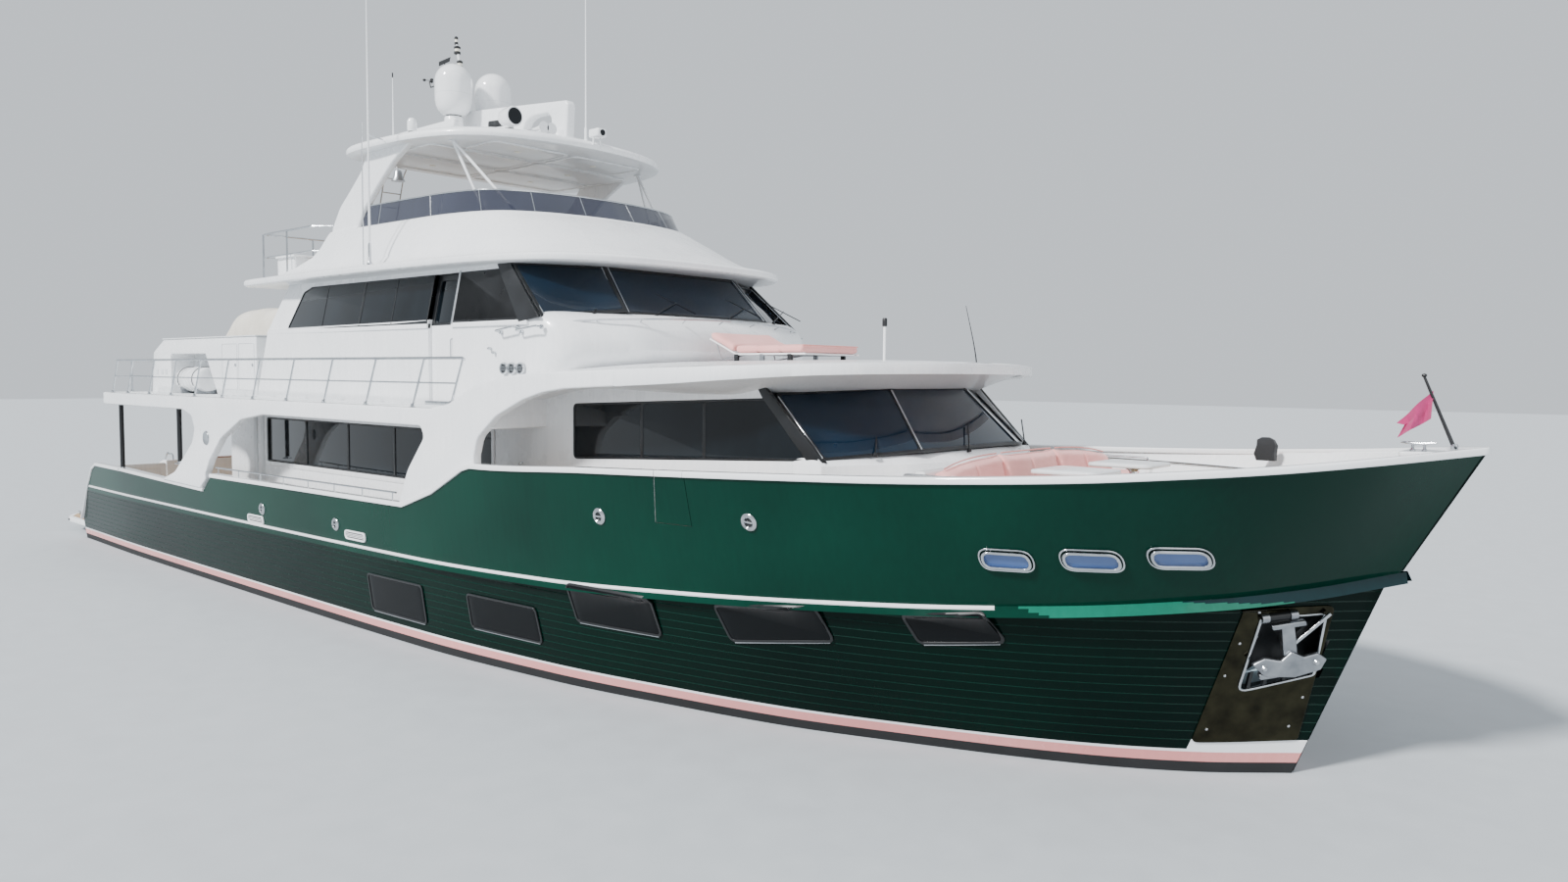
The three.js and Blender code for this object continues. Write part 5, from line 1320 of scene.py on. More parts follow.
def fore_front():
    """Coachroof below the forward windscreen, and the windscreen."""
    plans = (
        [(9.3, 2.36), (9.42, 2.3), (9.85, 1.72), (10.1, 1.15), (10.25, 0)],
        [(9.28, 2.36), (9.36, 2.3), (9.68, 1.65), (9.88, 1.13), (10.0, 0)],
        [(9.2, 2.33), (9.29, 2.26), (9.58, 1.6), (9.78, 1.12), (9.9, 0)],
    )
    foot, waist, top = (whole_plan([(8.9, half[0][1])] + half, 8) for half in plans)
    piece = Piece("coachroof_front")
    piece.add(levels([(foot, 2.28), (waist, 3.0), (top, 3.075), (inset(top, 0.05), 3.1)]), "white")
    low = [(9.3, -2.3, 3.06), (9.82, -1.13, 3.13), (9.82, 1.13, 3.13), (9.3, 2.3, 3.06)]
    high = [(8.5, -2.21, 3.79), (9.14, -0.85, 3.87), (9.14, 0.85, 3.87), (8.5, 2.21, 3.79)]
    glass_piece = Piece("fore_windscreen")
    for n in range(3):
        corners = (low[n], low[n + 1], high[n + 1], high[n])
        _, out = facet(corners, glass_piece, 0.05)
        for k in (n, n + 1):
            a, b = np.array(low[k]), np.array(high[k])
            strip(
                a + (b - a) * 0.03 + out * 0.004, b - (b - a) * 0.06 + out * 0.004, 0.022, 0.01, out,
                glass_piece
            )
    post = side_plate(
        [[(9.1, 3.035), (9.345, 3.035), (8.47, 3.88), (8.36, 3.88), (8.45, 3.74)]], -2.606, -2.55, 0.004
    )
    glass_piece.add(fore_turned(post), "gasket", both=True)
    for y in (-1.75, -0.2, 1.5):
        x = float(np.interp(abs(y), (0, 1.13, 2.3), (9.83, 9.82, 9.3)))
        base = np.array([x + 0.05, y, 3.09])
        tip = base + (-0.32, 0.42, 0.3)
        glass_piece.turn([(0.03, 0), (0.03, 0.03), (0.015, 0.05)], base, 14, look="gasket")
        glass_piece.bar([base + (0, 0, 0.04), tip + (0.04, 0, 0.02)], 0.009, 8, "gasket")
    for flip in (False, True):
        sheet_glass, ring = pane(FORE_WINDOW, -2.59, -2.575, 0.028, 0.008)
        for shape, look in ((sheet_glass, "glass"), (ring, "gasket")):
            turned_shape = fore_turned(shape)
            glass_piece.add(mirrored(turned_shape) if flip else turned_shape, look)
        for x in (6.5, 7.55):
            bar = [(x - 0.025, 2.93), (x + 0.025, 2.93), (x + 0.025, 3.66), (x - 0.025, 3.65)]
            bar = fore_turned(side_plate([bar], -2.594, -2.57, 0.003))
            glass_piece.add(mirrored(bar) if flip else bar, "gasket")
    piece.done("yacht", "gelcoat_white", "fore_front")
    glass_piece.done("yacht", "tinted_glass", "fore_glass")


deckhouse()

# Pilothouse
TUMBLEHOME = 0.21
WALL_DEEP, TRACK_GAP = 0.06, 0.016
SILL_Z = 4.7
PILOT_FRONT = {
    "corner": [(3.4, 4.55), (3.95, 4.76), (4.33, 4.97), (4.55, 4.93), (4.68, 4.8), (4.76, 4.62)],
    "mullion": [(3.4, 4.75), (3.95, 5.02), (4.33, 5.42), (4.55, 5.38), (4.68, 5.24), (4.76, 5.05)],
    "centre": [(3.4, 4.85), (3.95, 5.12), (4.33, 5.56), (4.55, 5.53), (4.68, 5.38), (4.76, 5.19)],
}
PILOT_WINDOW = rounded(
    [(-2.8, 4.73), (4.33, 4.73), (3.61, 5.48), (-2.12, 5.48), (-2.4, 5.4)], (0.06, 0.02, 0.02, 0.1, 0.1)
)
PILOT_DOOR = (1.88, 2.54, 3.56, 5.44)
WIND_LOW = [(4.63, -2.62, 4.77), (5.07, -1.48, 4.83), (5.07, 1.48, 4.83), (4.63, 2.62, 4.77)]
WIND_HIGH = [(3.75, -2.49, 5.52), (4.41, -1.35, 5.56), (4.41, 1.35, 5.56), (3.75, 2.49, 5.52)]


def leaned(shape):
    points, faces = shape
    points = points.copy()
    points[:, 1] += TUMBLEHOME * np.maximum(points[:, 2] - SILL_Z, 0)
    return points, faces


def lean_slices(shape):
    return leaned(sliced(shape, 2, [SILL_Z]))


def pilot_ring(z, drawn_in=0.0):
    aft = -4.05 + 0.41 * (z - 3.5) + drawn_in
    corner, mullion, centre = (float(ease(PILOT_FRONT[key], z)) for key in ("corner", "mullion", "centre"))
    half = [(aft, 2.7), (corner, 2.66), (mullion, 1.5), (centre, 0)]
    line = rounded([(x, -y) for x, y in half], (0, 0.6, 1.5, 0), 9, closed=False)
    plan = np.concatenate([line, line[::-1][1:] * (1, -1)])
    if drawn_in:
        plan = inset(plan, drawn_in)
    rise = np.clip((plan[:, 0] - 3.5) / 1.3, 0, 1)
    up = 0.085 * rise * rise * (3 - 2 * rise) * np.clip((z - 4.33) / 0.43, 0, 1)
    return np.column_stack([plan, z + up])


def pilothouse():
    heights = [3.4, 3.7, 3.95, 4.08, 4.2, 4.33, 4.45, 4.55, 4.62, 4.68, 4.72, 4.75]
    body = loft([pilot_ring(z) for z in heights] + [pilot_ring(4.76, 0.03)])
    inner = [pilot_ring(z, 0.08) for z in (3.3, 3.95, 4.33, 4.55, 4.68, 4.76)]
    hollow = loft(inner + [inner[-1] + (0, 0, 0.2)])
    door_aft, door_fore, door_low, door_high = PILOT_DOOR
    door = block(door_aft, door_fore, -3.2, -2.2, door_low, door_high, 0.02)
    shell = less(body, hollow, door, mirrored(door))
    Piece("pilothouse_body").add(shell, "white").done("yacht", "gelcoat_white", "pilothouse_front")
    wall = [(-3.6, 4.66), (4.4, 4.66), (4.4, 4.7), (3.72, 5.56), (-3.03, 5.56)]
    wall = side_plate([wall, PILOT_WINDOW[::-1]], -2.7, -2.64, 0.006)
    wall = less(wall, block(door_aft, door_fore, -3.2, -2.2, 4.5, 4.9, 0.005))
    for side, flip in SIDES:
        piece = Piece("pilothouse_wall_" + side)
        piece.add(lean_slices(wall), "white")
        piece.add(
            side_plate([rect(door_aft - 0.03, door_fore + 0.03, 3.5, 3.565)], -2.73, -2.62, 0.01), "steel"
        )
        for x in (3.86, 4.05, 4.25):
            cup = [(0.0, 0.0), (0.055, 0.002), (0.06, 0.02), (0.078, 0.028), (0.085, 0.012), (0.085, -0.01)]
            piece.turn(cup, (x, -2.69, 4.06), 28, OUTWARD)
            # A black disc inside each vent: painted shade
            piece.turn([(0.056, 0.0), (0.054, 0.008), (0.0, 0.01)], (x, -2.69, 4.06), 24, OUTWARD, "black")
            for k in (-0.025, 0.0, 0.025):
                piece.add(block(x - 0.05, x + 0.05, -2.718, -2.7, 4.055 + k, 4.065 + k, 0.003), "steel")
        for x, z in ((3.52, 4.34), (3.62, 4.28)):
            piece.turn([(0.022, -0.01), (0.022, 0.02), (0.012, 0.04), (0, 0.045)], (x, -2.69, z), 16, OUTWARD)
        for x0, x1 in ((3.78, 4.18), (4.26, 4.72)):
            grip = [(x0, -2.7, 4.57), (x0, -2.79, 4.58), (x1, -2.79, 4.63), (x1, -2.68, 4.62)]
            piece.bar(rounded(grip, 0.04, 4, closed=False), 0.014)
            for x, z in ((x0, 4.57), (x1, 4.62)):
                piece.turn([(0.03, -0.02), (0.03, 0.008), (0.014, 0.012)], (x, -2.695, z), 16, OUTWARD)
        piece.done("yacht", "gelcoat_white", "pilothouse_side_" + side, flip=flip)
        panes = Piece("pilothouse_glazing_" + side)
        fore = door_aft - 0.02
        line = [(-2.8, 4.73), (fore, 4.73), (fore, 5.48), (-2.12, 5.48), (-2.4, 5.4)]
        glass_plate, ring = pane(rounded(line, (0.06, 0.01, 0.01, 0.1, 0.1)), -2.69, -2.675, 0.022, 0.008)
        panes.add(leaned(glass_plate), "glass").add(leaned(ring), "gasket")
        for x, wide in ((-1.5, 0.01), (-0.22, 0.028), (0.8, 0.01)):
            panes.add(leaned(block(x - wide, x + wide, -2.696, -2.67, 4.735, 5.475, 0.004)), "gasket")
        panes.done("yacht", "tinted_glass", "pilothouse_window_" + side, flip=flip)
        leaf_piece = Piece("pilothouse_door_leaf_" + side)
        leaf = rounded(rect(door_aft - 0.04, door_fore + 0.04, 3.51, 5.5), 0.03)
        light = rounded(rect(door_aft + 0.06, door_fore - 0.06, 4.74, 5.38), 0.04)
        door_y = -2.7 + WALL_DEEP + 0.0003 + TRACK_GAP + 0.006
        leaf = lean_slices(side_plate([leaf, light[::-1]], door_y, door_y + 0.04, 0.005))
        leaf_piece.add(leaf, split_at(leaf, SILL_Z, "white", "gasket"))
        leaf_piece.add(lean_slices(side_plate([light], door_y + 0.01, door_y + 0.022, 0.002)), "glass")
        pull = [
            (2.45, door_y - out, z) for out, z in ((0.004, 4.2), (0.03, 4.22), (0.03, 4.48), (0.004, 4.5))
        ]
        leaf_piece.bar(rounded(pull, 0.02, 3, closed=False), 0.01)
        leaf_piece.done("pilothouse_door_" + side, "tinted_glass", "pilothouse_door_" + side, flip=flip)
    windscreen()
    pilot_aft()


def windscreen():
    """The wrap-round dark band forward of the doors, with flat panes."""
    piece = Piece("pilothouse_windscreen_panes")
    for sign in (1, -1):
        aft = PILOT_DOOR[1] + 0.02
        line = rounded([(aft, 4.73), (4.3, 4.73), (3.6, 5.48), (aft, 5.48)], 0.02)
        glass_plate, ring = pane(line, -2.69, -2.675, 0.022, 0.008)
        post = side_plate([[(4.22, 4.7), (4.66, 4.755), (3.76, 5.56), (3.46, 5.56)]], -2.707, -2.66, 0.006)
        stay = leaned(tube([(2.56, -2.7, 4.72), (2.56, -2.7, 5.5)], 0.02, 12))
        looks = ((glass_plate, "front_glass"), (ring, "gasket"), (post, "gasket"))
        for shape, look in (*((leaned(shape), look) for shape, look in looks), (stay, "steel")):
            piece.add(shape if sign > 0 else mirrored(shape), look)
    for n in range(3):
        corners = (WIND_LOW[n], WIND_LOW[n + 1], WIND_HIGH[n + 1], WIND_HIGH[n])
        u, out = facet(corners, piece, 0.075)
        for k, way in ((n, 1), (n + 1, -1)):
            a = np.array(WIND_LOW[k]) + u * way * 0.05
            b = np.array(WIND_HIGH[k]) + u * way * 0.05
            strip(a + (b - a) * 0.04 + out * 0.003, b - (b - a) * 0.04 + out * 0.003, 0.02, 0.009, out, piece)
    for y, lean in ((-1.95, 0.55), (-0.95, 0.6), (0.55, 0.6), (1.7, 0.5)):
        x = float(np.interp(abs(y), (1.48, 2.62), (5.07, 4.63)))
        foot = np.array([x + 0.02, y, 4.83])
        tip = foot + (-0.27, lean, 0.2)
        blade = tip + (-0.14, -0.3, 0.14), tip + (0.12, 0.3, -0.14)
        piece.turn([(0.028, -0.04), (0.028, 0.02), (0.012, 0.04)], foot, 14, look="gasket")
        piece.bar([foot + (0, 0, 0.03), tip + (0.05, 0, 0.03)], 0.008, 8, "gasket")
        piece.bar([blade[0] + (0.05, 0, 0.02), blade[1] + (0.05, 0, 0.02)], 0.008, 8, "rubber")
    path = [
        (4.84, -2.52, 4.68), (5.12, -2.05, 4.73), (5.36, -1.45, 4.76), (5.5, -0.75, 4.78), (5.54, 0, 4.79)
    ]
    path = curve_through(path, 6)
    path = np.concatenate([path, path[::-1][1:] * (1, -1, 1)])
    piece.bar(path, 0.013)
    for p in path[:: 6]:
        inner = p + (-0.11 if abs(p[1]) < 2.3 else -0.08, 0.04 * np.sign(-p[1]), -0.05)
        piece.bar([inner, p], 0.01, 8)
    piece.done("yacht", "tinted_glass", "pilothouse_windscreen")


def pilot_aft():
    piece = Piece("pilothouse_aft_wall")
    edge = 2.64 - TUMBLEHOME * (5.56 - SILL_Z)
    outline = [
        (-2.64, 3.5), (-0.65, 3.5), (-0.65, 5.37), (-0.57, 5.45), (0.57, 5.45), (0.65, 5.37), (0.65, 3.5),
        (2.64, 3.5), (2.64, SILL_Z), (edge, 5.56), (-edge, 5.56), (-2.64, SILL_Z)
    ]
    piece.add(end_plate([outline], -3.0, -2.94, 0.006), "white")
    for y in (-1.5, 1.5):
        port = rounded(rect(y - 0.55, y + 0.55, 4.55, 5.3), 0.1)
        piece.add(end_plate([port], -3.012, -2.99, 0.004), "glass")
        piece.add(end_plate([inset(port, -0.05), port[::-1]], -3.02, -2.99, 0.008), "white")
    piece.done("yacht", "gelcoat_white", "pilothouse_aft_bulkhead")
    leaf = Piece("sky_lounge_door_leaf")
    frame_line = rounded(rect(-0.7, 0.7, 3.51, 5.5), 0.03)
    light = rounded(rect(-0.56, 0.56, 3.72, 5.34), 0.04)
    leaf.add(end_plate([frame_line, light[::-1]], -2.934, -2.894, 0.006), "gasket")
    leaf.add(end_plate([light], -2.922, -2.91, 0.002), "glass")
    leaf.bar([(-2.885, 0.63, 4.3), (-2.885, 0.63, 4.7)], 0.011)
    leaf.done("sky_lounge_door", "tinted_glass", "sky_lounge_door")


pilothouse()

# Flybridge
FLY_HALF = [
    (-4.3, 2.55), (-4.24, 2.78), (-4.02, 2.89), (-3.2, 2.93), (-1.9, 2.97), (0, 2.98), (1.4, 2.96),
    (2.7, 2.9), (3.5, 2.79), (4.1, 2.6), (4.55, 2.32), (4.86, 1.88), (5.05, 1.32), (5.14, 0.65), (5.17, 0)
]
COAMING = [
    ((-3.95, 2.6), (-2.4, 2.29)), ((-1.5, 2.66), (-0.9, 2.31)), ((0.4, 2.67), (0.4, 2.3)),
    ((2.0, 2.62), (1.7, 2.25)), ((3.5, 2.36), (2.6, 2.0)), ((4.3, 1.92), (3.03, 1.47)),
    ((4.72, 1.25), (3.22, 0.85)), ((4.9, 0.55), (3.29, 0.38)), ((4.93, 0), (3.3, 0))
]
SCREEN = [
    ((-0.9, 2.25), (-0.8, 2.22)), ((0.5, 2.25), (0.45, 2.2)), ((1.7, 2.2), (1.56, 2.14)),
    ((2.5, 1.98), (2.33, 1.92)), ((2.92, 1.46), (2.72, 1.4)), ((3.12, 0.8), (2.9, 0.76)),
    ((3.2, 0), (2.97, 0))
]


def between_plans(rows, share, steps=8):
    half = [(a[0] + (b[0] - a[0]) * share, a[1] + (b[1] - a[1]) * share) for a, b in rows]
    return whole_plan(half, steps)


def flybridge():
    plan = whole_plan(FLY_HALF, 6)
    piece = Piece("fly_deck_edge")
    rings = [
        (0.5, 5.548), (0.14, 5.545), (0.05, 5.55), (0.012, 5.57), (0, 5.6), (0.004, 5.64), (0.03, 5.67),
        (0.08, 5.683), (0.3, 5.69)
    ]
    deck = levels([(inset(plan, d), z) for d, z in rings])
    # The deck edge's underside, in the greyer white: painted shade
    piece.add(deck, split_at(deck, 5.56, "soffit", "white"))
    whip = [(0.58, -2.9, 5.66), (0.58, -2.9, 5.98), (0.58, -2.9, 8.2), (0.58, -2.9, 10.18)]
    piece.turn(
        [(0.045, 0), (0.045, 0.02), (0.025, 0.05), (0.025, 0.3), (0.018, 0.34)], (0.58, -2.9, FLY_DECK_Z), 16
    )
    piece.bar(whip, [0.019, 0.019, 0.013, 0.006], look="cap")
    piece.bar([(0.3, -2.5, 7.72), (0.42, -2.78, 7.72), (0.58, -2.9, 7.72)], 0.012, 8)
    piece.bar([(0.44, -2.93, FLY_DECK_Z), (0.44, -2.93, 7.9)], 0.009, 8)
    lockers = block(-3.75, -3.05, -2.42, -1.6, FLY_DECK_Z, 6.1, 0.05)
    piece.add(lockers, "white").add(block(-3.77, -3.03, -2.44, -1.58, 6.08, 6.12, 0.015), "white")
    for x, y in (
        (-4.12, -2.5), (-4.12, -1.55), (-4.12, 0), (-4.12, 1.55), (-4.12, 2.5), (-3.15, -2.5), (-3.15, 2.5)
    ):
        piece.bar([(x, y, 5.69), (x, y, 6.55)], 0.016)
        piece.turn([(0.04, 0), (0.04, 0.01), (0.02, 0.02)], (x, y, 5.688), 16)
    for z, r in ((6.55, 0.019), (6.12, 0.012)):
        half = [(-1.87, -2.25, z), (-2.2, -2.5, z), (-4.12, -2.5, z)]
        line = rounded(half + [(x, -y, z) for x, y, z in half[::-1]], 0.12, 4, closed=False)
        piece.bar(line, r)
    piece.done("yacht", "gelcoat_white", "fly_deck")
    coaming()
    hardtop()


def coaming():
    profile = [(-0.16, 5.678, 0.0), (-0.07, 5.69, 0.0), (-0.02, 5.73, 0.02), (0.0, 5.82, 0.15)]
    rings = [(inset(between_plans(COAMING, share), out), z) for out, z, share in profile]
    for s in np.linspace(0.3, 0.93, 6):
        swell = 0.035 * math.sin(math.pi * s)
        rings.append((inset(between_plans(COAMING, s), -swell), FLY_DECK_Z + 0.77 * s))
    top = between_plans(COAMING, 0.97)
    rings += [(inset(top, 0.004), 6.425), (inset(top, 0.02), 6.443), (inset(top, 0.045), COAMING_TOP_Z)]
    well = [(-5.0, -2.12), (1.6, -2.12), (1.78, -1.35), (2.3, -1.25)]
    well = rounded(well + [(x, -y) for x, y in well[::-1]], (0, 0.3, 0.15, 0.15, 0.15, 0.15, 0.3, 0))
    steps = [(-5, 5.73), (-3.25, 5.73), (-2.55, 5.86), (-2.08, 5.99), (-1.93, 6.14), (-1.87, 6.7), (-5, 6.7)]
    steps = rounded(steps, (0, 0.2, 0.3, 0.1, 0.1, 0, 0))
    body = less(levels(rings), slab([well], 5.69, 6.6, 0.0), side_plate([steps], -3.4, 3.4, 0.0))
    piece = Piece("fly_coaming_moulding").add(body, "white")
    piece.add(slab([rounded(rect(-4.2, 1.58, -2.1, 2.1), 0.1)], 5.688, 5.696, 0.002), "teak")
    fly_furniture(piece)
    piece.done("yacht", "gelcoat_white", "fly_coaming")
    screen = Piece("fly_windscreen_panes")
    base, top = between_plans(SCREEN, 0.0, 10), between_plans(SCREEN, 1.0, 10)
    outer = [
        np.column_stack([base + (top - base) * s, np.full(len(base), 6.452 + 0.34 * s)]) for s in (0, 0.5, 1)
    ]
    inner = [np.column_stack([inset(r[:, :2], 0.014), r[:, 2]]) for r in outer][::-1]
    screen.add(loft(np.stack(outer + inner, 1)), "smoked")
    screen.bar(outer[-1] + (0, 0, 0.004), 0.012, 8)
    for k in range(4, len(base) - 4, 12):
        screen.bar([outer[0][k] + (0, 0, -0.01), outer[-1][k]], 0.008, 8)
    screen.done("yacht", "tinted_glass", "fly_windscreen")


def fly_furniture(piece):
    """Helm console with wheel and screens, two helm chairs, and a settee."""
    console = [(1.15, 5.69), (1.62, 5.69), (1.75, 6.42), (1.5, 6.62), (1.02, 6.4)]
    console = rounded(console, (0.02, 0.02, 0.08, 0.08, 0.08))
    piece.add(side_plate([console], -0.85, 0.85, 0.03), "white")
    for y in (-0.48, 0.0, 0.48):
        piece.add(block(1.14, 1.4, y - 0.21, y + 0.21, 6.49, 6.515, 0.006), "glass")

    def on_wheel(a):
        return (1.0 - 0.06 * math.sin(a), 0.19 * math.cos(a), 6.3 + 0.19 * math.sin(a))

    piece.add(tube([on_wheel(a) for a in full_turn(28)], 0.013, 8, closed=True), "steel")
    for a in (0.5, 2.6, 4.71):
        piece.bar([(1.03, 0, 6.3), on_wheel(a)], 0.008, 6)
    piece.bar([(1.03, 0, 6.3), (1.12, 0, 6.34)], 0.02)
    for y in (-0.42, 0.42):
        piece.turn([(0.2, 0), (0.2, 0.02), (0.05, 0.06), (0.045, 0.5), (0.1, 0.54)], (0.45, y, 5.69), 20)
        piece.add(block(0.2, 0.68, y - 0.26, y + 0.26, 6.22, 6.34, 0.05), "cap")
        piece.add(block(0.16, 0.28, y - 0.25, y + 0.25, 6.3, 6.86, 0.05), "cap")
    for x0, x1, y0, y1 in ((-2.6, -0.6, 1.35, 2.05), (-2.6, -1.95, 0.2, 1.45), (-2.4, -0.9, -2.05, -1.45)):
        piece.add(block(x0, x1, y0, y1, 5.69, 6.0, 0.03), "white")
        piece.add(block(x0 + 0.02, x1 - 0.02, y0 + 0.02, y1 - 0.02, 6.005, 6.15, 0.05, 5), "canvas")
    piece.add(block(-2.58, -0.62, 1.88, 2.06, 6.12, 6.5, 0.05, 5), "canvas")
    piece.turn([(0.2, 0), (0.2, 0.02), (0.04, 0.05), (0.04, 0.6)], (-1.35, 0.75, 5.69), 20)
    piece.add(block(-1.8, -0.9, 0.4, 1.1, 6.28, 6.32, 0.015), "varnish")


# Hardtop, its arch and gear
HARDTOP = [
    (-1.5, 1.0), (-1.48, 1.7), (-1.38, 2.14), (-1.1, 2.4), (-0.6, 2.49), (0.2, 2.48), (0.9, 2.41),
    (1.45, 2.27), (1.9, 2.02), (2.25, 1.61), (2.46, 1.1), (2.57, 0.56), (2.61, 0)
]
ARCH = rounded(
    [
        (-1.94, 6.1), (-1.86, 6.5), (-1.57, 6.85), (-1.18, 7.12), (-0.83, 7.38), (-0.6, 7.68), (0.76, 7.68),
        (0.2, 7.42), (-0.35, 7.04), (-0.76, 6.72), (-0.96, 6.43), (-0.96, 6.1)
    ],
    (0, 0.3, 0.6, 0.6, 0.5, 0, 0, 0.8, 1.2, 0.8, 0, 0), 8
)
MAST_FIN = rounded(
    [
        (-1.3, 7.85), (-1.33, 8.5), (-1.21, 8.84), (1.9, 8.57), (1.95, 8.5), (1.9, 7.85), (1.48, 7.85),
        (1.5, 8.33), (1.4, 8.43), (1.0, 8.44), (0.8, 8.39), (0.7, 8.26), (0.67, 7.85)
    ],
    (0, 0.15, 0.12, 0.06, 0.06, 0, 0, 0.08, 0.08, 0.1, 0.12, 0.12, 0), 5
)


def hardtop():
    plan = whole_plan(HARDTOP, 8)
    lip = [
        (0.16, 7.652), (0.06, 7.652), (0.015, 7.67), (0, 7.705), (0.006, 7.745), (0.04, 7.785), (0.14, 7.82)
    ]
    crown = [(0.86, 7.866), (0.7, 7.902), (0.5, 7.927), (0.3, 7.94), (0.1, 7.944), (0.01, 7.945)]
    piece = Piece("hardtop_moulding")
    rings = [(shrunk(plan, 0.01), 7.66), (shrunk(plan, 0.6), 7.66)] + [(inset(plan, d), z) for d, z in lip]
    shell = levels(rings + [(shrunk(plan, share), z) for share, z in crown])
    # The hardtop's underside, in the greyer white: painted shade
    piece.add(shell, split_at(shell, 7.664, "soffit", "white"))
    for x0, x1, half in ((-1.15, -0.15, 2.0), (0.0, 0.95, 2.02), (1.1, 1.95, 1.5)):
        for y0, y1 in ((-half, -0.08), (0.08, half)):
            panel = rounded(rect(x0, x1, y0, y1), 0.12)
            piece.add(slab([inset(panel, -0.035), panel[::-1]], 7.632, 7.662, 0.008), "white")
            # The ceiling panels, in the greyer white: painted shade
            piece.add(slab([panel], 7.644, 7.66, 0.003), "soffit")
            at = ((x0 + x1) / 2, (y0 + y1) / 2, 7.634)
            piece.turn([(0.0, 0.0), (0.05, 0.002), (0.06, 0.012)], at, 18, look="lamp")
    leg = side_plate([ARCH], -2.29, -2.17, 0.035)
    foot = side_plate(
        [rounded([(-1.93, 6.1), (-1.88, 6.43), (-0.9, 6.46), (-0.9, 6.1)], 0.02)], -2.33, -2.2, 0.02
    )
    piece.add(leg, "white", both=True).add(foot, "white", both=True)
    for x, y, z in ((2.04, -1.75, 6.45), (2.58, -1.54, 6.45)):
        piece.bar([(x, y, z), (1.41, -1.93, 7.67)], 0.024, 14, "cap", both=True)
        piece.turn([(0.05, 0), (0.05, 0.012), (0.03, 0.03)], (x, y, z - 0.006), 18, both=True)
    piece.turn([(0.07, -0.02), (0.065, 0.0)], (1.41, -1.93, 7.66), 18, look="white", both=True)
    gear(piece)
    piece.done("yacht", "gelcoat_white", "hardtop")
    radar()


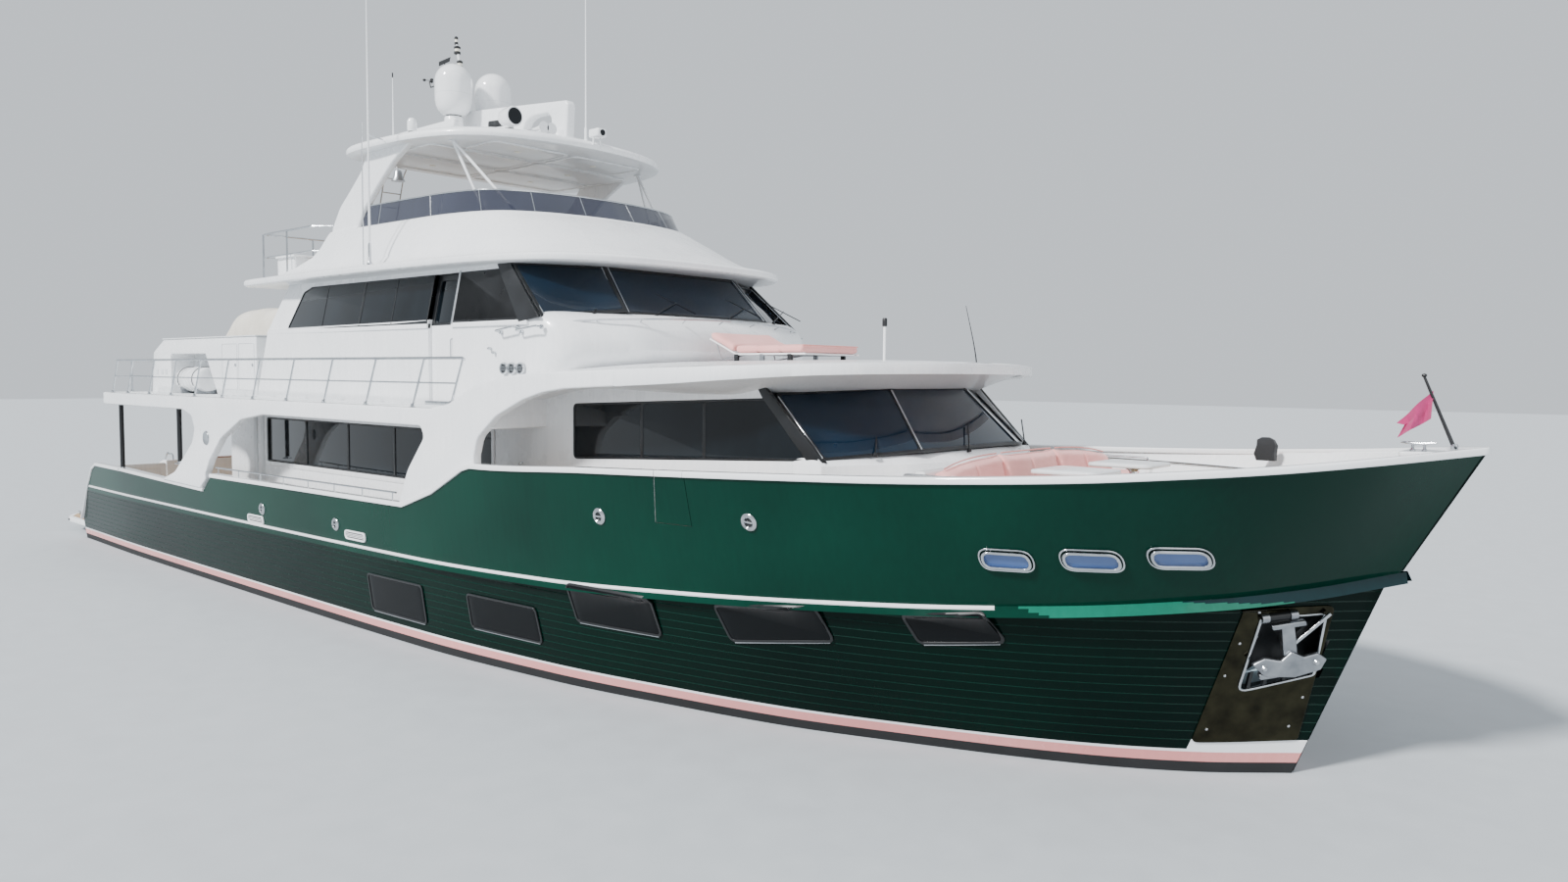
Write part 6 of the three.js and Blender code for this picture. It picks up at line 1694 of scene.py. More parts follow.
def gear(piece):
    for y in (-0.42, 0.42):
        at = (-0.94, y, 8.64)
        cone = [(0.34, -0.8), (0.28, -0.77), (0.235, -0.6), (0.17, -0.12), (0.165, -0.02), (0.15, 0)]
        piece.turn(cone, at, 36, look="white")
        piece.turn([(0.14, -0.005), (0.14, 0.02)], at, 28, look="black")
        body = [(0.15, 0.018), (0.2, 0.03), (0.27, 0.1), (0.31, 0.17), (0.33, 0.27), (0.335, 0.38)]
        body += [(0.335 * math.cos(a), 0.615 + 0.335 * math.sin(a)) for a in np.linspace(0, math.pi / 2, 14)]
        piece.turn(body, at, 48, look="cap")
        piece.turn([(0.3365, 0.385), (0.3365, 0.393)], at, 48, look="soffit")
    piece.add(side_plate([MAST_FIN], -0.09, 0.09, 0.035), "white")
    # A black slot in the fin: painted shade in a vent opening
    slot = rounded([(-0.35, 8.42), (0.25, 8.38), (0.25, 8.5), (-0.35, 8.54)], 0.04)
    piece.add(side_plate([slot], -0.094, 0.094, 0.004), "black")
    piece.turn([(0.23, 0), (0.22, 0.03), (0.2, 0.06), (0.19, 0.2)], (1.69, 0, 7.88), look="white")
    piece.bar([(-1.14, 0, 8.7), (-1.5, 0, 10.18)], [0.032, 0.022], 14, "cap")
    for x, z, r in ((-1.32, 9.44, 0.06), (-1.39, 9.74, 0.055), (-1.47, 10.02, 0.06), (-1.5, 10.2, 0.035)):
        stack = (
            (0.6, -0.07), (1, -0.06), (1, -0.02), (0.7, -0.015), (0.7, 0.035), (1, 0.04), (1, 0.07),
            (0.5, 0.09)
        )
        piece.turn([(r * share, up) for share, up in stack], (x, 0, z), 20, look="black")
        piece.turn([(r * 0.78, -0.014), (r * 0.78, 0.034)], (x, 0, z), 20, look="lamp")
    piece.bar([(-1.33, 0, 9.5), (-2.4, 0, 9.5), (-2.45, 0, 9.62)], 0.012, 8, "black")
    for turn in (0, 2.1, 4.2):
        cup = (-2.45 + 0.09 * math.cos(turn), 0.09 * math.sin(turn), 9.64)
        piece.bar([(-2.45, 0, 9.64), cup], 0.005, 6, "black")
        piece.turn(
            [(0.0, -0.03), (0.028, -0.015), (0.032, 0.0), (0.028, 0.015), (0.0, 0.03)], cup, 12, look="black"
        )
    piece.bar([(-1.9, 0, 9.5), (-1.9, 0, 9.86)], 0.008, 8, "black")
    piece.add(
        side_plate([[(-2.1, 9.85), (-1.74, 9.87), (-1.7, 9.95), (-2.1, 9.93)]], -0.004, 0.004, 0.001), "black"
    )
    x, y, z = 0.5, -2.1, 7.79
    piece.turn([(0.08, 0), (0.08, 0.05), (0.06, 0.07), (0.06, 0.1)], (x, y, z), 24, look="black")
    piece.turn(
        [(0.065, 0.1), (0.075, 0.13), (0.075, 0.26), (0.05, 0.31), (0, 0.33)], (x, y, z), 24, look="cap"
    )
    x, y, z = 1.6, -1.0, 7.84
    piece.turn([(0.13, 0), (0.13, 0.05), (0.09, 0.08), (0.08, 0.14)], (x, y, z), 24, look="black")
    piece.turn([(0.07, 0.14), (0.075, 0.2)], (x, y, z), 24, look="cap")
    at = (x, y, z + 0.32)
    piece.turn(
        [(0.06, -0.16), (0.13, -0.13), (0.155, -0.02), (0.16, 0.14), (0.145, 0.16)], at, 28, FORWARD, "cap"
    )
    piece.turn([(0.14, 0.15), (0.13, 0.165), (0.0, 0.17)], at, 28, FORWARD, "glass")
    for y in (-0.68, -0.52):
        horn = [(0.02, -0.3), (0.022, 0.0), (0.035, 0.12), (0.06, 0.2), (0.09, 0.24), (0.095, 0.25)]
        piece.turn(horn, (1.85, y, 7.99), 24, FORWARD, "cap")
        piece.turn([(0.085, 0.244), (0.0, 0.2)], (1.85, y, 7.991), 24, FORWARD, "black")
        piece.add(block(1.7, 1.78, y - 0.02, y + 0.02, 7.82, 7.98, 0.005), "cap")
    piece.add(block(2.5, 2.75, -0.1, 0.1, 7.86, 8.0, 0.03), "cap")
    piece.turn([(0.05, 0), (0.05, 0.012), (0.0, 0.014)], (2.745, 0, 7.93), 20, FORWARD, "glass")
    for y in (-0.07, 0.07):
        piece.bar([(2.6, y, 7.74), (2.6, y, 7.88)], 0.014, 8, "cap")
    for x, y, z, tall in ((2.32, 0, 7.84, 3.52), (-1.15, -1.5, 7.8, 1.44)):
        piece.turn(
            [(0.05, 0), (0.05, 0.015), (0.026, 0.04), (0.026, 0.2), (0.016, 0.24)], (x, y, z), 16, look="cap"
        )
        piece.bar([(x, y, z + 0.1), (x, y, z + tall / 2), (x, y, z + tall)], [0.016, 0.01, 0.005], look="cap")
    piece.bar([(-1.15, -1.5, 9.16), (-1.15, -1.5, 9.24)], 0.012, 8, "black")
    for y in (-1.0, -0.62):
        piece.bar(
            [(-2.95, y, 6.0), (-2.35, y, 7.72), (-2.12, y, 7.96), (-1.8, y, 8.0), (-1.5, y, 7.84)], 0.016
        )
    for s in np.linspace(0.05, 0.95, 7):
        x, z = -2.95 + 0.6 * s, 6.0 + 1.72 * s
        piece.bar([(x, -1.0, z), (x, -0.62, z)], 0.012, 8)
    bell = [(0.0, 0.0), (0.05, -0.005), (0.07, -0.04), (0.08, -0.12), (0.12, -0.19), (0.125, -0.2)]
    piece.turn(bell[::-1], (-1.62, -1.15, 7.66), 28, look="dull_steel")
    piece.bar([(-1.62, -1.15, 7.65), (-1.62, -1.15, 7.72), (-1.3, -1.15, 7.74)], 0.012, 8)


def radar():
    at = (-0.2, -1.4, 7.78)
    piece = Piece("radar_pedestal")
    piece.turn(
        [(0.2, 0.04), (0.19, 0.07), (0.175, 0.12), (0.14, 0.2), (0.135, 0.22), (0.11, 0.222)], at, look="cap"
    )
    piece.done("yacht", "gelcoat_white")
    piece = Piece("radar_arm")
    piece.turn([(0.1, 0.226), (0.105, 0.24), (0.09, 0.29)], at, 28, look="grey")
    profile = rounded([(-0.07, 0), (0.07, 0), (0.055, 0.14), (-0.055, 0.14)], 0.03, 4)
    arm = [
        [(x, -1.4 + a * k, 8.056 + 0.07 + (b - 0.07) * k) for a, b in profile]
        for x, k in ((-1.1, 0.6), (-1.09, 0.85), (-1.05, 1), (0.65, 1), (0.69, 0.85), (0.7, 0.6))
    ]
    piece.add(loft(arm), "cap")
    piece.add(block(-0.32, -0.08, -1.475, -1.325, 8.04, 8.08, 0.015), "cap")
    piece.done("radar_scanner", "gelcoat_white", "radar_scanner")


flybridge()


# Hull fittings
def wrapped(shape, pitch=0.12):
    """A side-view plate bent onto the starboard hull: its -y becomes the distance out from the skin."""
    low, high = shape[0][:, 0].min(), shape[0][:, 0].max()
    points, faces = sliced(shape, 0, np.arange(low + pitch, high, pitch))
    bent = []
    for x, y, z in points:
        at, out = on_hull(x, z)
        bent.append(at - out * y)
    return np.array(bent), faces


def hull_line(points, radius, proud=0.0, step=0.1, sides=10):
    """A bar along (x, z) points on the starboard hull."""
    p = np.asarray(points, float)
    run = np.concatenate([[0], np.cumsum(np.linalg.norm(np.diff(p, axis=0), axis=1))])
    places = np.unique(np.concatenate([np.arange(0, run[-1], step), run]))
    path = [on_hull(np.interp(s, run, p[:, 0]), np.interp(s, run, p[:, 1]), proud)[0] for s in places]
    return tube(path, radius, sides)


def set_on_hull(shape, x, z):
    """A small form drawn about the origin with +Z outward, set on the starboard hull."""
    at, out = on_hull(x, z)
    return stood(shape[0], out, at), shape[1]


HULL_WINDOWS = [
    rect(1.42, 2.86, 0.41, 0.94), rect(4.0, 5.4, 0.54, 0.98), rect(6.2, 7.5, 0.96, 1.41),
    [(8.52, 1.05), (9.76, 1.21), (9.69, 1.57), (8.43, 1.44)],
    [(10.7, 1.31), (11.48, 1.39), (11.42, 1.69), (10.62, 1.59)]
]
OVAL_PORTS = [(11.52, 11.91, 2.28), (12.21, 12.62, 2.32), (12.88, 13.27, 2.365)]
FAIRLEADS = [(6.88, 2.33), (9.09, 2.455), (0.54, 1.62), (-2.06, 1.63)]
OVAL_VENTS = [(-2.34, 1.43), (1.15, 1.5)]
PORT_HALF_TALL = 0.07


def oval(x0, x1, z, half, grow=0.0):
    return rounded(rect(x0 - grow, x1 + grow, z - half - grow, z + half + grow), (half + grow) * 0.98, 7)


def hull_windows():
    for side, flip in SIDES:
        piece = Piece("hull_windows_" + side)
        for corners in HULL_WINDOWS:
            outline = rounded(corners, 0.05)
            piece.add(wrapped(side_plate([outline], -0.012, -0.002, 0.002)), "hull_glass")
            piece.add(
                wrapped(side_plate([inset(outline, -0.03), outline[::-1]], -0.02, 0.0, 0.005)), "gasket"
            )
            (x0, z0), (x1, z1) = corners[0], corners[1]
            piece.add(hull_line([(x0 + 0.03, z0 - 0.035), (x1 - 0.03, z1 - 0.035)], 0.009, 0.008), "steel")
        piece.done("yacht", "tinted_glass", flip=flip)
        piece = Piece("hull_fittings_" + side)
        for x0, x1, z in OVAL_PORTS:
            for grow, wide, proud in ((0.045, 0.016, 0.026), (0.018, 0.024, 0.044)):
                rim = oval(x0, x1, z, PORT_HALF_TALL, grow)
                hole = oval(x0, x1, z, PORT_HALF_TALL, grow - wide)
                piece.add(wrapped(side_plate([rim, hole[::-1]], -proud, 0.0, 0.008)), "steel")
            piece.add(
                wrapped(side_plate([oval(x0, x1, z, PORT_HALF_TALL)], -0.012, 0.0, 0.002)), "blue_glass"
            )
        ring = [(0.045, -0.02), (0.052, 0.022), (0.066, 0.034), (0.085, 0.028), (0.1, 0.012), (0.102, -0.01)]
        for x, z in FAIRLEADS:
            piece.add(set_on_hull(turned(ring, sides=28), x, z), "steel")
            # A black disc in the fairlead's hole: painted shade
            piece.add(set_on_hull(turned([(0.05, -0.01), (0.05, 0.006)], sides=24), x, z), "black")
            piece.add(set_on_hull(tube([(-0.05, 0, 0.012), (0.05, 0, 0.012)], 0.012, 10), x, z), "steel")
        for x, z in OVAL_VENTS:
            rim, hole = oval(x - 0.31, x + 0.31, z, 0.075), oval(x - 0.31, x + 0.31, z, 0.075, -0.03)
            piece.add(wrapped(side_plate([rim, hole[::-1]], -0.03, 0.0, 0.01)), "cap")
            # A black sheet behind the louvres: painted shade inside the vent
            piece.add(wrapped(side_plate([hole], -0.008, 0.0, 0.002)), "black")
            for dz in (-0.022, 0, 0.022):
                bar = rect(x - 0.27, x + 0.27, z + dz - 0.005, z + dz + 0.005)
                piece.add(wrapped(side_plate([bar], -0.022, -0.004, 0.002)), "cap")
        reach = KNUCKLE[-1][0] - TRANSOM_X
        rub = np.linspace((-11.48 - TRANSOM_X) / reach, (11.5 - TRANSOM_X) / reach, 220)
        path = rail(KNUCKLE, rub)
        path[:, 1] -= 0.004
        path[:, 2] -= 0.02
        piece.bar(path, 0.026, look="cap")
        piece.done("yacht", "stainless", flip=flip)


hull_windows()


# Anchor pocket: a polished plate on the bow, a recess through it, and the anchor in the recess
ANCHOR_PLATE = [(12.86, 0.34), (13.68, 0.38), (14.03, 1.84), (13.4, 1.81)]
POCKET = [(13.25, 0.91), (13.84, 1.1), (13.97, 1.77), (13.5, 1.73)]


def pocket_back(point, share=1.0):
    x, y, z = point
    deep = min(0.24, 0.65 * abs(y)) * share
    return (x - 0.35 * deep, y + deep, z)


def anchors():
    outline, opening = rounded(ANCHOR_PLATE, 0.05), rounded(POCKET, (0.06, 0.06, 0.05, 0.05))
    plate = wrapped(side_plate([outline, opening[::-1]], -0.014, -0.002, 0.004), 0.06)
    lip = wrapped(side_plate([opening, inset(opening, 0.018)[::-1]], -0.03, 0.004, 0.006), 0.06)
    mouth = np.array([on_hull(x, z, 0.012)[0] for x, z in opening])
    rings = [mouth, *([pocket_back(p, share) for p in mouth] for share in (0.5, 1.0))]
    walls = sheet(rings, around=True)
    back = np.array(rings[-1])
    middle = back.mean(0)
    rear = sheet([back, *(middle + (back - middle) * k for k in (0.6, 0.2, 0.02))], around=True)
    low = [(13.27, 0.92), (13.82, 1.09), (13.85, 1.24), (13.32, 1.13)]
    for side, flip in SIDES:
        piece = Piece("anchor_plate_" + side)
        # The pocket's walls and the upper part of its back are black: painted shade; its lower back is pale
        # blue-grey painted shade
        piece.add(plate, "anchor_plate").add(lip, "steel").add(walls, "gasket")
        piece.add(rear, split_at(rear, 1.2, "recess", "gasket"))
        for share in (0.14, 0.36, 0.62, 0.84):
            a = np.array(low[0]) + (np.array(low[1]) - low[0]) * share
            b = np.array(low[3]) + (np.array(low[2]) - low[3]) * share
            rib = [(a[0] - 0.012, a[1]), (a[0] + 0.012, a[1]), (b[0] + 0.012, b[1]), (b[0] - 0.012, b[1])]
            piece.add(wrapped(side_plate([rib], -0.012, 0.03, 0.003)), "gasket")
        # Lines along the pocket's low edges, in the pale blue-grey of painted shade
        for (x0, z0), (x1, z1) in ((low[0], low[1]), (low[3], low[2])):
            piece.add(hull_line([(x0, z0), (x1, z1)], 0.012, -0.005, 0.08), "recess")
        for x, z in ((13.0, 0.5), (13.62, 0.54), (13.5, 1.78), (13.19, 1.1), (13.74, 0.86), (13.33, 1.45)):
            piece.add(
                set_on_hull(turned([(0.012, 0.01), (0.014, 0.018), (0.008, 0.024)], sides=14), x, z), "steel"
            )
        piece.done("yacht", "stainless", flip=flip)
        anchor = Piece("stowed_anchor_" + side)
        shank = [(13.62, 1.66), (13.71, 1.68), (13.71, 1.36), (13.61, 1.33)]
        anchor.add(wrapped(side_plate([rounded(shank, 0.02)], -0.09, -0.02, 0.014), 0.05), "dull_steel")
        crown = [(13.55, 1.63), (13.79, 1.68), (13.79, 1.73), (13.55, 1.68)]
        anchor.add(wrapped(side_plate([rounded(crown, 0.015)], -0.1, -0.04, 0.012), 0.05), "dull_steel")
        fluke = [
            (13.37, 1.28), (13.47, 1.35), (13.58, 1.32), (13.66, 1.42), (13.74, 1.36), (13.84, 1.4),
            (13.9, 1.33), (13.85, 1.22), (13.66, 1.14), (13.45, 1.15)
        ]
        anchor.add(wrapped(side_plate([rounded(fluke, 0.02, 3)], -0.13, -0.075, 0.02), 0.05), "dull_steel")
        palm = [(13.42, 1.1), (13.84, 1.19), (13.82, 1.24), (13.42, 1.16)]
        anchor.add(wrapped(side_plate([rounded(palm, 0.015)], -0.1, -0.03, 0.01), 0.05), "dull_steel")
        for x, z in ((13.45, 1.25), (13.82, 1.31)):
            anchor.add(
                set_on_hull(turned([(0.028, 0.11), (0.032, 0.13), (0.02, 0.15)], sides=16), x, z), "steel"
            )
        anchor.add(hull_line([(13.69, 1.46), (13.97, 1.78)], 0.02, 0.06, 0.05, 12), "steel")
        anchor.add(hull_line([(13.5, 1.72), (13.74, 1.76)], 0.042, 0.02, 0.05, 16), "black")
        for ends in ([(13.5, 1.72), (13.55, 1.728)], [(13.7, 1.752), (13.75, 1.76)]):
            anchor.add(hull_line(ends, 0.052, 0.02, 0.03, 16), "dull_steel")
        anchor.done("yacht", "stainless", "anchor_" + side, flip=flip)


anchors()


# Stern: platform, stairs, transom and gates
def stern():
    piece = Piece("transom_moulding")
    body = [(-10.951, 0.332), (-12.15, 0.332), (-12.15, 0.62), (-11.4, 1.8), (-11.15, 1.86), (-10.951, 1.86)]
    piece.add(side_plate([rounded(body, (0, 0, 0.08, 0.16, 0.1, 0))], -1.9, 1.9, 0.035), "white")
    slope = math.atan2(1.18, 0.75)
    for y0, y1 in ((-1.62, -0.62), (-0.5, 0.5), (0.62, 1.62)):
        panel = [(-12.06, 0.79), (-11.5, 1.67)]
        outline = rounded(rect(y0, y1, 0, math.dist(*panel)), 0.07)
        points, faces = filled([outline, inset(outline, 0.018)[::-1]], 0.014, 0.004)
        up = np.array([math.cos(slope), 0, math.sin(slope)])
        out = np.array([-math.sin(slope), 0, math.cos(slope)])
        placed = np.array([(-12.06, 0, 0.775)]) + np.outer(points[:, 1], up) + np.outer(points[:, 2], out)
        piece.add((placed + np.outer(points[:, 0], (0, 1, 0)), faces), "gasket")
    steps = [(-12.34 + 0.3475 * n, 0.55 + 0.2 * n) for n in range(4)]
    for n, (x, z) in enumerate(steps):
        run = 0.3475 if n < 3 else -10.951 - x
        piece.add(
            block(x, -10.951, -3.1, -1.89, z - 0.2 if n else 0.332, z - 0.012, 0.012), "white", both=True
        )
        piece.add(block(x - 0.012, x + run - 0.004, -3.09, -1.905, z - 0.014, z, 0.006), "teak", both=True)
        piece.add(block(x - 0.004, x, -2.9, -2.1, z - 0.13, z - 0.1, 0.001), "lamp", both=True)
    grab = [
        (-12.12, -1.7, 0.62), (-12.2, -1.7, 0.8), (-11.5, -1.7, 1.9), (-11.3, -1.7, 1.98),
        (-11.1, -1.7, 1.98), (-11.05, -1.7, 1.85)
    ]
    piece.bar(curve_through(grab, 5), 0.018, both=True)
    piece.add(block(-11.3, -10.96, -1.5, 1.5, 1.855, 1.885, 0.012), "varnish")
    piece.add(slab([rect(-12.399, -10.93, -3.12, 3.12)], 0.31, 0.331, 0.004), "white")
    piece.done("yacht", "gelcoat_white", "transom")

    plan = [
        (-12.401, -3.05), (-12.401, 3.05), (-14.1, 3.05), (-14.6, 2.8), (-14.8, 2.35), (-14.8, -2.35),
        (-14.6, -2.8), (-14.1, -3.05)
    ]
    outline = rounded(plan, (0, 0, 0.3, 0.3, 0.3, 0.3, 0.3, 0.3))
    piece = Piece("bathing_platform")
    piece.add(slab([outline], 0.2, 0.344, 0.04), "white")
    laid = inset(outline, 0.09)
    piece.add(slab([laid], 0.335, 0.35, 0.003), "teak")
    piece.add(slab([outline, laid[::-1]], 0.334, 0.346, 0.003), "nonskid")
    piece.bar([(x, y, 0.27) for x, y in outline[2:]], 0.022, look="rubber")
    for y in (-2.2, 2.2):
        loop = ((-12.9, 0.34), (-12.9, 0.62), (-12.98, 0.7), (-13.22, 0.7), (-13.3, 0.62), (-13.3, 0.34))
        loop = [(x, y, z) for x, z in loop]
        piece.bar(rounded(loop, 0.07, 5, closed=False), 0.019, 12)
    for y in (-2.2, -0.75, 0.75, 2.2):
        bracket = [(-12.42, 0.19), (-14.3, 0.19), (-14.35, 0.13), (-12.42, -0.25)]
        piece.add(side_plate([rounded(bracket, 0.03)], y - 0.02, y + 0.02, 0.008), "steel")
    for y in (-2.75, 2.75):
        piece.add(moved(cleat(), (-14.25, y, 0.35)), "steel")
    ladder = [(LADDER_X, y, z) for y, z in ((-0.24, 0.3), (-0.24, -0.55), (0.24, -0.55), (0.24, 0.3))]
    piece.bar(rounded(ladder, 0.06, closed=False), 0.016)
    for z in (0.05, -0.2, -0.42):
        piece.bar([(LADDER_X, -0.24, z), (LADDER_X, 0.24, z)], 0.014, 8)
    piece.done("yacht", "teak", "swim_platform")

    for side, flip in SIDES:
        gate = Piece("stern_gate_leaf_" + side)
        leaf = rounded(rect(-3.14, -1.91, 1.2, 1.81), 0.06)
        light = rounded(rect(-3.02, -2.03, 1.32, 1.68), 0.05)
        gate.add(end_plate([leaf, light[::-1]], -10.928, -10.897, 0.01), "white")
        gate.add(end_plate([light], -10.92, -10.906, 0.003), "white")
        for y in (-2.8, -2.52, -2.25):
            gate.bar([(-10.925, y, 1.34), (-10.925, y, 1.66)], 0.007, 8)
        for z in (1.3, 1.7):
            gate.add(block(-10.93, -10.9, -1.95, -1.91, z - 0.04, z + 0.04, 0.006), "steel")
        gate.bar([(-10.93, -2.95, 1.6), (-10.93, -2.85, 1.6)], 0.009, 8)
        gate.done("stern_gate_" + side, "gelcoat_white", "stern_gate_" + side, flip=flip)


def cleat(long=0.3):
    """A horn cleat about the origin, along x."""
    half = long / 2
    horns = [
        (-half, 0, 0.075), (-half * 0.6, 0, 0.07), (0, 0, 0.062), (half * 0.6, 0, 0.07), (half, 0, 0.075)
    ]
    parts = [tube(horns, [0.009, 0.015, 0.018, 0.015, 0.009], 12)]
    for x in (-half * 0.33, half * 0.33):
        parts.append(turned([(0.026, 0), (0.026, 0.006), (0.014, 0.02), (0.014, 0.062)], (x, 0, 0), 16))
    return together(parts)


def together(parts):
    points, faces, count = [], [], 0
    for more, rings in parts:
        points.append(np.asarray(more, float))
        faces += [tuple(i + count for i in ring) for ring in rings]
        count += len(more)
    return np.concatenate(points), faces


stern()


# Running gear
def running_gear():
    slope = math.atan(0.48 / 4.3)
    shaft_length = 2.5 / math.cos(slope)
    hub = ((-0.22, 0.03), (-0.19, 0.07), (-0.13, 0.1), (0.0, 0.11), (0.13, 0.1), (0.15, 0.05))
    parts = [
        loft([circle_at(*place) for place in hub]), loft([circle_at(x, 0.046) for x in (0.1, shaft_length)])
    ]
    chords = ((0.07, 0.16), (0.15, 0.26), (0.25, 0.36), (0.35, 0.4), (0.43, 0.37), (0.49, 0.26), (0.515, 0.1))
    for n in range(4):
        rings = []
        for r, chord in chords:
            pitch = math.atan2(0.95, 2 * math.pi * r)
            thick = 0.022 * (1 - 0.75 * r / 0.52)
            ring = []
            for t in full_turn(14):
                c = chord / 2 * math.cos(t) + 0.05 * (r / 0.52) ** 2
                w = thick / 2 * math.sin(t) * (1 + 0.4 * math.cos(t))
                along, around = c * math.sin(pitch) + w * math.cos(pitch), c * math.cos(pitch) - w * math.sin(
                    pitch
                )
                turn = around / r + n * math.pi / 2
                ring.append((along, r * math.cos(turn), r * math.sin(turn)))
            rings.append(ring)
        parts.append(loft(rings))
    points, faces = together(parts)
    spin = np.array(Matrix.Rotation(-slope, 3, "Y"))
    wheel = points @ spin.T + (-9.9, -1.35, -1.33), faces
    foil = [(0, 0), (0.06, 0.55), (0.2, 0.95), (0.4, 1), (0.7, 0.6), (1, 0.06)]
    around = foil + [(s, -w) for s, w in foil[:0:-1]]
    edges = [
        (-1.718, -10.83, -11.38), (-1.7, -10.805, -11.42), (-1.2, -10.77, -11.47), (-0.78, -10.742, -11.515),
        (-0.762, -10.75, -11.5)
    ]
    blade = [[(fore + (aft - fore) * s, -1.35 + w * 0.034, z) for s, w in around] for z, fore, aft in edges]
    for side, flip in SIDES:
        piece = Piece("propeller_wheel_" + side)
        piece.add(wheel, "bronze").done("propeller_" + side, "bronze", "propeller_" + side, flip=flip)
        piece = Piece("rudder_blade_" + side)
        piece.add(loft(blade), "bronze").turn(
            [(0.055, -0.8), (0.05, -0.72), (0.048, -0.672)], (-11, -1.35, 0), 20
        )
        for z in (-0.95, -1.5):
            piece.add(block(-11.3, -10.86, -1.388, -1.312, z - 0.012, z + 0.012, 0.005), "bronze")
        piece.done("rudder_" + side, "bronze", "rudder_" + side, flip=flip)


def circle_at(x, radius, count=20):
    return [(x, radius * math.cos(t), radius * math.sin(t)) for t in full_turn(count)]


running_gear()


# Boat deck: locker, raft, davit, rails and the covered gear
def deck_locker():
    piece = Piece("deck_locker_unit")
    profile = [(-9.32, 3.501), (-4.06, 3.501), (-4.06, 4.64), (-8.6, 4.64), (-9.2, 4.38)]
    outer = [
        (-9.32, 3.501), (-8.25, 3.501), (-8.25, 4.28), (-8.2, 4.33), (-6.42, 4.33), (-5.85, 3.501),
        *profile[1:]
    ]
    shell = rounded(outer, (0, 0.0, 0.04, 0.04, 0.04, 0, 0, 0.05, 0.12, 0.12))
    piece.add(side_plate([shell], -2.7, -2.2, 0.02), "white")
    piece.add(side_plate([rounded(profile, (0, 0, 0.05, 0.12, 0.12))], -2.21, -2.15, 0.015), "white")
    lid = rounded([(-8.62, 4.64), (-4.04, 4.64), (-4.04, 4.665), (-8.64, 4.665)], 0.01)
    piece.add(side_plate([lid], -2.72, -2.13, 0.01), "soffit")
    for x0, x1 in ((-5.6, -4.9), (-4.84, -4.14)):
        door = rounded(rect(x0, x1, 3.62, 4.52), 0.04)
        for y0, y1 in ((-2.708, -2.7), (-2.15, -2.142)):
            piece.add(side_plate([door, inset(door, 0.012)[::-1]], y0, y1, 0.002), "soffit")
            piece.add(side_plate([circle((x1 - 0.08, 4.1), 0.03)], y0 - 0.004, y1 + 0.004, 0.003), "steel")
    for x in (-9.0, -8.72, -8.5):
        piece.add(
            side_plate([rounded(rect(x - 0.05, x + 0.05, 3.9, 4.02), 0.02)], -2.71, -2.7, 0.003), "soffit"
        )
    # The face behind the raft, in the greyer white: painted shade
    piece.add(side_plate([rect(-8.24, -6.12, BOAT_DECK_TOP, 4.33)], -2.225, -2.2, 0.002), "soffit")
    piece.done("yacht", "gelcoat_white", "deck_locker")

    raft = Piece("raft_canister")
    half = [(0.0, 0), (0.19, 0.004), (0.235, 0.03), (0.25, 0.08), (0.25, 0.56), (0.262, 0.575), (0.262, 0.6)]
    profile = half + [(r, 1.2 - h) for r, h in half[::-1]]
    raft.turn(profile, (-7.95, -2.5, 3.8), 40, FORWARD, "cap")
    for x in (-7.72, -7.53, -7.17, -6.98):
        hoop = [(0.251, -0.018), (0.256, -0.014), (0.256, 0.014), (0.251, 0.018)]
        raft.turn(hoop, (x, -2.5, 3.8), 40, FORWARD, "soffit")
    for x in (-7.72, -6.98):
        cradle = [(-2.7, BOAT_DECK_TOP), (-2.3, BOAT_DECK_TOP), (-2.3, 3.66), (-2.36, 3.7), (-2.44, 3.6)]
        cradle = rounded(cradle + [(-2.56, 3.6), (-2.64, 3.7), (-2.7, 3.66)], 0.015)
        raft.add(end_plate([cradle], x - 0.025, x + 0.025, 0.006), "dull_steel")
        turn = np.linspace(-0.5, math.pi + 0.5, 24)
        raft.bar(
            [(x, -2.5 + 0.262 * math.cos(t), 3.8 + 0.262 * math.sin(t)) for t in turn], 0.008, 6,
            "black_cloth"
        )
    raft.turn(
        [(0.03, 0), (0.034, 0.01), (0.034, 0.12), (0.0, 0.13)], (-6.86, -2.3, 3.62), 16, look="red_lamp"
    )
    raft.done("yacht", "gelcoat_white", "life_raft")


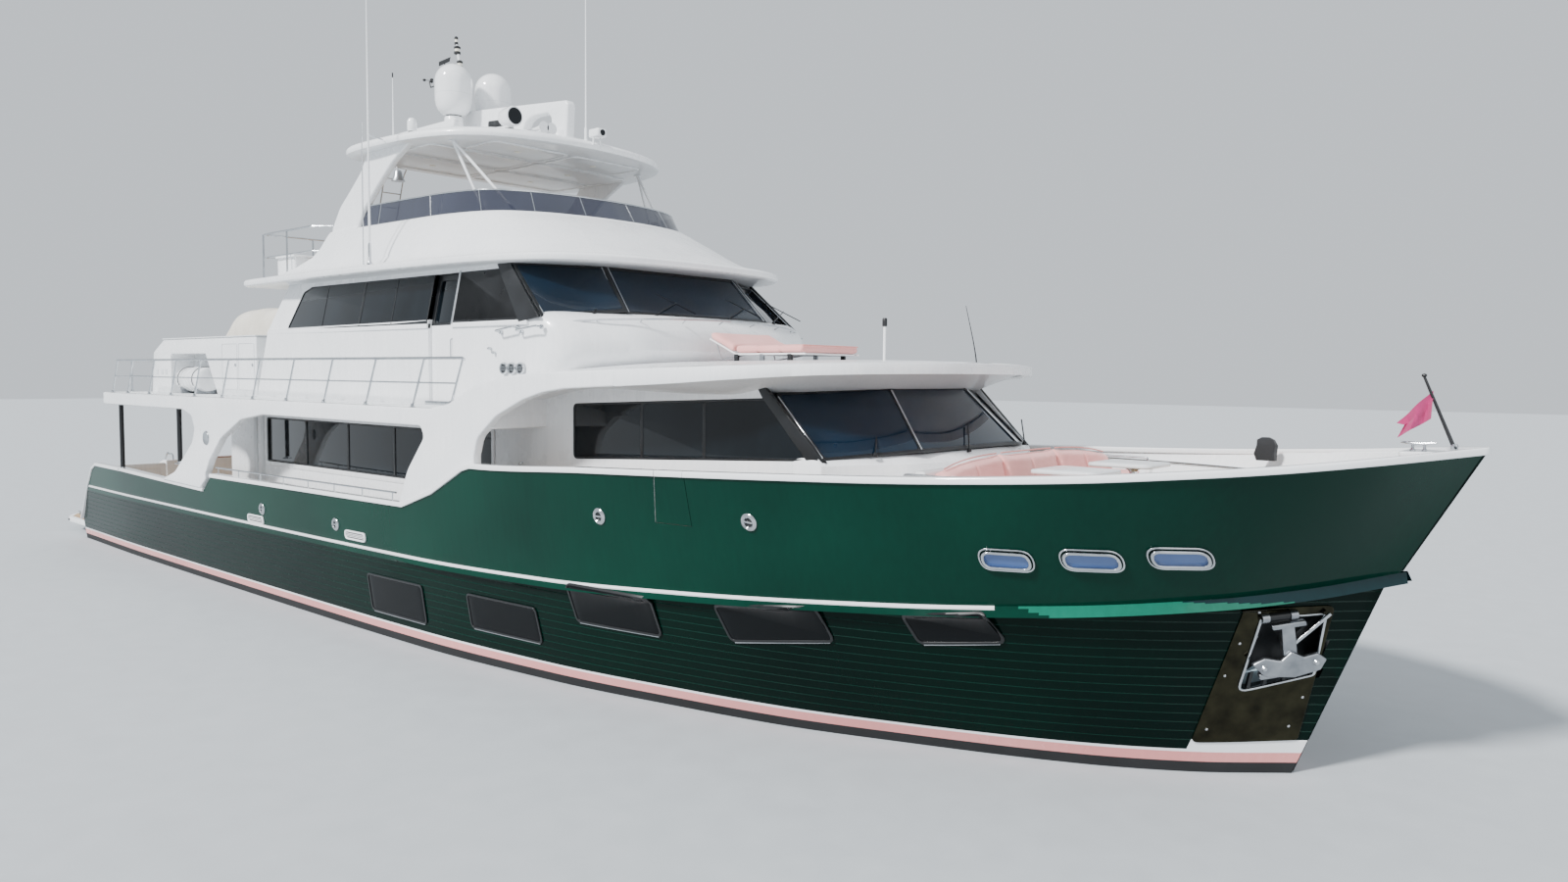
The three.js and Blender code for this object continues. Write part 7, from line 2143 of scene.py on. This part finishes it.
def davit():
    x, y = -6.6, 1.35
    piece = Piece("davit_column")
    column = [
        (0.25, 0.001), (0.25, 0.03), (0.235, 0.045), (0.235, 0.24), (0.225, 0.3), (0.19, 0.42), (0.188, 1.1),
        (0.2, 1.12), (0.2, 1.16), (0.185, 1.178)
    ]
    piece.turn(column, (x, y, 3.5), 40, look="white")
    for t in full_turn(10):
        at = (x + 0.222 * math.cos(t), y + 0.222 * math.sin(t), 3.53)
        piece.turn([(0.014, 0.0), (0.014, 0.012), (0.0, 0.014)], at, 6)
    piece.add(
        end_plate([rounded(rect(y - 0.09, y + 0.09, 3.95, 4.35), 0.03)], x - 0.2, x - 0.18, 0.006), "soffit"
    )
    piece.done("yacht", "gelcoat_white", "davit_pedestal")
    head = Piece("davit_turntable")
    plate = [(0.19, 4.687), (0.198, 4.692), (0.198, 4.765), (0.17, 4.778), (0.05, 4.78)]
    head.turn(plate, (x, y, 0), 40, look="white")
    cheek = [(x - 0.158, 4.745), (x + 0.158, 4.745), (x + 0.12, 5.1), (x - 0.1, 5.1)]
    cheek = rounded(cheek, (0.01, 0.01, 0.09, 0.09))
    for side in (-1, 1):
        head.add(side_plate([cheek], y + side * 0.097, y + side * 0.128, 0.006), "white")
        head.turn([(0.035, 0), (0.035, 0.012), (0.0, 0.014)], (x, y + side * 0.126, 5.0), 20, (0, side, 0))
    head.done("davit_head", "gelcoat_white", "davit_head")
    boom = Piece("davit_boom_arm")
    rings = []
    for at, half, low, high in (
        (-9.5, 0.045, 4.955, 5.05), (-9.48, 0.055, 4.945, 5.06), (-8.3, 0.068, 4.93, 5.07),
        (-6.9, 0.078, 4.926, 5.074), (-6.44, 0.078, 4.93, 5.07), (-6.42, 0.06, 4.95, 5.05)
    ):
        section = rounded([(y - half, low), (y + half, low), (y + half, high), (y - half, high)], 0.018, 3)
        rings.append([(at, a, b) for a, b in section])
    boom.add(loft(rings), "white")
    sheave = [(0.05, -0.04), (0.06, -0.03), (0.045, 0), (0.06, 0.03), (0.05, 0.04)]
    boom.turn(sheave, (-9.43, y, 4.93), 24, (0, 1, 0), "dull_steel")
    boom.bar([(-9.41, y, 4.93), (-9.41, y, 4.78)], 0.006, 8)
    boom.turn(
        [(0.02, 0.04), (0.032, 0.02), (0.032, -0.03), (0.014, -0.05)], (-9.41, y, 4.77), 16, look="black"
    )
    hook = ((-9.41, 4.73), (-9.41, 4.7), (-9.375, 4.68), (-9.375, 4.655), (-9.41, 4.645), (-9.44, 4.665))
    boom.bar(curve_through([(x, y, z) for x, z in hook], 4), 0.01, 8)
    boom.add(block(-7.6, -7.15, y - 0.06, y + 0.06, 5.07, 5.1, 0.008), "soffit")
    boom.done("davit_boom", "gelcoat_white", "davit_boom")


RAIL_FEET = [-9.4, -8.5, -7.3, -6.15, -5.0, -3.75, -2.48, -1.2, 0.1, 1.42, 2.74, 3.7]


def deck_rails():
    lean = 0.33 / 0.69
    top, mid = 4.19, 3.85
    foot_cap = [(0.042, 0.0), (0.042, 0.008), (0.026, 0.014), (0.024, 0.05)]
    for side, flip in SIDES:
        piece = Piece("guardrail_" + side)
        for x in RAIL_FEET:
            z = BOAT_DECK_TOP if x < 3.5 else 3.56
            foot = x + lean * (z - 3.5)
            piece.bar([(foot, RAIL_Y, z), (x + lean * 0.69, RAIL_Y, top)], 0.016)
            piece.turn(foot_cap, (foot, RAIL_Y, z), 18)
        aft, fore = RAIL_FEET[0] + 0.33, RAIL_FEET[-1] + 0.33
        line = ((aft - 0.02, top), (fore - 0.03, top), (fore + 0.03, top - 0.02))
        piece.bar([(x, RAIL_Y, z) for x, z in line], 0.021, 14)
        shift = lean * (mid - 3.5)
        piece.bar([(RAIL_FEET[0] + shift, RAIL_Y, mid), (RAIL_FEET[-1] + shift, RAIL_Y, mid)], 0.012)
        piece.done("yacht", "stainless", "boat_deck_rail_" + side, flip=flip)
    piece = Piece("aft_guardrail")
    x = BOAT_DECK_AFT_X + 0.12
    for share in np.linspace(-1, 1, 5):
        y = share * 2.85
        piece.bar([(x, y, BOAT_DECK_TOP), (x, y, top)], 0.016)
        piece.turn(foot_cap, (x, y, BOAT_DECK_TOP), 18)
    for z, r in ((top, 0.021), (mid, 0.012)):
        piece.bar([(x, -2.87, z), (x, 2.87, z)], r, 14)
    piece.bar([(x, 0, top), (x - 0.14, 0, top + 0.62)], [0.02, 0.014], 12, "varnish")
    piece.turn(
        [(0.02, 0), (0.028, 0.02), (0.02, 0.045), (0.0, 0.05)], (x - 0.14, 0, top + 0.61), 16, look="varnish"
    )
    piece.done("yacht", "stainless", "boat_deck_aft_rail")


def deck_cover():
    """A fitted canvas cover over the gear on the boat deck: taut over its ridge, and folded at its hem."""
    ridge = [
        (-9.28, 4.3), (-9.1, 4.62), (-8.7, 4.76), (-8.25, 5.1), (-8.0, 5.28), (-7.6, 5.34), (-6.4, 5.33),
        (-5.75, 5.26), (-5.48, 5.02), (-5.33, 4.6)
    ]
    places = np.linspace(-9.28, -5.33, 80)
    rows = []
    for x in places:
        high = float(ease(ridge, x))
        end = min(1.0, (x + 9.28) / 0.4, (-5.33 - x) / 0.4)
        full = math.sqrt(max(1 - (1 - end) ** 2, 0))
        row = []
        for t in np.linspace(0, 1, 61):
            a = math.pi * t
            across = math.copysign(abs(math.cos(a)) ** 0.42, math.cos(a))
            up = math.sin(a) ** 0.5 if 0 < t < 1 else 0.0
            z = 3.52 + (high - 3.52) * up
            low = 1 - up
            fold = 0.02 * low * math.sin(x * 17) + 0.012 * low * math.sin(x * 41 + 1)
            y = -0.8 + (0.86 * full * (0.93 + 0.07 * low) + fold) * across
            slack = 0.012 * math.sin(x * 6.5 + 2 * a) * up
            row.append((x, y, z + slack))
        rows.append(row)
    piece = Piece("boat_deck_cover")
    made = helper(sheet(rows))
    thick = made.modifiers.new("thickness", "SOLIDIFY")
    thick.thickness, thick.offset = 0.003, -1
    piece.add(taken(made), "canvas")
    cover = piece.done("yacht", "canvas", "canvas_cover", crease=70)


deck_locker()
davit()
deck_rails()
deck_cover()


# Cushions
CUSHION_VOXEL = 0.024
CUSHION_PRESSURE, SETTLE_FRAMES = 4.0, 20
CHANNEL_WIDE = 0.022


def swelled(shape, most):
    """Foam and fabric: remeshed, blown up in a cloth simulation by `most` metres at most, and smoothed."""
    made = helper(shape)
    remesh = made.modifiers.new("remesh", "REMESH")
    remesh.mode, remesh.voxel_size = "VOXEL", CUSHION_VOXEL
    start, faces = taken(made)
    moved_to = start
    made = linked(helper((start, faces)))
    cloth = made.modifiers.new("cloth", "CLOTH")
    cloth.settings.use_pressure, cloth.settings.uniform_pressure_force = True, CUSHION_PRESSURE
    cloth.settings.effector_weights.gravity = 0
    cloth.point_cache.frame_start, cloth.point_cache.frame_end = 1, SETTLE_FRAMES
    for frame_number in range(1, SETTLE_FRAMES + 1):
        bpy.context.scene.frame_set(frame_number)
    graph = bpy.context.evaluated_depsgraph_get()
    settled = made.evaluated_get(graph).to_mesh()
    moved_to = np.array([v.co[:] for v in settled.vertices])
    bpy.data.objects.remove(made)
    bpy.context.scene.frame_set(1)
    shift = moved_to - start
    length = np.maximum(np.linalg.norm(shift, axis=1), 1e-9)[:, None]
    made = helper((start + shift * np.minimum(1, most / length), faces))
    smooth = made.modifiers.new("smooth", "SMOOTH")
    smooth.iterations = 2
    finer = made.modifiers.new("finer", "SUBSURF")
    finer.levels = finer.render_levels = 1
    return taken(made)


def channelled(shape, axis, places, flat_axis, depth=0.3):
    """Sewn channels: the pad is drawn in towards its middle along lines across an axis."""
    points, faces = shape[0].copy(), shape[1]
    middle = (points[:, flat_axis].max() + points[:, flat_axis].min()) / 2
    for place in places:
        near = np.exp(-(((points[:, axis] - place) / CHANNEL_WIDE) ** 2))
        points[:, flat_axis] = middle + (points[:, flat_axis] - middle) * (1 - depth * near)
    return points, faces


def piping(outline, z, radius=0.008):
    path = rounded(outline, 0.05, 4)
    return tube([(x, y, z) for x, y in path], radius, 8, closed=True)


def lounge():
    base = Piece("sofa_base_and_tables")
    plan = [(10.42, -2.05), (11.15, -2.05), (11.35, -1.5), (11.35, -0.5), (10.42, -0.5)]
    base.add(slab([rounded(plan, (0, 0.1, 0.15, 0.06, 0))], FOREDECK_TOP, 2.655, 0.02), "white", both=True)
    # A greyer band at the foot of the base: painted shade under it
    base.add(
        slab([rounded([(p[0] - 0.03 if p[0] > 11 else p[0], p[1]) for p in plan], 0.04)], 2.3, 2.36, 0.004),
        "soffit", both=True
    )
    base.add(block(10.42, 10.7, -0.52, 0.52, FOREDECK_TOP, 2.66, 0.02), "white")
    curve = [
        (10.36, -2.08), (10.3, -1.4), (10.26, -0.7), (10.25, 0), (10.26, 0.7), (10.3, 1.4), (10.36, 2.08)
    ]
    backing = curve_through(curve, 5)
    outer = np.column_stack([backing, np.full(len(backing), 2.31)])
    base.add(
        moulding(outer, [(0, 0), (-0.12, 0), (-0.12, 0.66), (-0.1, 0.69), (-0.02, 0.69), (0, 0.66)]), "white"
    )
    door = rounded(rect(10.75, 11.18, 2.4, 2.6), 0.03)
    base.add(side_plate([door, inset(door, 0.012)[::-1]], -2.058, -2.046, 0.002), "soffit", both=True)
    for y in (-0.7, 0.7):
        top = rounded([(11.14, y - 0.4), (11.9, y - 0.36), (11.9, y + 0.36), (11.14, y + 0.4)], 0.12)
        base.add(slab([top], 2.965, 3.01, 0.018), "soffit")
        base.add(slab([inset(top, 0.06)], 3.008, 3.013, 0.002), "white")
        leg = [
            (0.13, 0.0), (0.13, 0.01), (0.055, 0.02), (0.045, 0.05), (0.045, 0.6), (0.06, 0.62),
            (0.14, 0.655), (0.15, 0.665)
        ]
        base.turn(leg, (11.56, y, FOREDECK_TOP), 28)
    aft, fore = 10.3, 11.15
    for y in (-2.2, 2.14):
        rail_line = [(aft, y, 2.82), (aft, y, 2.97), (fore, y, 2.97), (fore, y, 2.82)]
        base.bar(rounded(rail_line, 0.04, 4, closed=False), 0.014, look="dull_steel")
        for x in (aft, fore):
            base.add(block(x - 0.03, x + 0.03, y - 0.02, y + 0.1, 2.66, 2.83, 0.01), "white")
    base.done("yacht", "gelcoat_white", "foredeck_lounge")

    seat_plan = [(10.68, -1.98), (11.1, -1.98), (11.29, -1.45), (11.29, -0.53), (10.68, -0.53)]
    seat = slab([rounded(seat_plan, 0.05)], 2.68, 2.805, 0.03)
    seat = channelled(swelled(seat, 0.016), 1, (-1.02, -1.5), 2)
    seat[0][:, 2] = np.maximum(seat[0][:, 2], 2.662)
    for side, flip in SIDES:
        piece = Piece("sofa_seat_" + side)
        piece.add(seat, "pink").add(piping(seat_plan, 2.795), "piping").add(piping(seat_plan, 2.69), "piping")
        piece.done("yacht", "cushion", *(["foredeck_sofa"] if flip else []), flip=flip)
    for name, y0, y1 in (("starboard", -1.98, -0.67), ("middle", -0.65, 0.65), ("port", 0.67, 1.98)):
        rings = []
        for y in np.linspace(y0, y1, 9):
            x = 10.4 + 0.1 * (y / 2) ** 2
            top = 3.14 - 0.12 * (y / 2) ** 4
            section = [(0.0, 2.69), (0.24, 2.69), (0.26, 2.8), (0.19, top - 0.06), (0.12, top - 0.015)]
            rings.append([(x + a, y, b) for a, b in section + [(0.03, top - 0.05)]])
        back = channelled(swelled(loft(rings), 0.018), 1, ((y0 + y1) / 2,), 0, 0.18)
        back[0][:, 2] = np.maximum(back[0][:, 2], 2.664)
        piece = Piece("sofa_back_" + name)
        piece.add(back, "pink")
        seam = [
            (10.405 + 0.1 * (y / 2) ** 2 + 0.125, y, 3.134 - 0.12 * (y / 2) ** 4)
            for y in np.linspace(y0 + 0.05, y1 - 0.05, 14)
        ]
        piece.bar(seam, 0.008, 8, "piping")
        piece.done("yacht", "cushion")


def sun_lounger():
    """A pad on a folding steel frame, with its aft end raised as a backrest."""
    place = (-0.38, 0, -0.06)
    flat = moved(block(6.72, 7.95, -0.63, 0.63, 4.365, 4.465, 0.03), place)
    lift = math.radians(24)
    raised, faces = block(-0.52, 0.0, -0.63, 0.63, 0.0, 0.1, 0.03)
    a, y, b = raised.T
    ahead = 6.7 + a * math.cos(lift) + b * math.sin(lift) * 0.2
    raised = np.stack([ahead, y, 4.37 - a * math.sin(lift) + b * math.cos(lift)], 1)
    piece = Piece("sun_pad")
    piece.add(channelled(swelled(flat, 0.014), 0, (6.75, 7.16), 2), "pink")
    piece.add(swelled(moved((raised, faces), place), 0.014), "pink")
    piece.add(moved(tube([(7.94, -0.6, 4.46), (7.94, 0.6, 4.46)], 0.008, 8), place), "piping")
    piece.done("yacht", "cushion", "sunpads")
    parts = Piece("sun_pad_frame")
    for y in (-0.58, 0.58):
        for path, radius, look in (
            ([(6.7, y, 4.345), (7.97, y, 4.345)], 0.014, "cap"),
            ([(6.7, y, 4.35), (6.2, y, 4.565)], 0.013, "cap"),
            ([(6.42, y, 4.27), (6.34, y, 4.5)], 0.011, "dull_steel"),
            ([(6.42, y * 0.95, 4.27), (7.0, y * 0.95, 4.345)], 0.011, "dull_steel"),
        ):
            parts.add(moved(tube(path, radius, 10), place), look)
        for x in (6.72, 7.2, 7.7):
            foot = block(x - 0.035, x + 0.035, y - 0.02, y + 0.02, 4.2, 4.345, 0.006)
            parts.add(moved(foot, place), "black" if x != 7.2 else "dull_steel")
    for x in (6.75, 7.3, 7.9):
        parts.add(moved(tube([(x, -0.58, 4.345), (x, 0.58, 4.345)], 0.012, 8), place), "cap")
    parts.add(moved(block(6.8, 7.9, -0.56, 0.56, 4.335, 4.362, 0.008), place), "soffit")
    parts.done("yacht", "stainless")


def foredeck_gear():
    piece = Piece("foredeck_gear")
    for x, y in ((13.55, -0.85), (12.3, -1.7), (5.4, -3.1)):
        piece.add(moved(cleat(0.36), (x, y, FOREDECK_TOP)), "steel", both=True)
    drum = [(0.16, 0.0), (0.16, 0.05), (0.13, 0.08), (0.13, 0.16), (0.15, 0.19), (0.1, 0.23)]
    piece.turn(drum + [(0.11, 0.31), (0.085, 0.35), (0.0, 0.36)], (13.2, -0.42, FOREDECK_TOP), both=True)
    piece.add(block(13.3, 13.7, -0.49, -0.35, FOREDECK_TOP, 2.36, 0.012), "dull_steel", both=True)
    links = [(13.3 + 0.04 * k, -0.42, 2.375 + 0.006 * (k % 2)) for k in range(10)]
    piece.bar(links, [0.012, 0.018] * 5, 8, "dull_steel", both=True)
    hatch = rounded(rect(12.55, 12.95, -0.28, 0.28), 0.06)
    piece.add(slab([hatch], FOREDECK_TOP, 2.33, 0.01), "white").add(
        slab([inset(hatch, 0.05)], 2.326, 2.336, 0.003), "glass"
    )
    rails = ((2.62, 0.16), (2.86, 0.14))

    def on_rail(x, z, inward):
        return np.array([x, -max(sheer_half(x, z) - inward, 0.02), z + 0.02 * (x - 9.3) / 5])

    for rail in rails:
        piece.bar([on_rail(x, *rail) for x in np.linspace(9.3, 14.2, 40)], 0.014, both=True)
    for x in np.linspace(9.4, 14.0, 7):
        for rail in rails:
            foot = on_rail(x, *rail)
            piece.bar([foot, foot - (0, 0.07, 0)], 0.01, 8, both=True)
    piece.bar([(14.9, 0, 3.4), (14.64, 0, 4.04)], [0.018, 0.012], 12, "black")
    piece.turn([(0.03, 0), (0.034, 0.03), (0.022, 0.05)], (14.91, 0, 3.37), 18)
    piece.turn(
        [(0.0, -0.02), (0.02, -0.012), (0.024, 0), (0.02, 0.012), (0.0, 0.02)], (14.64, 0, 4.05), 16,
        look="black"
    )
    bow_plate = rounded([(14.5, -0.3), (15.0, -0.1), (15.0, 0.1), (14.5, 0.3)], 0.05)
    piece.add(slab([bow_plate], 3.3, 3.345, 0.012), "cap")
    piece.add(moved(cleat(0.3), (14.62, 0, 3.345)), "steel")
    piece.bar([(8.02, 0.6, 4.15), (8.02, 0.6, 4.68)], 0.02, 12, "cap")
    piece.turn([(0.03, 0), (0.034, 0.01), (0.034, 0.1), (0.026, 0.115)], (8.02, 0.6, 4.68), 18, look="black")
    whip = curve_through([(8.97, 1.5, 4.0), (8.91, 1.49, 4.4), (8.78, 1.46, 4.98)], 6)
    piece.bar(whip, np.linspace(0.012, 0.004, len(whip)), 8, "black")
    piece.done("yacht", "stainless")

    cover = Piece("windlass_cover")
    rings = []
    for z, k in ((3.02, 1.0), (3.1, 1.06), (3.2, 1.0), (3.27, 0.86), (3.3, 0.4)):
        outline = rounded(rect(-0.11 * k, 0.11 * k, -0.08 * k, 0.08 * k), 0.04, 4)
        ring = []
        for a, b in outline:
            x, y = 12.62 + a + 0.012 * math.sin(9 * b + 30 * z), 2.12 + b + 0.01 * math.sin(23 * a)
            ring.append((x, y, z))
        rings.append(ring)
    cover.add(loft(rings), "black_cloth")
    cover.done("yacht", "canvas", crease=60)

    flag = Piece("bow_pennant")
    rows = []
    for t in np.linspace(0, 1, 13):
        row = []
        half = 0.13 * (1 - 0.45 * t)
        for s in np.linspace(-1, 1, 9):
            notch = 0.1 * (1 - abs(s)) * t
            along = 0.46 * t - notch
            x, z = 14.72 - along * 0.62, 3.78 - along * 0.55 + s * half
            row.append((x, -0.03 + 0.035 * math.sin(9 * t + s), z))
        rows.append(row)
    made = helper(sheet(rows))
    thick = made.modifiers.new("thickness", "SOLIDIFY")
    thick.thickness = 0.0015
    flag.add(taken(made), "pennant")
    flag.done("yacht", "canvas")




def side_details():
    """Stainless rail on the midship cap, and the steps from the side decks to the foredeck."""
    for side, flip in SIDES:
        piece = Piece("midship_rail_" + side)
        xs = np.linspace(-4.05, 2.3, 30)
        line = [(x, -sheer_half(x, 2.08) + 0.07, top_edge(x) + 0.17) for x in xs]
        piece.bar(line, 0.014)
        for x in np.linspace(-3.95, 2.2, 8):
            y, z = -sheer_half(x, 2.08) + 0.07, top_edge(x)
            piece.bar([(x, y, z + 0.05), (x, y, z + 0.17)], 0.009, 8)
        piece.done("yacht", "stainless", flip=flip)
        piece = Piece("foredeck_steps_" + side)
        piece.add(block(4.38, 4.44, -3.37, -2.602, MAIN_DECK_TOP, 2.296, 0.006), "white")
        for n in range(4):
            x, z = 3.5 + 0.225 * n, MAIN_DECK_TOP + 0.2296 * (n + 1)
            piece.add(
                block(x, 4.4, -3.25, -2.66, MAIN_DECK_TOP if n == 0 else z - 0.23, z - 0.015, 0.01), "white"
            )
            piece.add(block(x - 0.012, x + 0.225, -3.24, -2.67, z - 0.016, z, 0.005), "teak")
        grab = rounded(
            [(3.6, -2.63, 2.0), (3.62, -2.68, 2.0), (4.2, -2.68, 2.75), (4.2, -2.63, 2.75)], 0.03, 4,
            closed=False
        )
        piece.bar(grab, 0.014)
        piece.done("yacht", "gelcoat_white", flip=flip)


lounge()
sun_lounger()
foredeck_gear()
side_details()


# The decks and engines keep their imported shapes, in the finish of the real ones.
for node, look in (
    ("main_deck", "teak"), ("foredeck", "teak"), ("engine_starboard", "grey"), ("engine_port", "grey")
):
    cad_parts[node].data.materials.clear()
    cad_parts[node].data.materials.append(LOOKS[look])


# Studio: a pale floor at the waterline, a soft sky and two soft lamps
def studio():
    size = 150
    floor = linked(
        helper(([(-size, -size, 0), (size, -size, 0), (size, size, 0), (-size, size, 0)], [(0, 1, 2, 3)]))
    )
    floor.name = "floor"
    floor.data.materials.append(moulded("pale_studio_floor", "#B9BEC2", "#B4B9BD", 0.9, 400, 0.0))
    floor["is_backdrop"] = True
    world = bpy.data.worlds.new("studio_sky")
    world.use_nodes = True
    sky = world.node_tree.nodes["Background"].inputs
    sky["Color"].default_value, sky["Strength"].default_value = srgb("#E4EBF2"), 1.0
    bpy.context.scene.world = world
    for name, turn, energy, spread in (("key", (50, 6, -14), 5.8, 0.12), ("fill", (60, 0, 75), 0.8, 0.9)):
        lamp = linked(bpy.data.objects.new(name, bpy.data.lights.new(name, "SUN")))
        lamp.data.energy, lamp.data.angle = energy, spread
        lamp.rotation_euler = [math.radians(a) for a in turn]


studio()
scene_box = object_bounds()
{name: [list(corner) for corner in box] for name, box in (("cad", cad_box), ("scene", scene_box))}
